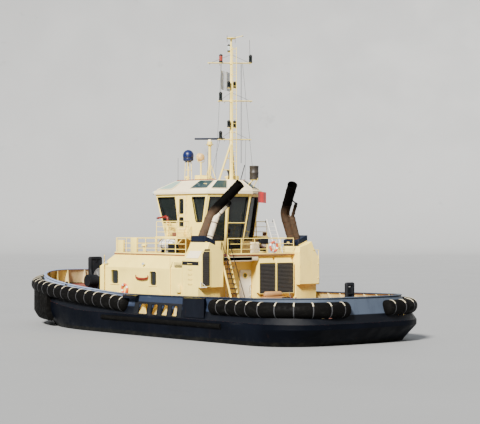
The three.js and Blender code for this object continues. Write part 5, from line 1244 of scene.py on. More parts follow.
class TUGBOAT_OT_fenders(bpy.types.Operator):
    """Round fenders at bow and quarters with their straps, the block fender at the stem and the rubbing strakes"""
    bl_idname = "tugboat.fenders"
    bl_label = "Fenders"

    def execute(self, context):
        chosen = sizes()
        start = distance_at_x(BOW_FENDER_AFT_X)
        s = np.linspace(start, SIDE_LENGTH, 300)
        line, normal = bow_fender_line(s)
        first = start + 0.4
        rows = fender_rings(line, normal, s, BOW_FENDER_RADIUS, first, chosen.strap_pitch_bow, 1)
        piece("bow_fender_rubber", [(outward(skin(round_the_bow(rows))), "fender rubber")],
              replaces=("bow_fender",), sharp=50)
        spots = np.arange(first, SIDE_LENGTH - 0.2, chosen.strap_pitch_bow)
        bands = straps(bow_fender_line, spots, BOW_FENDER_RADIUS, chosen.strap_width, 38, 118, 0.022)
        lashings = straps(bow_fender_line, spots, BOW_FENDER_RADIUS, chosen.strap_width * 0.8, -112, 38, 0.012)
        piece("bow_fender_straps", [(bands, "strap cream"), (lashings, "lashing grey")])

        s = np.linspace(1.8, distance_at_x(-8.8), 220)
        line, normal = side_fender_line(s)
        first = 3.38
        body = outward(skin(fender_rings(line, normal, s, SIDE_FENDER_RADIUS, first, chosen.strap_pitch_side, 2)))
        for name, side in SIDES:
            piece("side_fender_rubber_" + name, [(mirrored(body, side), "fender rubber")],
                  replaces=("side_fender_" + name,), sharp=50)
        spots = np.arange(first - chosen.strap_pitch_side, s[-1] - 0.3, chosen.strap_pitch_side)
        bands = straps(side_fender_line, spots, SIDE_FENDER_RADIUS, chosen.strap_width, 34, 114, 0.022)
        lashings = straps(side_fender_line, spots, SIDE_FENDER_RADIUS, chosen.strap_width * 0.8, -110, 34, 0.012)
        piece("side_fender_straps", [(bands, "strap cream"), (lashings, "lashing grey")])
        self.blocks()
        self.strakes()
        return {"FINISHED"}

    def blocks(self):
        """Rubber blocks round the stem below the round fender, parted by upright grooves of a saw-tooth in distance."""
        start = distance_at_x(9.5)
        s = np.linspace(start, SIDE_LENGTH, 260)
        foot, normal = side_at(s, -1.0)
        bottom = 0.6 + 0.3 * (s - start) / (SIDE_LENGTH - start)
        saw = np.abs(((s - start) / 0.42) % 1.0 - 0.5) * 2
        groove = 0.045 * np.clip((saw - 0.86) / 0.14, 0, 1)
        crown = bow_fender_line(s)[0][:, 2] - 0.30

        def at(out, z):
            depth = out - (groove if out > 0 else np.zeros(len(s)))
            return np.column_stack([foot + normal * depth[:, None], z])

        rows = [at(out, bottom + up) for out, up in
                ((-0.22, -0.2), (0.06, -0.2), (0.19, 0.0), (0.31, 0.22), (0.33, 0.27))]
        rows += [at(0.33, crown - 0.03), at(0.30, crown), at(-0.22, crown)]
        rows = held_out(np.stack(rows, axis=1), s, 0.03)
        piece("bow_block_rubber", [(outward(skin(round_the_bow(rows))), "fender rubber")],
              replaces=("bow_block_fender",), sharp=40)

    def strakes(self):
        """Half-round rubbing strakes: a half circle carried along the side, with a flat back inside the plating."""
        s = np.linspace(distance_at_x(-9.6), distance_at_x(2.7), 90)
        point, normal = side_at(s, -1.0)
        a = np.linspace(-math.pi / 2, math.pi / 2, 12)
        outs = np.concatenate([0.146 * np.cos(a), [-0.02, -0.02]])
        ups = np.concatenate([0.146 * np.sin(a), [0.146, -0.146]])
        rows = np.stack([np.column_stack([point + normal * u, np.full(len(s), 1.0 + v)]) for u, v in zip(outs, ups)], 1)
        body = outward(skin(rows))
        for name, side in SIDES:
            piece("rubbing_strake_bar_" + name, [(mirrored(body, side), "fender rubber")],
                  replaces=("rubbing_strake_" + name,), sharp=60)


# Deckhouse and what stands on the bridge deck

EXHAUST_DUCT = ((-4.9, 3.76, 5.8), (-5.0, 2.95, 7.65), (-6.77, 2.11, 9.465))
EXHAUST_PIPE = ((-5.52, 3.68, 5.7), (-5.6, 3.08, 7.38), (-6.48, 2.66, 8.28))
DUCT_RADIUS = 0.3


def frame_ring(outline, place, depth, width, thickness):
    """Raised window frame: a flat ring of the given width round an outline, standing out from the wall."""
    outline = np.asarray(outline, float)
    centre = (outline.max(axis=0) + outline.min(axis=0)) / 2
    size = (outline.max(axis=0) - outline.min(axis=0)) / 2
    outer = centre + (outline - centre) * (1 + width / size)
    rings = [(outline, depth), (outline, depth + thickness), (outer, depth + thickness), (outer, depth)]
    rows = np.stack([place(o[:, 0], o[:, 1], np.full(len(o), w)) for o, w in rings], axis=1)
    return outward(skin(rows, close_rows=True))


def lifebuoy(centre, axis):
    """Lifebuoy: a ring and four wider bands, each a short arc of a slightly thicker ring."""
    a = np.linspace(0, 2 * math.pi, 15)
    axis = unit(axis)
    helper = np.array([0.0, 0.0, 1.0]) if abs(axis[2]) < 0.9 else np.array([1.0, 0.0, 0.0])
    side = unit(np.cross(axis, helper))
    up = np.cross(axis, side)
    bands = []
    for middle in np.arange(4) * math.pi / 2 + 0.4:
        arc = np.linspace(middle - 0.2, middle + 0.2, 7)[:, None]
        bands.append(tube(np.asarray(centre) + 0.29 * (np.cos(arc) * side + np.sin(arc) * up), 0.078, 14))
    ring = turned(np.stack([0.29 + 0.072 * np.cos(a), 0.072 * np.sin(a)], axis=1), centre, axis, 40)
    return ring, joined(*bands)


class TUGBOAT_OT_deckhouse(bpy.types.Operator):
    """Deckhouse walls with ports, coamings, seams, hose rail, lifebuoys, lamps and pipes"""
    bl_idname = "tugboat.deckhouse"
    bl_label = "Deckhouse"

    def execute(self, context):
        node_copy("deckhouse", "deckhouse_shell", "cream", bevel=0.03)
        rim = sizes().port_rim
        frames, panes = [], []
        for x0, x1 in ((2.53, 3.40), (-1.71, -0.95)):
            hole = rounded_rectangle(x0 + 0.01, 3.11, x1 - 0.01, 3.99, 0.14)
            frames.append(both(frame_ring(hole, along_y, HOUSE_HALF - 0.10, rim, 0.118)))
            panes.append(both(extruded(hole, along_y, HOUSE_HALF - 0.09, HOUSE_HALF - 0.105)))
            sill = extruded([(x0 - 0.06, 3.08), (x0 - 0.06, 3.06), (x1 + 0.06, 3.06), (x1 + 0.06, 3.08)],
                            along_y, HOUSE_HALF - 0.01, HOUSE_HALF + 0.05)
            frames.append(both(sill))
        for y0, y1 in ((-2.9, -2.0), (-0.5, 0.5), (2.0, 2.9)):
            hole = rounded_rectangle(y0 + 0.01, 3.11, y1 - 0.01, 3.99, 0.14)
            frames.append(frame_ring(hole, along_x, 4.6, rim, 0.118))
            panes.append(extruded(hole, along_x, 4.61, 4.595))
        piece("deckhouse_ports", [(joined(*frames), "cream"), (joined(*panes), "port glass")])

        # Hose rail and its hose, one side bracket, side lamps and foot coaming, on both walls
        wall = HOUSE_HALF
        hose = tube(bend([(0.47, wall + 0.08, 3.74), (0.47, wall + 0.08, 3.54), (-0.86, wall + 0.08, 3.54),
                          (-0.86, wall + 0.08, 3.74)], 0.08), 0.026, 10)
        brackets = rods([(0.3, wall - 0.02, 3.54), (-0.2, wall - 0.02, 3.54), (-0.7, wall - 0.02, 3.54)],
                        [(0.3, wall + 0.08, 3.54), (-0.2, wall + 0.08, 3.54), (-0.7, wall + 0.08, 3.54)], 0.016)
        coil = repeated(tube(hanging((0.4, wall + 0.08, 3.60), (-0.8, wall + 0.08, 3.60), 0.07), 0.028, 10),
                        [(0, 0, 0), (0, 0.045, -0.05), (0, 0.01, -0.10)])
        pipes = rods([(4.1, wall + 0.05, 1.35), (-3.2, wall + 0.05, 1.35), (4.1, wall + 0.05, 1.35)],
                     [(4.1, wall + 0.05, 4.9), (-3.2, wall + 0.05, 4.9), (4.1, wall + 0.05, 4.95)], 0.03, 10)
        clamp_places = [(x, z) for x in (4.05, -3.25) for z in (2.0, 3.2, 4.4)]
        clamps = slabs([(x, wall - 0.01, z) for x, z in clamp_places],
                       [(x + 0.1, wall + 0.075, z + 0.05) for x, z in clamp_places], 0.008)
        lamps = both(*[turned([(0, 0), (0.085, 0.0), (0.085, 0.05), (0.07, 0.11), (0, 0.13)], (x, wall - 0.01, 4.45),
                              (0, 1, 0), 20) for x in (-0.3, 3.9)])
        coaming = slabs([(-4.45, wall - 0.01, 1.29)], [(4.55, wall + 0.028, 1.42)], 0.01)
        grille = slabs([(-4.37, wall - 0.01, z) for z in np.arange(4.33, 4.58, 0.075)],
                       [(-3.58, wall + 0.03, z + 0.035) for z in np.arange(4.33, 4.58, 0.075)], 0.008)
        box = slabs([(-4.34, wall - 0.01, 2.76), (2.2, wall - 0.01, 2.2)],
                    [(-3.97, wall + 0.16, 3.2), (2.5, wall + 0.1, 2.6)], 0.025)
        piece("deckhouse_wall_gear", [
            (both(hose, coil), "signal red"), (both(brackets, pipes, clamps, coaming, box), "cream"),
            (lamps, "lens clear"), (both(grille), "louvre grey")])
        ring, bands = lifebuoy((1.7, wall + 0.10, 2.8), (0, 1, 0))
        piece("deckhouse_lifebuoys", [(both(ring), "buoy orange"), (both(bands), "raft white")])
        self.after_wall()
        return {"FINISHED"}

    def after_wall(self):
        """What the recess holds: the awning's beam, the door's surround and lamp, pipes and a valve wheel."""
        beam = slabs([(-5.93, 0.0, 4.70), (-5.93, 0.48, 4.66)], [(-5.62, 3.04, 4.93), (-5.88, 3.04, 4.94)], 0.015)
        surround = frame_ring(rounded_rectangle(-0.06, 1.56, 0.78, 4.06, 0.1), along_x, -5.03, 0.05, -0.035)
        lamp = turned([(0, 0), (0.09, 0), (0.09, 0.05), (0.07, 0.12), (0, 0.14)], (-5.03, 1.35, 4.25), (-1, 0, 0), 20)
        pipes = rods([(-5.12, 1.75, 1.4), (-5.12, 1.95, 1.4), (-5.66, -3.0, 1.35)],
                     [(-5.12, 1.75, 4.66), (-5.12, 1.95, 4.66), (-5.66, -3.0, 4.9)], 0.035, 10)
        valve = torus((-5.2, 1.35, 2.5), (1, 0, 0), 0.14, 0.018, 28, 8)
        spokes = rods([(-5.2, 1.21, 2.5), (-5.2, 1.35, 2.36)], [(-5.2, 1.49, 2.5), (-5.2, 1.35, 2.64)], 0.012)
        stem = rods([(-5.04, 1.35, 2.5)], [(-5.22, 1.35, 2.5)], 0.022, 10)
        piece("after_wall_gear", [(joined(beam, pipes), "pale cream"), (surround, "cream"), (lamp, "lens clear"),
                                  (joined(valve, spokes, stem), "signal red")])


class TUGBOAT_OT_deckhouse_door(bpy.types.Operator):
    """After door of the deckhouse: pressed leaf, round port, gasket, dogs, handle and hinges"""
    bl_idname = "tugboat.deckhouse_door"
    bl_label = "Deckhouse door"

    def execute(self, context):
        leaf = rounded_rectangle(-0.10, 1.52, 0.82, 4.10, 0.12)
        x0, x1 = -5.108, -5.058
        grow = lambda k: leaf.mean(axis=0) + (leaf - leaf.mean(axis=0)) * k
        # Pressed panel: the rim stands proud and the field between is sunk by a rounded step
        steps = ((1.0, x1), (1.0, x0 + 0.012), (0.985, x0), (0.90, x0), (0.885, x0 + 0.016), (0.80, x0 + 0.016))
        rows = np.stack([along_x(*grow(k).T, np.full(len(leaf), x)) for k, x in steps])
        body = outward(skin(rows))
        port = torus((x0 - 0.004, 0.40, 3.74), (1, 0, 0), 0.165, 0.022, 36, 10)
        pane = turned([(0, -0.012), (0.16, -0.012), (0.16, 0.004), (0, 0.006)], (x0 + 0.004, 0.40, 3.74), (-1, 0, 0),
                      32)
        z = np.array([1.8, 2.45, 3.1, 3.75])
        dogs = rods(stacked(x0 + 0.01, -0.03, z), stacked(x0 - 0.05, -0.03, z), 0.02, 10)
        grips = rods(stacked(x0 - 0.045, -0.05, z + 0.02), stacked(x0 - 0.045, 0.10, z - 0.06), 0.015, 8)
        handle = tube(bend([(x0, 0.10, 2.66), (x0 - 0.07, 0.10, 2.66), (x0 - 0.07, 0.10, 2.96), (x0, 0.10, 2.96)],
                           0.03),
                      0.014, 8)
        hinges = rods([(x0 + 0.01, 0.80, h) for h in (1.95, 2.8, 3.65)],
                      [(x0 + 0.01, 0.80, h + 0.16) for h in (1.95, 2.8, 3.65)], 0.022, 10)
        piece("deckhouse_door_panel", [(body, "white"), (joined(port, hinges), "cream"), (pane, "port glass"),
                                       (joined(dogs, grips, handle), "steel grey")],
              body="deckhouse_door_leaf", replaces=("deckhouse_door",), sharp=35)
        return {"FINISHED"}


class TUGBOAT_OT_casings(bpy.types.Operator):
    """Funnel casings with louvres, hinged panel, blank plates, ladder rungs and caps"""
    bl_idname = "tugboat.casings"
    bl_label = "Funnel casings"

    def execute(self, context):
        for name, _ in SIDES:
            node_copy("casing_" + name, "casing_shell_" + name, "cream", bevel=0.035)
            node_copy("casing_cap_" + name, "casing_crown_" + name, "funnel blue", bevel=0.03)
        aft = CASING_AFT_X
        # Painted shade: the dark slot plate on the aft face stands for the shaded opening behind the louvre blades
        slot = extruded([(4.69, 3.22), (4.69, 5.07), (4.48, 5.46), (4.11, 5.45), (4.11, 3.21)], along_x, aft + 0.02,
                        aft - 0.012)
        blades = slabs([(aft - 0.035, 4.13, z) for z in np.arange(3.28, 5.1, 0.13)],
                       [(aft - 0.006, 4.67, z + 0.03) for z in np.arange(3.28, 5.1, 0.13)], 0.008)
        rim = frame_ring(rounded_rectangle(4.11, 3.20, 4.69, 5.30, 0.05), along_x, aft + 0.01, 0.035, -0.045)
        bracket = rods([(aft - 0.05, 4.84, 3.47), (aft - 0.05, 4.38, 3.13), (aft - 0.05, 4.84, 3.47)],
                       [(aft - 0.05, 4.38, 3.13), (aft - 0.05, 4.84, 3.13), (aft - 0.05, 4.84, 3.13)], 0.02, 8)
        panel = extruded([(-3.12, 5.50), (-3.80, 5.70), (-4.46, 5.10), (-4.72, 4.65), (-4.72, 3.16), (-3.12, 3.16)],
                         along_x, aft + 0.02, aft - 0.03)
        hinges = rods([(aft - 0.035, -3.12, z) for z in (5.2, 4.24, 3.3)],
                      [(aft - 0.035, -3.12, z + 0.14) for z in (5.2, 4.24, 3.3)],
                      0.024, 10)
        clips = slabs([(aft - 0.06, -4.74, z) for z in (3.5, 4.4)],
                      [(aft - 0.02, -4.60, z + 0.07) for z in (3.5, 4.4)], 0.01)
        bars = slabs([(-6.08, HOUSE_HALF - 0.01, 4.47)], [(-4.43, HOUSE_HALF + 0.03, 4.69)], 0.01)
        rungs = np.arange(3.35, 4.6, 0.3)
        steps = rods(stacked(-5.1, HOUSE_HALF + 0.11, rungs), stacked(-5.45, HOUSE_HALF + 0.11, rungs), 0.014, 8)
        legs = [rods(stacked(x, HOUSE_HALF - 0.02, rungs), stacked(x, HOUSE_HALF + 0.11, rungs), 0.014, 8)
                for x in (-5.1, -5.45)]
        # Blank plates on the slanted faces
        low, high = np.array([4.80, 4.78]), np.array([4.36, 5.42])
        spread = unit(high - low)
        out = np.array([spread[1], -spread[0]]) * 0.012
        a, b = low + spread * 0.12 + out, low + spread * 0.66 + out
        blank_plate = plate([(-4.7, *a), (-5.95, *a), (-5.95, *b), (-4.7, *b)], 0.012)
        crown_rim = tube(bend([(-4.42, 4.12, 5.90), (-5.88, 4.12, 5.90), (-5.88, 3.4, 5.62)], 0.06), 0.02, 8)
        piece("casing_gear", [
            (joined(slot, blades), "louvre grey"), (joined(rim, mirrored(rim)), "cream"), (bracket, "white"),
            (joined(panel, hinges, clips), "panel cream"), (both(bars), "gear black"), (both(steps, *legs), "cream"),
            (both(blank_plate), "pale cream"), (both(crown_rim), "cream")])
        return {"FINISHED"}


def open_pipe(points, radius, wall, depth, sides=40, mouth=1.0):
    """Pipe with a mouth: an outer wall along the path, which narrows past its middle to the mouth's share of the
    radius, a lip, and an inner wall back down to a closed floor."""
    path = bend(points, radius * 1.2, 7)
    share = np.interp(np.linspace(0, 1, len(path)), (0.0, 0.5, 0.8, 1.0), (1.0, 1.0, mouth, mouth))
    outer = circle_round(path, radius * share, sides)
    lip = path[-1] + (outer[-1] - path[-1]) * (1 - wall / (radius * mouth))
    floor = lip - unit(path[-1] - path[-2]) * depth
    return outward(skin(np.concatenate([outer, lip[None], floor[None]])))


class TUGBOAT_OT_exhausts(bpy.types.Operator):
    """Leaning exhaust ducts and thinner pipes beside them, with collars, flanges and soot; starboard thin pipe in
    painted shade
    """
    bl_idname = "tugboat.exhausts"
    bl_label = "Exhausts"

    def execute(self, context):
        duct = open_pipe(EXHAUST_DUCT, DUCT_RADIUS, 0.02, 0.9)
        pipe = open_pipe(EXHAUST_PIPE, 0.19, 0.015, 0.5, 32, 0.55)
        wide, thin = np.array(EXHAUST_DUCT), np.array(EXHAUST_PIPE)
        collars = []
        for line, radius, shares in ((wide, DUCT_RADIUS, (0.35, 0.78)), (thin, 0.19, (0.3, 0.8))):
            for k in (0, 1):
                step = line[k + 1] - line[k]
                bore = radius * (0.55 if line is thin and k else 1.0)
                collars += [collar(line[k] + step * share, step, bore - 0.004, 0.05, 0.022) for share in shares]
        lip = collar(wide[2] - unit(wide[2] - wide[1]) * 0.05, wide[2] - wide[1], DUCT_RADIUS - 0.004, 0.08, 0.02)
        tie = rods([wide[1], wide[1] * 0.45 + wide[2] * 0.55], [thin[1], thin[2]], 0.045, 12)
        feet = [turned([(0, 0), (0.40, 0), (0.40, 0.05), (0.34, 0.09), (0.31, 0.16), (0, 0.16)],
                       wide[0] + (wide[1] - wide[0]) * 0.06, wide[1] - wide[0], 36),
                turned([(0, 0), (0.27, 0), (0.27, 0.05), (0.2, 0.09), (0, 0.1)],
                       thin[0] + (thin[1] - thin[0]) * 0.06, thin[1] - thin[0], 32)]
        for name, side in SIDES:
            piece("exhaust_pipes_" + name, [
                (mirrored(duct, side), "duct brown"),
                # Painted shade: the starboard thin pipe takes the duct's dark brown for the shade it stands in; the
                # port one stays cream
                (mirrored(pipe, side), "pipe cream" if side > 0 else "duct brown"),
                (mirrored(joined(*collars, lip, tie), side), "duct brown"),
                (mirrored(joined(*feet), side), "cream")],
                replaces=("exhaust_" + name,), sharp=35)
        return {"FINISHED"}


class TUGBOAT_OT_intakes(bpy.types.Operator):
    """Air intakes: hooded boxes with slanted blades before dark backs of painted shade"""
    bl_idname = "tugboat.intakes"
    bl_label = "Air intakes"

    def execute(self, context):
        node_copy("air_intakes", "intake_boxes", "cream", bevel=0.02)
        face = INTAKE_WALL_X - 0.34
        blades, backs, rims = [], [], []
        z = np.arange(2.68, 4.49, sizes().louvre_pitch)
        for y0, y1 in ((-1.36, -0.08), (-2.86, -1.50)):
            blades += [plate([(face - 0.012, y0, v), (face - 0.012, y1, v), (face - 0.05, y1, v - 0.055),
                              (face - 0.05, y0, v - 0.055)], 0.008) for v in z]
            # Painted shade: a dark sheet behind the blades stands for the shaded inside of the intake
            backs.append(slabs([(face - 0.012, y0, 2.62)], [(face - 0.004, y1, 4.52)], 0.002))
            rims.append(frame_ring(rounded_rectangle(y0 - 0.005, 2.62, y1 + 0.005, 4.52, 0.02), along_x, face - 0.002,
                                   0.03, -0.05))
        piece("intake_blades", [(joined(*blades), "louvre grey"), (joined(*backs), "cabin dark"),
                                (joined(*rims), "cream")])
        return {"FINISHED"}


class TUGBOAT_OT_stair(bpy.types.Operator):
    """Stair from the after deck: stringers, dark grating treads and dark handrails"""
    bl_idname = "tugboat.stair"
    bl_label = "Stair"

    def execute(self, context):
        obj = node_copy("stair", "stair_steel", "cream", bevel=0.006)

        def tread_faces(centres, normals):
            """1 on the level faces between the stringers, 2 on the rails above them, 0 elsewhere."""
            inside = (centres[:, 1] > 2.50) & (centres[:, 1] < 2.94)
            line = 1.3 + (5.07 - 1.3) * (centres[:, 0] + 7.45) / (-5.96 + 7.45)
            return np.where(centres[:, 2] > line + 0.22, 2, np.where(inside & (np.abs(normals[:, 2]) > 0.7), 1, 0))
        paint_faces(obj, ("cream", "deck red", "rail navy"), tread_faces)
        share = (np.arange(12) + 0.5) / 12
        x, z = -7.45 + 1.49 * share, 1.3 + 3.77 * share
        noses = rods(stacked(x - 0.09, 2.47, z - 0.02), stacked(x - 0.09, 2.97, z - 0.02), 0.014, 8)
        piece("stair_noses", [(noses, "rail navy")])
        return {"FINISHED"}


class TUGBOAT_OT_bridge_deck(bpy.types.Operator):
    """Bridge deck with its edge, rails, screens, boxes, cable drum, ladder and lifebuoy"""
    bl_idname = "tugboat.bridge_deck"
    bl_label = "Bridge deck"

    def execute(self, context):
        obj = node_copy("bridge_deck", "bridge_deck_plate", "deck red", bevel=0.008)
        paint_faces(obj, ("deck red", "cream"), lambda centres, normals: normals[:, 2] < -0.5)
        chosen = sizes()
        z = BRIDGE_DECK_Z
        lines = {"port": [(-3.9, 4.14), (3.656, 4.14)], "starboard": [(-3.9, -4.14), (3.656, -4.14)],
                 "fore": [(3.74, 4.14), (3.74, -4.14)], "aft": [(-5.84, 2.36), (-5.84, -2.99)]}
        for name, line in lines.items():
            piece("bridge_guard_" + name, [(guard_rail(line, z, chosen), "cream")],
                  replaces=("bridge_rail_" + name,))
        toe = [slabs([(-4.38, 4.20, z - 0.005)], [(3.82, 4.235, z + 0.09)], 0.008),
               slabs([(-5.89, -3.02, z - 0.005)], [(-5.86, 2.36, z + 0.09)], 0.008),
               slabs([(3.80, -4.22, z - 0.005)], [(3.83, 4.22, z + 0.09)], 0.008)]
        posts = [slabs([(1.34, 4.06, z)], [(1.98, 4.24, 6.12)], 0.03),
                 slabs([(2.9, 4.02, z)], [(3.5, 4.22, 5.95)], 0.03)]
        shelf = slabs([(-2.7, 3.72, z)], [(-1.9, 4.12, z + 0.06)], 0.01)
        cabinets = slabs([(-2.6, 3.72, z + 0.06), (-1.9, 3.2, z)], [(-1.95, 4.1, 5.74), (-1.2, 3.6, 5.42)], 0.03)
        screen = slabs([(-5.82, -0.15, 5.14)], [(-5.78, 0.52, 5.84)], 0.015)
        slats = slabs([(-5.885, -0.13, v) for v in np.arange(5.2, 5.8, 0.07)],
                      [(-5.86, 0.50, v + 0.03) for v in np.arange(5.2, 5.8, 0.07)], 0.006)
        box = slabs([(-5.89, -0.86, 5.72)], [(-5.62, -0.24, 6.06)], 0.02)
        ring, bands = lifebuoy((-5.9, -1.3, 5.55), (1, 0, 0))
        tops, feet = np.array([(-4.95, -1.48, 7.3), (-4.95, -2.06, 7.3)]), np.array([(-5.3, -2.0, z), (-5.3, -2.58, z)])
        rails = rods(tops, feet, 0.04, 8)
        share = np.linspace(0.1, 0.92, 8)[:, None]
        ends = [top * (1 - share) + foot * share for top, foot in zip(tops, feet)]
        hooks = rods(tops, tops + np.array([0.1, 0, -0.25]), 0.03, 8)
        hatch = slabs([(3.0, -1.6, z), (-5.2, -1.3, z)], [(3.55, -0.8, 5.3), (-4.5, -0.5, 5.25)], 0.04)
        vents = joined(*[turned([(0, 0), (0.1, 0), (0.1, 0.42), (0.2, 0.46), (0.2, 0.54), (0.1, 0.62), (0, 0.64)],
                                (x, y, z - 0.01), sides=24)
                                for x, y in ((3.1, 3.2), (3.1, -3.2), (-3.9, -3.4), (2.6, 2.7))])
        coil = joined(*[torus((-1.7, 3.85, z + 0.03 + 0.05 * k), (0, 0, 1), 0.26 - 0.012 * k, 0.026, 36, 8)
                        for k in range(5)])
        piece("bridge_deck_gear", [
            (joined(*toe, *posts, shelf, hatch, vents), "cream"), (joined(cabinets, box), "gear black"),
            (joined(screen, slats), "pale cream"), (ring, "buoy orange"), (bands, "raft white"),
            (joined(rails, rods(ends[0], ends[1], 0.018, 8)), "white"), (hooks, "lamp black"), (coil, "rope")])
        return {"FINISHED"}


# Wheelhouse, its wings and roof

# Corners of the wheelhouse: base x, base y, top x, top y, from the middle of the after side forward
WHEELHOUSE_CORNERS = np.array([
    (-3.4, 0.64, -4.08, 0.92), (-2.6, 2.15, -3.5, 2.12), (-1.83, 2.45, -1.83, 2.45), (-0.82, 2.45, -0.82, 2.45),
    (0.35, 2.3, 1.55, 2.5), (1.4, 1.5, 2.45, 1.72), (1.8, 0.6, 2.9, 0.7),
])
WHEELHOUSE_BASE_Z = 5.0703
VISOR_Z = 8.9

# Windows by panel: first corner, sill z, head z, margins to both corners at the head, and at the sill
WHEELHOUSE_WINDOWS = (
    (-1, 5.35, 8.72, (0.13, 0.13), (0.08, 0.08)), (0, 5.9, 8.72, (0.15, 0.15), (0.12, 0.12)),
    (1, 7.1, 8.72, (0.16, 0.33), (0.11, 0.65)), (3, 7.05, 8.74, (0.36, 0.07), (0.06, 0.13)),
    (4, 7.0, 8.72, (0.11, 0.11), (0.15, 0.15)), (5, 7.0, 8.72, (0.11, 0.11), (0.15, 0.15)),
    (6, 7.0, 8.72, (0.11, 0.11), (0.15, 0.15)),
)


def wheelhouse_corner(k, z):
    """Corner k of the wheelhouse at a height; negative and large numbers are the starboard mirror images."""
    n = len(WHEELHOUSE_CORNERS)
    k = k % (2 * n)
    bx, by, tx, ty = WHEELHOUSE_CORNERS[k if k < n else 2 * n - 1 - k]
    t = (z - WHEELHOUSE_BASE_Z) / (VISOR_Z - WHEELHOUSE_BASE_Z)
    return np.array([bx + (tx - bx) * t, (by + (ty - by) * t) * (1 if k < n else -1), z])


def window_corners(corner, sill, head, head_margins, sill_margins):
    """Four corners of a window on its panel: both at the head, then both at the sill."""
    points = []
    for z, margins in ((head, head_margins), (sill, sill_margins)):
        a, b = wheelhouse_corner(corner, z), wheelhouse_corner(corner + 1, z)
        along = unit(b - a)
        points += [a + along * margins[0], b - along * margins[1]]
    return np.array([points[0], points[1], points[3], points[2]])


def rounded_quad(corners, radius, steps=6):
    """Quad in space with rounded corners: a quadratic curve from the leg before to the leg after each corner."""
    before, after = np.roll(corners, 1, axis=0), np.roll(corners, -1, axis=0)
    a = corners + unit(before - corners) * radius
    b = corners + unit(after - corners) * radius
    t = np.linspace(0, 1, steps)[:, None, None]
    return ((1 - t) ** 2 * a + 2 * t * (1 - t) * corners + t ** 2 * b).transpose(1, 0, 2).reshape(-1, 3)


def outward_normal(corners):
    """Unit normal of a window that points away from the boat's middle line."""
    normal = unit(np.cross(corners[1] - corners[0], corners[3] - corners[0]))
    centre = corners.mean(axis=0)
    return -normal if normal[:2].dot(centre[:2] + np.array([0.6, 0.0])) < 0 else normal


def gasket_loop(corners, out, width, depth, radius=0.13):
    """Rubber frame inside a window's edge: outer loop on its rounded corners, inner loop drawn in by the width."""
    centre, normal = corners.mean(axis=0), outward_normal(corners)
    outer = rounded_quad(corners, radius)
    inner = rounded_quad(corners + unit(centre - corners) * width * 1.4, radius * 0.8)
    rings = [outer + normal * out, inner + normal * out, inner + normal * (out - depth), outer + normal * (out - depth)]
    return outward(skin(np.stack(rings, axis=1), close_rows=True))


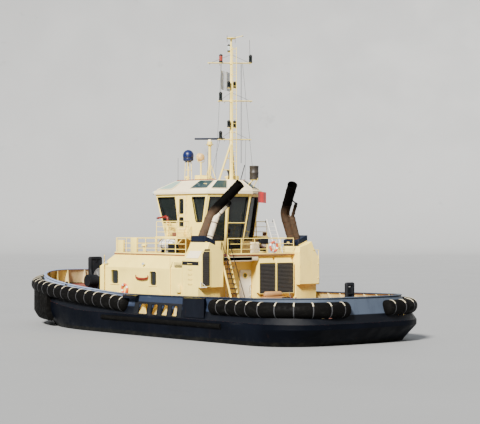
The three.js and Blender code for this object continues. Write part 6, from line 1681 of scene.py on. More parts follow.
class TUGBOAT_OT_wheelhouse(bpy.types.Operator):
    """Wheelhouse: walls, window frames, panes, wipers, helm console and chair"""
    bl_idname = "tugboat.wheelhouse"
    bl_label = "Wheelhouse"

    def execute(self, context):
        shell = node_copy("wheelhouse", "wheelhouse_shell", "cream", bevel=0.02)

        def inner_faces(centres, normals):
            """1 where a face above 6.4 m looks towards the wheelhouse's middle."""
            looks = np.einsum("ij,ij->i", normals[:, :2], centres[:, :2] - np.array([-0.7, 0.0]))
            return np.where((looks < -0.25) & (centres[:, 2] > 6.4), 1, 0)
        paint_faces(shell, ("cream", "cabin dark"), inner_faces)
        finish_node("tinted glass", "wheelhouse_glass_fore", "wheelhouse_glass_aft")
        gaskets, wipers = [], []
        for row in WHEELHOUSE_WINDOWS:
            c = window_corners(*row)
            normal = outward_normal(c)
            shapes = [gasket_loop(c, 0.014, sizes().gasket, 0.05)]
            shapes += [mirrored(shapes[0])] if 0 <= row[0] < 6 else []
            gaskets += shapes
            if row[0] in (4, 5, 6):
                middle, low = (c[0] + c[1]) / 2, (c[2] + c[3]) / 2
                tip = middle + (low - middle) * 0.72 + (c[1] - c[0]) * 0.18
                arm = rods([middle + normal * 0.07,
                            middle + (low - middle) * 0.30 + normal * 0.03 + (c[1] - c[0]) * 0.12,
                            middle],
                           [tip + normal * 0.035, tip + (low - middle) * 0.1 + normal * 0.03, middle + normal * 0.09],
                           [0.012, 0.014, 0.03], 8)
                wipers += [arm, mirrored(arm)] if row[0] < 6 else [arm]
        piece("window_gaskets", [(joined(*gaskets), "gasket")])
        piece("window_wipers", [(joined(*wipers), "lamp black")])
        # Step under each wheelhouse door, seam bars at the panel corners, a vent and the after window's mullion
        steps = slabs([(-1.7, 2.44, WING_Z), (-1.62, 2.44, 6.36)], [(-0.8, 2.72, 6.36), (-0.88, 2.62, 6.58)], 0.012)
        seams = [rods([wheelhouse_corner(k, 5.08)], [wheelhouse_corner(k, 8.88)], 0.022, 10) for k in range(7)]
        a, b = wheelhouse_corner(-1, 7.05), wheelhouse_corner(0, 7.05)
        mullion = rods([a + unit(b - a) * 0.1 + np.array([-0.01, 0, 0])],
                       [b - unit(b - a) * 0.1 + np.array([-0.01, 0, 0])], 0.03, 10)
        vent = slabs([(-0.4, 2.40, 6.25)], [(0.1, 2.49, 6.65)], 0.02)
        piece("wheelhouse_trim", [(both(steps, *seams, vent), "cream"), (mullion, "cream")])
        self.helm()
        return {"FINISHED"}

    def helm(self):
        """Console with screens, levers and keys, and the chair with its two stuffed cushions."""
        node_copy("helm_console", "helm_console_shell", "console grey", bevel=0.02)
        screens, keys, levers = [], [], []
        for y in (-0.8, -0.3, 0.3, 0.8):
            centre = np.array([1.10, y, 7.40])
            across, up = np.array([0, 0.17, 0]), unit(np.array([1.25 - 0.9, 0, 7.5 - 7.25])) * 0.12
            lift = unit(np.cross(up, across)) * -0.012
            lift = lift if lift[2] > 0 else -lift
            screens.append(plate([centre - across - up + lift, centre + across - up + lift, centre + across + up + lift,
                                  centre - across + up + lift], 0.02))
        grid = np.array([(0.96 + 0.03 * i, y, 7.30 + 0.0214 * i) for i in range(2)
                         for y in np.arange(-1.05, 1.06, 0.07)])
        keys.append(rods(grid, grid + np.array([-0.012, 0, 0.022]), 0.012, 8))
        for y in (-0.55, 0.55):
            levers.append(rods([(1.05, y, 7.34)], [(0.99, y, 7.5)], 0.016, 10))
            levers.append(ball((0.985, y, 7.51), 0.035, 16))
        piece("helm_controls", [(joined(*screens), "screen"), (joined(*keys), "lamp black"),
                                (joined(*levers), "steel grey")])
        base = joined(turned([(0, BRIDGE_FLOOR_Z), (0.28, BRIDGE_FLOOR_Z), (0.28, 6.52), (0.22, 6.535), (0.06, 6.56),
                              (0.06, 6.97), (0, 6.97)], sides=36),
                      torus((0, 0, 6.68), (0, 0, 1), 0.19, 0.014, 32, 8),
                      rods([(0, -0.19, 6.68), (-0.19, 0, 6.68)], [(0, 0.19, 6.68), (0.19, 0, 6.68)], 0.012),
                      slabs([(-0.22, -0.22, 6.965)], [(0.22, 0.22, 6.985)], 0.008))
        arms = tube(bend([(-0.16, 0.262, 7.02), (-0.16, 0.262, 7.24), (0.16, 0.262, 7.24)], 0.06), 0.022, 10)
        piece("helm_chair_base", [(base, "steel grey"), (both(arms), "lamp black")])
        seat = piece("helm_chair_seat", [(cushion((-0.255, -0.265, 6.985), (0.265, 0.265, 7.105), 0.4, 3),
                                          "seat leather")],
                     replaces=("helm_chair",), sharp=75)
        shape = cushion((0, -0.245, -0.065), (0.79, 0.245, 0.065), 0.4, 4)
        turned_up = np.stack([-0.265 - shape[0][:, 2], shape[0][:, 1], 7.015 + shape[0][:, 0]], axis=1)
        back = piece("helm_chair_back", [(outward((turned_up, shape[1])), "seat leather")],
                     sharp=75)
        for obj in (seat, back):
            soft = obj.modifiers.new("smooth", "SUBSURF")
            soft.levels = soft.render_levels = 1


class TUGBOAT_OT_wheelhouse_doors(bpy.types.Operator):
    """Wheelhouse side doors: leaf with two rounded panes, gasket, handle and hinges"""
    bl_idname = "tugboat.wheelhouse_doors"
    bl_label = "Wheelhouse doors"

    def execute(self, context):
        leaf = rounded_rectangle(-1.66, 6.62, -0.84, 8.76, 0.12)
        holes = [rounded_rectangle(-1.43, 7.66, -1.03, 8.56, 0.09), rounded_rectangle(-1.43, 6.81, -1.03, 7.39, 0.09)]
        for name, side in SIDES:
            obj = piece("wheelhouse_door_leaf_" + name,
                        [(mirrored(extruded(leaf, along_y, 2.458, 2.508), side), "panel cream")],
                        body="wheelhouse_door_leaf_" + name, replaces=("wheelhouse_door_" + name,),
                        sharp=35)
            cut(obj, mirrored(joined(*(extruded(h, along_y, 2.3, 2.7) for h in holes)), side))
            panes = joined(*(extruded(h, along_y, 2.474, 2.482) for h in holes))
            rims = joined(*(frame_ring(h, along_y, 2.50, 0.035, 0.018) for h in holes))
            edge = frame_ring(rounded_rectangle(-1.62, 6.66, -0.88, 8.72, 0.10), along_y, 2.50, 0.03, 0.014)
            handle = tube(bend([(-0.93, 2.50, 7.5), (-0.93, 2.56, 7.5), (-0.93, 2.56, 7.72), (-0.93, 2.50, 7.72)],
                               0.02), 0.012, 8)
            hinges = rods([(-1.69, 2.50, z) for z in (6.95, 7.7, 8.45)],
                          [(-1.69, 2.50, z + 0.14) for z in (6.95, 7.7, 8.45)],
                          0.018, 10)
            piece("wheelhouse_door_fittings_" + name, [
                (mirrored(panes, side), "port glass"), (mirrored(rims, side), "gasket"),
                (mirrored(edge, side), "pale cream"),
                (mirrored(handle, side), "steel grey"), (mirrored(hinges, side), "cream")],
                body="wheelhouse_door_leaf_" + name)
        return {"FINISHED"}


class TUGBOAT_OT_roof(bpy.types.Operator):
    """Wheelhouse roof: sloping plates, skylights, eaves band, guard bars, horn, lockers and aerials"""
    bl_idname = "tugboat.roof"
    bl_label = "Roof"

    def execute(self, context):
        node_copy("wheelhouse_roof", "roof_plates", "pale cream", bevel=0.015)
        top = [(-3.55, 0.52), (-3.15, 1.15), (-1.83, 1.5), (-0.35, 1.5), (0.65, 1.45), (1.15, 1.0), (1.4, 0.42)]
        eave = [np.array([x + dx, y + dy]) for (_, _, x, y), dx, dy in zip(
            WHEELHOUSE_CORNERS, (-0.12, -0.09, 0.0, 0.0, 0.05, 0.1, 0.12), (0.03, 0.09, 0.13, 0.13, 0.12, 0.08, 0.02))]
        lights = {"skylight green": [], "skylight dark": []}
        rims = []
        for k, lo, hi, finish in ((3, 0.30, 0.95, "skylight green"), (4, 0.12, 0.88, "skylight green"),
                                  (1, 0.10, 0.90, "skylight dark"), (0, 0.12, 0.88, "skylight dark")):
            a, b = np.array([*eave[k], 9.14]), np.array([*eave[k + 1], 9.14])
            c, d = np.array([*top[k + 1], ROOF_Z]), np.array([*top[k], ROOF_Z])
            at = lambda s, t: (a * (1 - s) + b * s) * (1 - t) + (d * (1 - s) + c * s) * t
            quad = np.array([at(lo, 0.92), at(hi, 0.92), at(hi, 0.14), at(lo, 0.14)])
            normal = unit(np.cross(quad[1] - quad[0], quad[3] - quad[0]))
            normal = normal if normal[2] > 0 else -normal
            pane = rounded_quad(quad, 0.06)
            lights[finish].append(outward(skin(np.stack([pane + normal * 0.004, pane + normal * 0.022]))))
            grown = rounded_quad(quad.mean(axis=0) + (quad - quad.mean(axis=0)) * 1.06, 0.07)
            rows = np.stack([grown, grown + normal * 0.034, pane + normal * 0.034, pane], axis=1)
            rims.append(outward(skin(rows, close_rows=True)))
        for k in lights:
            lights[k] = both(*lights[k])
        piece("roof_skylights", [(lights["skylight green"], "skylight green"),
                                 (lights["skylight dark"], "skylight dark"),
                                 (both(*rims), "pale cream")])
        band = [np.array([*p, 9.0]) for p in eave]
        bars = both(*[rods([p * 1.0], [q * 1.0], 0.022, 10) for p, q in zip(band[:-1], band[1:])])
        edge = [np.array([*p, 9.82]) for p in top]
        red = both(*[rods([p], [q], 0.03, 10) for p, q in zip(edge[1:-1], edge[2:])])
        boxes = slabs([(-0.85, 0.2, 9.78), (-2.3, 0.85, 9.78), (0.1, -1.2, 9.78), (-2.9, -0.9, 9.78)],
                      [(-0.3, 0.75, 10.16), (-1.6, 1.3, 10.05), (0.6, -0.7, 10.02), (-2.4, -0.35, 10.1)], 0.03)
        vents = joined(*[turned([(0, 0), (0.09, 0), (0.09, 0.2), (0.17, 0.24), (0.17, 0.3), (0.05, 0.36), (0, 0.37)],
                                (x, y, 9.78), sides=24) for x, y in ((0.7, 0.6), (0.7, -0.4), (-1.4, -1.1))])
        horn = turned([(0, 0), (0.05, 0), (0.05, 0.3), (0.06, 0.4), (0.14, 0.62), (0.14, 0.64), (0.05, 0.55), (0, 0.5)],
                      (-3.02, 0.04, 9.78), (0, 0, 1), 28)
        short = rods([(-3.4, -0.61, 9.78), (-2.5, 1.35, 9.78), (0.9, 1.2, 9.75)],
                     [(-3.4, -0.95, 10.77), (-2.5, 1.35, 11.6), (0.9, 1.2, 11.3)],
                     [0.03, 0.012, 0.012], 8)
        hand = tube(bend([(-2.9, 1.62, 9.35), (-2.9, 1.75, 9.55), (0.4, 1.75, 9.55), (0.4, 1.62, 9.35)], 0.1), 0.02, 8)
        lamps = joined(*[turned([(0, 0), (0.07, 0), (0.13, 0.1), (0.13, 0.18), (0, 0.2)], (x, y, 9.06),
                                (x * 0.2 + dx, y * 0.25, -0.25), 20)
                         for x, y, dx in ((2.35, 1.95, 1.0), (2.35, -1.95, 1.0))])
        piece("roof_gear", [(joined(boxes, vents), "cream"), (bars, "pale cream"), (red, "signal red"),
                            (joined(horn, short), "lamp black"), (both(hand), "cream"), (lamps, "lens clear")])
        return {"FINISHED"}


class TUGBOAT_OT_wings(bpy.types.Operator):
    """Wing platforms with rails, fire monitors on their stands, and life rafts in cradles"""
    bl_idname = "tugboat.wings"
    bl_label = "Wings"

    def execute(self, context):
        chosen = sizes()
        rail = guard_rail([(-2.34, 2.76), (-2.34, 3.69), (-0.16, 3.69), (-0.16, 2.62)], WING_Z - 0.01, chosen)
        floor = slabs([(-2.4, 2.56, 6.09)], [(-0.1, 3.75, WING_Z)], 0.015)
        bars = slabs([(-2.34, 2.6 + 0.12 * k, WING_Z) for k in range(10)],
                     [(-0.16, 2.625 + 0.12 * k, 6.156) for k in range(10)], 0.003)
        edge = slabs([(-2.405, 3.72, 6.05), (-2.405, 2.56, 6.05), (-0.13, 2.56, 6.05)],
                     [(-0.095, 3.755, 6.19), (-2.37, 3.75, 6.19), (-0.095, 3.75, 6.19)], 0.01)
        legs = slabs([(-2.385, 3.645, 5.065), (-0.205, 3.645, 5.065)], [(-2.295, 3.735, 6.1), (-0.115, 3.735, 6.1)],
                     0.02)
        braces = rods([(-2.34, 3.66, 5.7), (-0.16, 3.66, 5.7)], [(-2.34, 3.2, 6.08), (-0.16, 3.2, 6.08)], 0.03, 8)
        stand = turned([(0, 6.14), (0.19, 6.14), (0.19, 6.17), (0.16, 6.185), (0.09, 6.2), (0.09, 6.95), (0.14, 6.98),
                        (0.14, 7.05), (0, 7.05)], (-0.9, 3.35, 0), sides=32)
        studs = joined(*[rods([(-0.9 + 0.16 * math.cos(a), 3.35 + 0.16 * math.sin(a), 6.16)],
                              [(-0.9 + 0.16 * math.cos(a), 3.35 + 0.16 * math.sin(a), 6.2)], 0.016, 6)
                         for a in np.arange(8) * math.pi / 4])
        brown = slabs([(-2.28, 3.66, 6.2)], [(-1.9, 3.745, 6.44)], 0.03)
        for name, side in SIDES:
            piece("wing_deck_" + name, [
                (mirrored(joined(rail, floor, edge, legs, braces), side), "cream"), (mirrored(bars, side), "deck red"),
                (mirrored(brown, side), "rust brown")], replaces=("wing_platform_" + name,))
            piece("monitor_riser_" + name, [(mirrored(joined(stand, studs), side), "cream")],
                  replaces=("monitor_stand_" + name,))
            self.monitor(name, side)
            self.raft(name, side)
        return {"FINISHED"}

    def monitor(self, name, side):
        """Fire monitor: swivel base, bent body, tapered barrel with flanges, nozzle, geared handwheel and levers."""
        foot = np.array([-0.9, 3.35, 7.0503])
        at = lambda *p: foot + np.array(p)
        base = turned([(0, 0), (0.12, 0), (0.12, 0.05), (0.10, 0.07), (0.10, 0.13), (0.11, 0.16), (0, 0.16)], foot,
                      sides=32)
        elbow = tube(bend([at(0, 0, 0.10), at(0, 0, 0.34), at(0.25, 0, 0.40)], 0.14, 9), 0.08, 20)
        way = unit(np.array([0.85, 0, -0.075]))
        barrel = turned([(0, 0), (0.10, 0), (0.10, 0.03), (0.072, 0.04), (0.072, 0.1), (0.055, 0.78), (0.075, 0.79),
                         (0.075, 0.83), (0.055, 0.84), (0, 0.86)], at(0.2, 0, 0.39), way, 28)
        nozzle = turned([(0.05, 0), (0.074, 0.03), (0.074, 0.1), (0.058, 0.13), (0.058, 0.18), (0.044, 0.18),
                         (0.044, 0.06),
                         (0, 0.06)], at(1.0, 0, 0.319), (1, 0, -0.09), 28)
        wheel = torus(at(-0.17, 0, 0.26), (1, 0, 0), 0.085, 0.011, 28, 8)
        spokes = rods([at(-0.17, -0.08, 0.26), at(-0.17, 0, 0.18)], [at(-0.17, 0.08, 0.26), at(-0.17, 0, 0.34)], 0.008)
        shaft = rods([at(-0.17, 0, 0.26), at(0.05, 0, 0.44)], [at(-0.05, 0, 0.26), at(-0.12, 0, 0.50)], [0.016, 0.011])
        piece("monitor_gun_" + name, [
            (mirrored(joined(base, elbow, barrel), side), "signal red"), (mirrored(nozzle, side), "steel grey"),
            (mirrored(joined(wheel, spokes, shaft), side), "lamp black")],
            body="monitor_" + name, replaces=("fire_monitor_" + name,))

    def raft(self, name, side):
        """Life raft canister: two turned half shells with a belt, ribs, bands, and its cradle with straps."""
        centre = np.array([-1.5, 3.72, 5.7])
        profile = [(0, -0.68), (0.20, -0.68), (0.235, -0.665), (0.27, -0.62), (0.285, -0.55), (0.292, -0.4),
                   (0.30, -0.38),
                   (0.30, -0.34), (0.292, -0.32), (0.296, -0.12), (0.318, -0.05), (0.318, 0.05), (0.296, 0.12),
                   (0.292, 0.32), (0.30, 0.34), (0.30, 0.38), (0.292, 0.4), (0.285, 0.55), (0.27, 0.62), (0.235, 0.665),
                   (0.20, 0.68), (0, 0.68)]
        shell = turned(profile, centre, (1, 0, 0), 44)
        bands = joined(*[collar(centre + np.array([dx, 0, 0]), (1, 0, 0), 0.300, 0.05, 0.008, 44)
                         for dx in (-0.36, 0.36)])
        cap = turned([(0, 0), (0.05, 0), (0.05, 0.012), (0, 0.014)], centre + np.array([0.45, 0.24, 0.13]),
                     (0, 0.85, 0.5), 18)
        low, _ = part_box("life_raft_port")
        z = float(low[2])
        cradle = [slabs([(-1.5 + dx - 0.035, 3.47, z)], [(-1.5 + dx + 0.035, 3.97, 5.46)], 0.012) for dx in (-0.4, 0.4)]
        cradle += [rods([(-1.5 + dx, 3.50, 5.4), (-1.5 + dx, 3.94, 5.4)],
                        [(-1.5 + dx, 3.44, 5.75), (-1.5 + dx, 4.0, 5.75)], 0.022, 8)
                   for dx in (-0.4, 0.4)]
        piece("life_raft_canister_" + name, [
            (mirrored(shell, side), "raft white"), (mirrored(bands, side), "lashing grey"),
            (mirrored(cap, side), "lamp black"),
            (mirrored(joined(*cradle), side), "gear black")], replaces=("life_raft_" + name,))


# Mast, radar, lights and flags

# Lamps on the mast: place by the mast's x, y, foot z, height, radius, finish of the lens
LAMPS = (
    (0.15, 0.06, 18.0, 0.52, 0.095, "lens clear"), (0.0, 0.84, 17.25, 0.58, 0.105, "lamp red"),
    (0.0, -1.6, 17.4, 0.56, 0.10, "lamp black"), (-0.06, 0.24, 15.68, 0.45, 0.10, "lamp black"),
    (-0.06, -0.24, 15.68, 0.45, 0.10, "lamp black"), (0.0, 0.86, 14.82, 0.60, 0.10, "lamp black"),
    (-0.06, 0.24, 13.15, 0.48, 0.10, "lamp black"), (-0.06, -0.24, 13.15, 0.48, 0.10, "lamp black"),
    (0.0, 0.86, 12.37, 0.56, 0.10, "lamp black"),
)
YARDS = ((17.18, 17.40, 1.87, -1.64), (14.80, 14.94, 1.07, -1.72), (12.35, 12.44, 1.07, -1.64))


def lantern(x, y, z, height, radius):
    """Signal lamp: black foot and cap round a lens barrel with two ribs; returns the housing and the lens."""
    h, r = height, radius * 1.15
    foot = turned([(0, 0), (r * 0.7, 0), (r, 0.08 * h), (r, 0.22 * h), (0, 0.24 * h)], (x, y, z), sides=20)
    cap = turned([(0, 0.74 * h), (r, 0.76 * h), (r, 0.86 * h), (r * 0.55, 0.95 * h), (0.018, 0.97 * h), (0.018, h),
                  (0, h)],
                 (x, y, z), sides=20)
    guards = rods([(x + r * 0.85 * math.cos(a), y + r * 0.85 * math.sin(a), z + 0.2 * h) for a in (0.8, 2.4, 3.9, 5.5)],
                  [(x + r * 0.85 * math.cos(a), y + r * 0.85 * math.sin(a), z + 0.8 * h)
                   for a in (0.8, 2.4, 3.9, 5.5)], 0.007, 6)
    lens = turned([(0, 0.2 * h), (r * 0.9, 0.2 * h), (r * 0.97, 0.36 * h), (r * 0.9, 0.48 * h), (r * 0.97, 0.6 * h),
                   (r * 0.9, 0.78 * h), (0, 0.78 * h)], (x, y, z), sides=20)
    return joined(foot, cap, guards), lens


class TUGBOAT_OT_mast(bpy.types.Operator):
    """Pole mast with legs, yards, ladder, lamps, stays, halyards and aerials"""
    bl_idname = "tugboat.mast"
    bl_label = "Mast"

    def execute(self, context):
        x = MAST_X
        pole = turned([(0, ROOF_Z), (0.2, ROOF_Z), (0.2, 9.83), (0.12, 9.86), (0.105, 9.9), (0.088, 12.0),
                       (0.098, 12.02), (0.098, 12.12),
                       (0.084, 12.14), (0.072, 15.4), (0.08, 15.42), (0.08, 15.5), (0.068, 15.52), (0.058, 18.82),
                       (0.27, 18.84), (0.3, 18.87), (0.3, 18.91), (0.1, 18.94), (0, 18.95)],
                      (x, 0, 0), sides=28)
        legs = rods([(x + 0.45, 0.65, 9.75), (x + 0.45, -0.65, 9.75)], [(x, 0.06, 12.05), (x, -0.06, 12.05)], 0.06, 16)
        cross = rods([(x + 0.31, -0.46, 10.45), (x + 0.17, -0.26, 11.2)],
                     [(x + 0.31, 0.46, 10.45), (x + 0.17, 0.26, 11.2)], 0.03, 10)
        yards, fittings = [], []
        for zp, zs, yp, ys in YARDS:
            yards.append(rods([(x, 0, (zp + zs) / 2), (x, 0, (zp + zs) / 2)], [(x, yp, zp), (x, ys, zs)], 0.036, 12))
            yards.append(collar((x, 0, (zp + zs) / 2), (0, 0, 1), 0.075, 0.16, 0.03, 24))
            mid = (zp + zs) / 2
            fittings.append(rods([(x, 0, mid + 0.55), (x, 0, mid + 0.55)],
                                 [(x, yp * 0.86, zp + 0.03), (x, ys * 0.86, zs + 0.03)], 0.010, 6))
            fittings.append(joined(*[torus((x, y, z - 0.06), (1, 0, 0), 0.03, 0.008, 14, 6)
                                     for y, z in ((yp * 0.93, zp), (yp * 0.5, zp), (ys * 0.93, zs), (ys * 0.58, zs))]))
        ladder = rods([(x - 0.35, -0.15, 9.85), (x - 0.35, 0.15, 9.85)],
                      [(x - 0.35, -0.15, 18.3), (x - 0.35, 0.15, 18.3)], 0.021, 8)
        rungs = np.linspace(10.1, 18.2, 28)
        steps = rods(stacked(x - 0.35, -0.15, rungs), stacked(x - 0.35, 0.15, rungs), 0.012, 8)
        ties = rods([(x - 0.35, s * 0.15, z) for z in (11.0, 12.9, 14.8, 16.6, 18.2) for s in (-1, 1)],
                    [(x - 0.03, s * 0.03, z - 0.05) for z in (11.0, 12.9, 14.8, 16.6, 18.2) for s in (-1, 1)], 0.014, 8)
        top = rods([(x, -0.33, 18.91), (x, 0, 18.85), (x - 0.42, -0.62, 19.0)],
                   [(x, 0.33, 18.91), (x - 0.42, -0.62, 19.05), (x - 0.42, -0.62, 19.055)],
                   0.02, 10)
        vane = joined(turned([(0, 0), (0.04, 0.01), (0.03, 0.05), (0, 0.06)], (x - 0.42, -0.62, 18.99), sides=16),
                      rods([(x, 0.33, 18.6), (x, -0.33, 18.6)], [(x, 0.33, 19.04), (x, -0.33, 19.04)], 0.012, 8))
        brackets = rods([(x, 0.0, z) for _, y, z, *_ in LAMPS if abs(y) < 0.5],
                        [(x + dx, y, z + 0.02) for dx, y, z, *_ in LAMPS if abs(y) < 0.5], 0.026, 8)
        seats = joined(*[turned([(0, 0), (0.09, 0), (0.09, 0.025), (0, 0.03)], (x + dx, y, z - 0.02), sides=16)
                         for dx, y, z, *_ in LAMPS])
        housings, lenses = zip(*(lantern(x + dx, y, z, h, r) for dx, y, z, h, r, _ in LAMPS))
        stays = rods([(x, -0.94, 17.3), (x, -0.80, 17.30), (x, -0.86, 17.30), (x, 0.84, 17.25), (x, 0.80, 17.2),
                      (x, 0.9, 12.36), (x, -1.2, 12.4)],
                     [(-3.56, -1.45, 10.72), (x, -0.80, 10.9), (x - 0.02, -0.84, 10.9), (x, 0.84, 14.88),
                      (x + 0.1, 1.2, 9.9),
                      (x + 0.5, 1.35, ROOF_Z), (-3.0, -1.3, ROOF_Z)], 0.010, 6)
        whip = rods([(x, -1.55, 17.42)], [(x, -1.52, 18.9)], 0.012, 8)
        cables = joined(tube(hanging((x + 0.1, 0.0, 17.2), (x + 0.13, 0.0, 12.6), -0.05), 0.016, 8),
                        rods([(x + 0.09, 0.05, 9.9)], [(x + 0.075, 0.04, 15.4)], 0.018, 8))
        parts = [(joined(pole, legs, cross, *yards, ladder, steps, ties, top, brackets, seats), "cream"),
                 (joined(*housings, *fittings, vane, whip, stays, cables), "lamp black")]
        for finish in ("lens clear", "lamp red"):
            chosen = [lens for lens, row in zip(lenses, LAMPS) if row[5] == finish]
            parts.append((joined(*chosen), finish))
        parts.append((joined(*[lens for lens, row in zip(lenses, LAMPS) if row[5] == "lamp black"]), "port glass"))
        piece("mast_steel", parts, replaces=("mast",))
        return {"FINISHED"}


class TUGBOAT_OT_radar(bpy.types.Operator):
    """Radar: post with platform and braces, gearbox and the turning scanner"""
    bl_idname = "tugboat.radar"
    bl_label = "Radar"

    def execute(self, context):
        at = (-0.95, 0.0, 0.0)
        post = turned([(0, ROOF_Z), (0.22, ROOF_Z), (0.22, 9.83), (0.11, 9.86), (0.095, 9.9), (0.085, 12.0),
                       (0.13, 12.1), (0.24, 12.14),
                       (0.24, 12.17), (0.16, 12.18), (0.16, 12.33), (0.13, 12.359), (0, 12.359)], at, sides=32)
        braces = rods([(-0.95 + 0.45 * c, 0.45 * s, ROOF_Z) for c, s in ((1, 0), (-0.5, 0.87), (-0.5, -0.87))],
                      [(-0.95 + 0.06 * c, 0.06 * s, 10.9) for c, s in ((1, 0), (-0.5, 0.87), (-0.5, -0.87))], 0.025, 10)
        lip = torus((-0.95, 0, 12.5 - 0.32), (0, 0, 1), 0.235, 0.014, 32, 8)
        piece("radar_post_steel", [(joined(post, braces), "cream"), (lip, "steel grey")],
              replaces=("radar_post",))
        # The bar's section is a rounded rectangle that shrinks towards both tips, turned 51 degrees from the bow
        section = rounded_rectangle(-0.075, -0.062, 0.075, 0.062, 0.03)
        along = np.array([-0.995, -0.985, -0.95, -0.2, 0.2, 0.95, 0.985, 0.995])
        grow = np.array([0.55, 0.86, 1.0, 1.0, 1.0, 1.0, 0.86, 0.55])[:, None]
        rows = np.stack([np.broadcast_to(along[:, None], (8, len(section))), section[:, 0] * grow,
                         section[:, 1] * grow], axis=-1)
        c, s = math.cos(math.radians(51)), math.sin(math.radians(51))
        rows = rows @ np.array([[c, s, 0], [-s, c, 0], [0, 0, 1]]) + np.array([-0.95, 0, 12.535])
        hub = turned([(0, 12.3603), (0.14, 12.3603), (0.14, 12.38), (0.12, 12.4), (0.11, 12.46), (0.12, 12.5),
                      (0, 12.5)], at, sides=28)
        bar = outward(skin(rows))
        piece("radar_scanner_bar", [(bar, "funnel blue"), (hub, "pale cream")], body="scanner",
              replaces=("radar_scanner",))
        return {"FINISHED"}


class TUGBOAT_OT_roof_lights(bpy.types.Operator):
    """Satellite dome on its legs, searchlight in its yoke, and the dark signal drum on its arm"""
    bl_idname = "tugboat.roof_lights"
    bl_label = "Dome, searchlight and drum"

    def execute(self, context):
        a = np.linspace(0, math.pi / 2, 14)
        profile = [(0, 11.0), (0.16, 11.0), (0.2, 11.06), (0.31, 11.1), (0.345, 11.16), (0.35, 11.24), (0.335, 11.26),
                   (0.335, 11.32), (0.358, 11.34)]
        profile += list(zip(0.36 * np.cos(a), 11.46 + 0.36 * np.sin(a)))
        profile[-1] = (0, profile[-1][1])
        shell = turned(profile, (-0.06, 1.08, 0), sides=40)
        band = collar((-0.06, 1.08, 11.29), (0, 0, 1), 0.333, 0.045, 0.008, 40)
        spots = [(-0.06 + 0.17 * sx, 1.08 + 0.17 * sy) for sx in (-1, 1) for sy in (-1, 1)]
        legs = rods([(px, py, 9.82) for px, py in spots], [(px * 0.75 - 0.015, py * 0.75 + 0.27, 11.1)
                                                           for px, py in spots], 0.024, 10)
        feet = joined(*[turned([(0, 0), (0.06, 0), (0.06, 0.02), (0, 0.024)], (px, py, 9.795), sides=16)
                        for px, py in spots])
        ring = torus((-0.06, 1.08, 10.5), (0, 0, 1), 0.205, 0.014, 28, 8)
        piece("dome_shell", [(shell, "dome blue"), (band, "lamp black"), (joined(legs, feet, ring), "cream")],
              replaces=("satellite_dome",))

        at = (-0.66, 0.5, 11.34)
        body = turned([(0, -0.165), (0.14, -0.165), (0.2, -0.13), (0.235, -0.06), (0.25, 0.05), (0.262, 0.09),
                       (0.268, 0.16),
                       (0.25, 0.165), (0.245, 0.12), (0, 0.12)], at, (1, 0, 0), 36)
        glass_disc = turned([(0, 0.12), (0.245, 0.12), (0.2, 0.138), (0.1, 0.148), (0, 0.15)], at, (1, 0, 0), 36)
        yoke = tube(bend([(-0.66, 0.235, 11.34), (-0.66, 0.235, 11.02), (-0.66, 0.765, 11.02), (-0.66, 0.765, 11.34)],
                         0.12, 8), 0.02, 10)
        post = turned([(0, ROOF_Z), (0.12, ROOF_Z), (0.12, 9.83), (0.055, 9.86), (0.05, 10.95), (0.08, 10.98),
                       (0.08, 11.03), (0, 11.03)],
                      (-0.66, 0.5, 0), sides=24)
        piece("searchlight_body", [(body, "searchlight amber"), (glass_disc, "lens clear"),
                                   (joined(yoke, post), "cream")],
              replaces=("searchlight",))

        at = (-3.56, -1.6, 0)
        drum = turned([(0, 9.85), (0.27, 9.85), (0.30, 9.87), (0.30, 9.93), (0.29, 9.94), (0.29, 10.24),
                       (0.305, 10.26), (0.305, 10.31),
                       (0.29, 10.33), (0.29, 10.62), (0.305, 10.64), (0.305, 10.7), (0.27, 10.74), (0, 10.75)], at,
                       sides=40)
        handle = tube(bend([(-3.68, -1.6, 10.71), (-3.68, -1.6, 10.74), (-3.44, -1.6, 10.74), (-3.44, -1.6, 10.71)],
                           0.02), 0.01, 8)
        tray = turned([(0, 9.80), (0.24, 9.80), (0.24, 9.85), (0, 9.85)], at, sides=32)
        arm = rods([(-3.31, -1.40, 9.50), (-3.36, -1.3, 9.56)], [(-3.50, -1.56, 9.83), (-3.62, -1.52, 9.83)], 0.035, 12)
        piece("signal_drum_shell", [(joined(drum, handle), "drum brown"), (joined(tray, arm), "cream")],
              replaces=("signal_drum",))
        return {"FINISHED"}


def flag_sheet(name, finish, start, heading, fly, hoist, swing, waves, droop, node):
    """Flag hung from its hoist: its heading in plan swings as a sine of the distance along the fly, its points are the
    running sums of that heading's cosine and sine, and it droops in its own plane, so that its area stays its cut."""
    cols, rows = 97, 49
    u = np.linspace(0, 1, cols)
    middle = (u[1:] + u[:-1]) / 2
    phi = math.radians(heading) + swing * np.sin(2 * math.pi * waves * middle + 0.5)
    step = fly / (cols - 1)
    x = start[0] + np.concatenate([[0], np.cumsum(np.cos(phi))]) * step
    y = start[1] + np.concatenate([[0], np.cumsum(np.sin(phi))]) * step
    v = np.linspace(0, 1, rows)[:, None]
    z = start[2] - hoist * v - droop * fly * u[None, :]
    points = np.stack([np.broadcast_to(x, (rows, cols)), np.broadcast_to(y, (rows, cols)), z], axis=-1).reshape(-1, 3)
    obj = piece(name, [((points, [grid_faces(rows, cols)]), finish)], replaces=(node,), sharp=80)
    uv = obj.data.uv_layers.new(name="cloth")
    flat = np.stack(np.meshgrid(u * fly, np.linspace(0, hoist, rows)), axis=-1).reshape(-1, 2)
    corner = np.empty(len(obj.data.loops), dtype=np.int32)
    obj.data.loops.foreach_get("vertex_index", corner)
    uv.data.foreach_set("uv", flat[corner].ravel().astype(np.float32))
    thick = obj.modifiers.new("cloth", "SOLIDIFY")
    thick.thickness = 0.004
    thick.offset = 0.0


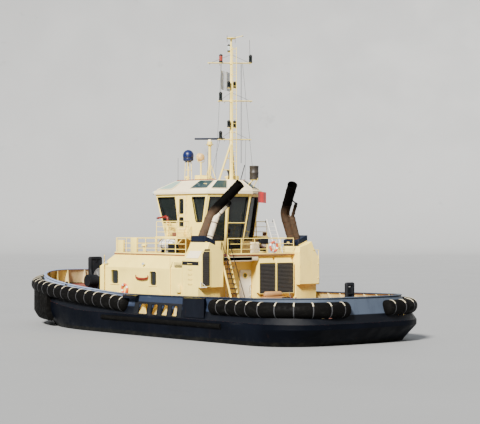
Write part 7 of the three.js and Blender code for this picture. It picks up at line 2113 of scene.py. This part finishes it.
class TUGBOAT_OT_flags(bpy.types.Operator):
    """Ensign on its leaning staff and the plain flag on the mast's halyard"""
    bl_idname = "tugboat.flags"
    bl_label = "Flags"

    def execute(self, context):
        staff = rods([(-3.80, -1.3, 9.31)], [(-4.334, -1.3, 9.9)], 0.024, 12)
        truck = ball((-4.326, -1.3, 9.895), 0.022, 14)
        line = rods([(-4.334, -1.3, 9.88), (-4.334, -1.3, 8.29)], [(-4.334, -1.3, 8.3), (-3.9, -1.3, 9.3)], 0.006, 6)
        bracket = collar((-3.83, -1.3, 9.345), (-0.67, 0, 0.74), 0.018, 0.05, 0.007, 20)
        piece("ensign_pole", [(joined(staff, truck), "cream"), (joined(line, bracket), "lamp black")],
              replaces=("ensign_staff",))
        flag_sheet("ensign_cloth", "flag red", (-4.334, -1.308, 9.06), -90.0, 0.74, 0.70, 0.42, 1.5, 0.05,
                   "ensign")
        flag_sheet("house_flag_cloth", "flag pale", (MAST_X + 0.006, 0.835, 16.8), -69.0, 1.42, 1.22, 0.32, 1.75, 0.055,
                   "house_flag")
        return {"FINISHED"}


# Deck gear

class TUGBOAT_OT_foredeck(bpy.types.Operator):
    """Foredeck: towing staple, winch frame with motor, brake and gears, rope drum, rope and small gear"""
    bl_idname = "tugboat.foredeck"
    bl_label = "Foredeck"

    def execute(self, context):
        node_copy("fore_staple", "fore_staple_arch", "gear black", bevel=0.02)
        infill = slabs([(12.50, -0.42, 2.3), (12.42, -0.5, 3.0)], [(12.66, 0.42, 4.45), (12.55, 0.5, 3.12)], 0.03)
        rings = torus((12.6, 0.0, 4.35), (0, 1, 0), 0.16, 0.02, 24, 8)
        piece("fore_staple_plates", [(joined(infill, rings), "gear black")])
        node_copy("fore_winch_frame", "winch_frame_castings", "gear black", bevel=0.02)
        wx, _, wz = WINCH_AT
        # Motor fins and gear cover bolts
        fins = joined(*[collar((wx, y, wz), (0, 1, 0), 0.405, 0.02, 0.028, 32) for y in np.arange(1.72, 2.16, 0.07)])
        bolts = joined(*[rods([(wx + 0.46 * math.cos(a), -1.93, wz + 0.46 * math.sin(a))],
                              [(wx + 0.46 * math.cos(a), -1.88, wz + 0.46 * math.sin(a))], 0.025, 6)
                         for a in np.arange(12) * math.pi / 6])
        piece("winch_fins", [(fins, "gear black"), (bolts, "steel grey")])
        self.drum()
        # A hatch with its handwheel, standing vents, a coil of rope and a gear locker
        z = float(deck_height(8.2))
        hatch = slabs([(6.2, -0.45, float(deck_height(6.6)) - 0.02)], [(7.0, 0.45, float(deck_height(6.6)) + 0.42)],
                      0.05)
        wheel = torus((6.6, 0, float(deck_height(6.6)) + 0.46), (0, 0, 1), 0.18, 0.016, 28, 8)
        vents = joined(*[turned([(0, -0.05), (0.11, -0.05), (0.11, 0.5), (0.2, 0.53), (0.2, 0.6), (0.08, 0.68),
                                 (0, 0.69)],
                                (8.2, y, z), sides=24) for y in (-2.9, 2.9)])
        coil = joined(*[torus((6.2, -2.8, float(deck_height(6.2)) + 0.045 + 0.075 * k), (0, 0, 1), 0.42 - 0.02 * k,
                              0.042, 44, 8)
                        for k in range(4)])
        box = slabs([(5.2, 2.2, float(deck_height(5.6)) - 0.02)], [(6.1, 2.8, float(deck_height(5.6)) + 0.5)], 0.04)
        piece("foredeck_gear", [(joined(hatch, vents), "cream"), (wheel, "steel grey"), (coil, "rope"),
                                (box, "gear black")])
        return {"FINISHED"}

    def drum(self):
        """Rope drum: flanges with lightening rings and stiffeners, and rope laid in turns whose radius is a scalloped
        cosine across the barrel."""
        wx, _, wz = WINCH_AT
        at = (wx, 0, wz)
        flange = turned([(0, 1.14), (0.86, 1.14), (0.88, 1.15), (0.88, 1.19), (0.86, 1.20), (0.80, 1.20),
                         (0.78, 1.18), (0.30, 1.18),
                         (0.26, 1.24), (0.12, 1.26), (0.09, 1.28), (0.09, 1.548), (0, 1.548)], at, (0, 1, 0), 56)
        pitch = sizes().rope
        y = np.linspace(-1.14, 1.14, int(2.28 / pitch) * 8 + 1)
        r = 0.72 + pitch * 0.5 * np.abs(np.sin(math.pi * (y + 1.14) / pitch)) + 0.012 * np.sin(3.1 * y + 0.7)
        profile = [(0.0, -1.14), *zip(r, y), (0.0, 1.14)]
        rope = turned(profile, at, (0, 1, 0), 56)
        a = np.arange(8) * math.pi / 4 + 0.2
        ribs = [plate([(wx + 0.28 * math.cos(t), s * 1.175, wz + 0.28 * math.sin(t)),
                       (wx + 0.78 * math.cos(t), s * 1.175, wz + 0.78 * math.sin(t)),
                       (wx + 0.78 * math.cos(t), s * 1.2, wz + 0.78 * math.sin(t)),
                       (wx + 0.28 * math.cos(t), s * 1.235, wz + 0.28 * math.sin(t))],
                      0.02) for t in a for s in (-1, 1)]
        piece("winch_drum_rope", [(joined(flange, mirrored(flange), *ribs), "steel grey"), (rope, "rope")],
              body="winch_drum",
              replaces=("fore_winch_drum",))


class TUGBOAT_OT_afterdeck(bpy.types.Operator):
    """After deck: staple and its web, towing hook stand, locker, capstan, hatches and coiled rope"""
    bl_idname = "tugboat.afterdeck"
    bl_label = "After deck"

    def execute(self, context):
        node_copy("aft_staple", "aft_staple_arch", "gear black", bevel=0.015)
        web = slabs([(-14.34, -0.2, 2.2), (-14.42, -0.27, 2.86)], [(-14.26, 0.2, 3.3), (-14.18, 0.27, 2.94)], 0.02)
        piece("aft_staple_web", [(web, "gear black")])
        node_copy("towing_hook_stand", "hook_stand", "gear black", bevel=0.025)
        hook = tube(bend([(-9.55, 0, 2.30), (-9.9, 0, 2.30), (-10.05, 0, 2.12), (-9.9, 0, 1.98), (-9.78, 0, 2.03)],
                         0.1, 7), 0.06, 16)
        release = rods([(-9.2, 0.12, 2.38)], [(-9.1, 0.16, 2.85)], 0.018, 8)
        rollers = joined(*[turned([(0, -0.2), (0.075, -0.2), (0.06, -0.14), (0.06, 0.14), (0.075, 0.2), (0, 0.2)],
                                  (-9.3, s * 0.17, 2.3),
                                  (0, 0, 1), 20) for s in (-1, 1)])
        piece("towing_hook", [(joined(hook, release), "steel grey"), (rollers, "signal red")])
        node_copy("deck_locker_port", "deck_locker_shell", "gear black", bevel=0.02)
        lid = joined(rods([(-8.3, 4.995, 2.05)], [(-7.7, 4.995, 2.05)], 0.014, 8),
                     slabs([(-8.1, 4.47, 1.95), (-7.9, 4.47, 1.95)], [(-8.05, 4.505, 2.1), (-7.85, 4.505, 2.1)], 0.006))
        capstan = turned([(0, 1.3), (0.36, 1.3), (0.36, 1.34), (0.3, 1.4), (0.24, 1.5), (0.19, 1.75), (0.21, 1.95),
                          (0.28, 2.08),
                          (0.28, 2.13), (0.12, 2.2), (0, 2.2)], (-12.6, -3.1, 0), sides=36)
        hatches = joined(slabs([(-11.0, -0.5, 1.29)], [(-10.2, 0.4, 1.62)], 0.05),
                         slabs([(-7.0, 1.2, 1.29)], [(-6.5, 1.7, 1.7)], 0.04))
        wheels = joined(*[torus((x, y, z), (0, 0, 1), 0.16, 0.015, 28, 8)
                          for x, y, z in ((-10.6, -0.05, 1.67), (-6.75, 1.45, 1.75))])
        gear = joined(slabs([(-7.75, -0.62, 1.3)], [(-7.25, 0.91, 2.5)], 0.06),
                      turned([(0, 0), (0.16, 0), (0.18, 0.05), (0.18, 1.2), (0.1, 1.3), (0, 1.3)], (-7.5, -0.5, 2.64),
                             (0, 1, 0), 28))
        coils = joined(*[torus((-13.0, 1.5, 1.34 + 0.075 * k), (0, 0, 1), 0.5 - 0.03 * k, 0.042, 48, 8)
                         for k in range(5)])
        vents = joined(*[turned([(0, 0), (0.13, 0), (0.13, 0.55), (0.23, 0.6), (0.23, 0.68), (0.08, 0.76), (0, 0.77)],
                                (x, y, 1.29), sides=24) for x, y in ((-6.6, -3.6), (-11.4, 3.9))])
        piece("afterdeck_gear", [(lid, "steel grey"), (joined(capstan, wheels), "steel grey"),
                                 (joined(hatches, vents), "cream"),
                                 (gear, "gear tan"), (coils, "rope")])
        return {"FINISHED"}


class TUGBOAT_OT_thrusters(bpy.types.Operator):
    """Thruster units with nozzles, and their propellers"""
    bl_idname = "tugboat.thrusters"
    bl_label = "Thrusters"

    def execute(self, context):
        for name, side in SIDES:
            node_copy("thruster_" + name, "thruster_casting_" + name, "antifouling", bevel=0.02,
                      body="thruster_unit_" + name)
            node_copy("propeller_" + name, "propeller_blades_" + name, "bronze", bevel=0.012, body="screw_" + name)
            centre = np.array([-12.05, side * 2.6, -4.3])
            a = np.arange(6) * math.pi / 3 + 0.26
            shape = slabs([(-0.16, -0.05, -0.012)], [(0.16, 0.05, 0.03)], 0.02)
            placed = []
            for t in a:
                turn = np.array([[1, 0, 0], [0, -math.sin(t), math.cos(t)], [0, math.cos(t), math.sin(t)]])
                placed.append(outward((shape[0] @ turn + centre + 1.6 * np.array([0, math.cos(t), math.sin(t)]),
                                       shape[1])))
            piece("thruster_anodes_" + name, [(joined(*placed), "steel grey")], body="thruster_unit_" + name)
        return {"FINISHED"}


STEPS = (
    TUGBOAT_OT_finishes, TUGBOAT_OT_stage, TUGBOAT_OT_hull, TUGBOAT_OT_bulwark, TUGBOAT_OT_fenders,
    TUGBOAT_OT_deckhouse,
    TUGBOAT_OT_deckhouse_door, TUGBOAT_OT_casings, TUGBOAT_OT_exhausts, TUGBOAT_OT_intakes, TUGBOAT_OT_stair,
    TUGBOAT_OT_bridge_deck, TUGBOAT_OT_wheelhouse, TUGBOAT_OT_wheelhouse_doors, TUGBOAT_OT_roof, TUGBOAT_OT_wings,
    TUGBOAT_OT_mast, TUGBOAT_OT_radar, TUGBOAT_OT_roof_lights, TUGBOAT_OT_flags, TUGBOAT_OT_foredeck,
    TUGBOAT_OT_afterdeck, TUGBOAT_OT_thrusters,
)
SETTINGS = {"tugboat_sizes": TugboatSizes, "tugboat_colours": TugboatColours, "tugboat_stage": TugboatStage}


class TUGBOAT_PT_panel(bpy.types.Panel):
    """Lists the boat's pieces and their settings"""
    bl_idname = "TUGBOAT_PT_panel"
    bl_label = "Harbour Tugboat"
    bl_space_type = "VIEW_3D"
    bl_region_type = "UI"
    bl_category = "Tugboat"

    def draw(self, context):
        for name, group in SETTINGS.items():
            box = self.layout.box()
            for field in group.__annotations__:
                box.prop(getattr(context.scene, name), field)
        for step in STEPS:
            self.layout.operator(step.bl_idname)


CLASSES = (*SETTINGS.values(), *STEPS, TUGBOAT_PT_panel)


def register():
    """Registers the classes and puts the settings on the scene."""
    for cls in CLASSES:
        bpy.utils.register_class(cls)
    for name, group in SETTINGS.items():
        setattr(bpy.types.Scene, name, PointerProperty(type=group))


def unregister():
    """Removes the settings and the classes."""
    for name in SETTINGS:
        delattr(bpy.types.Scene, name)
    for cls in reversed(CLASSES):
        bpy.utils.unregister_class(cls)


def main():
    """Builds the boat in order."""
    register()
    for step in STEPS:
        group, action = step.bl_idname.split(".")
        getattr(getattr(bpy.ops, group), action)()


if __name__ == "__main__":
    main()
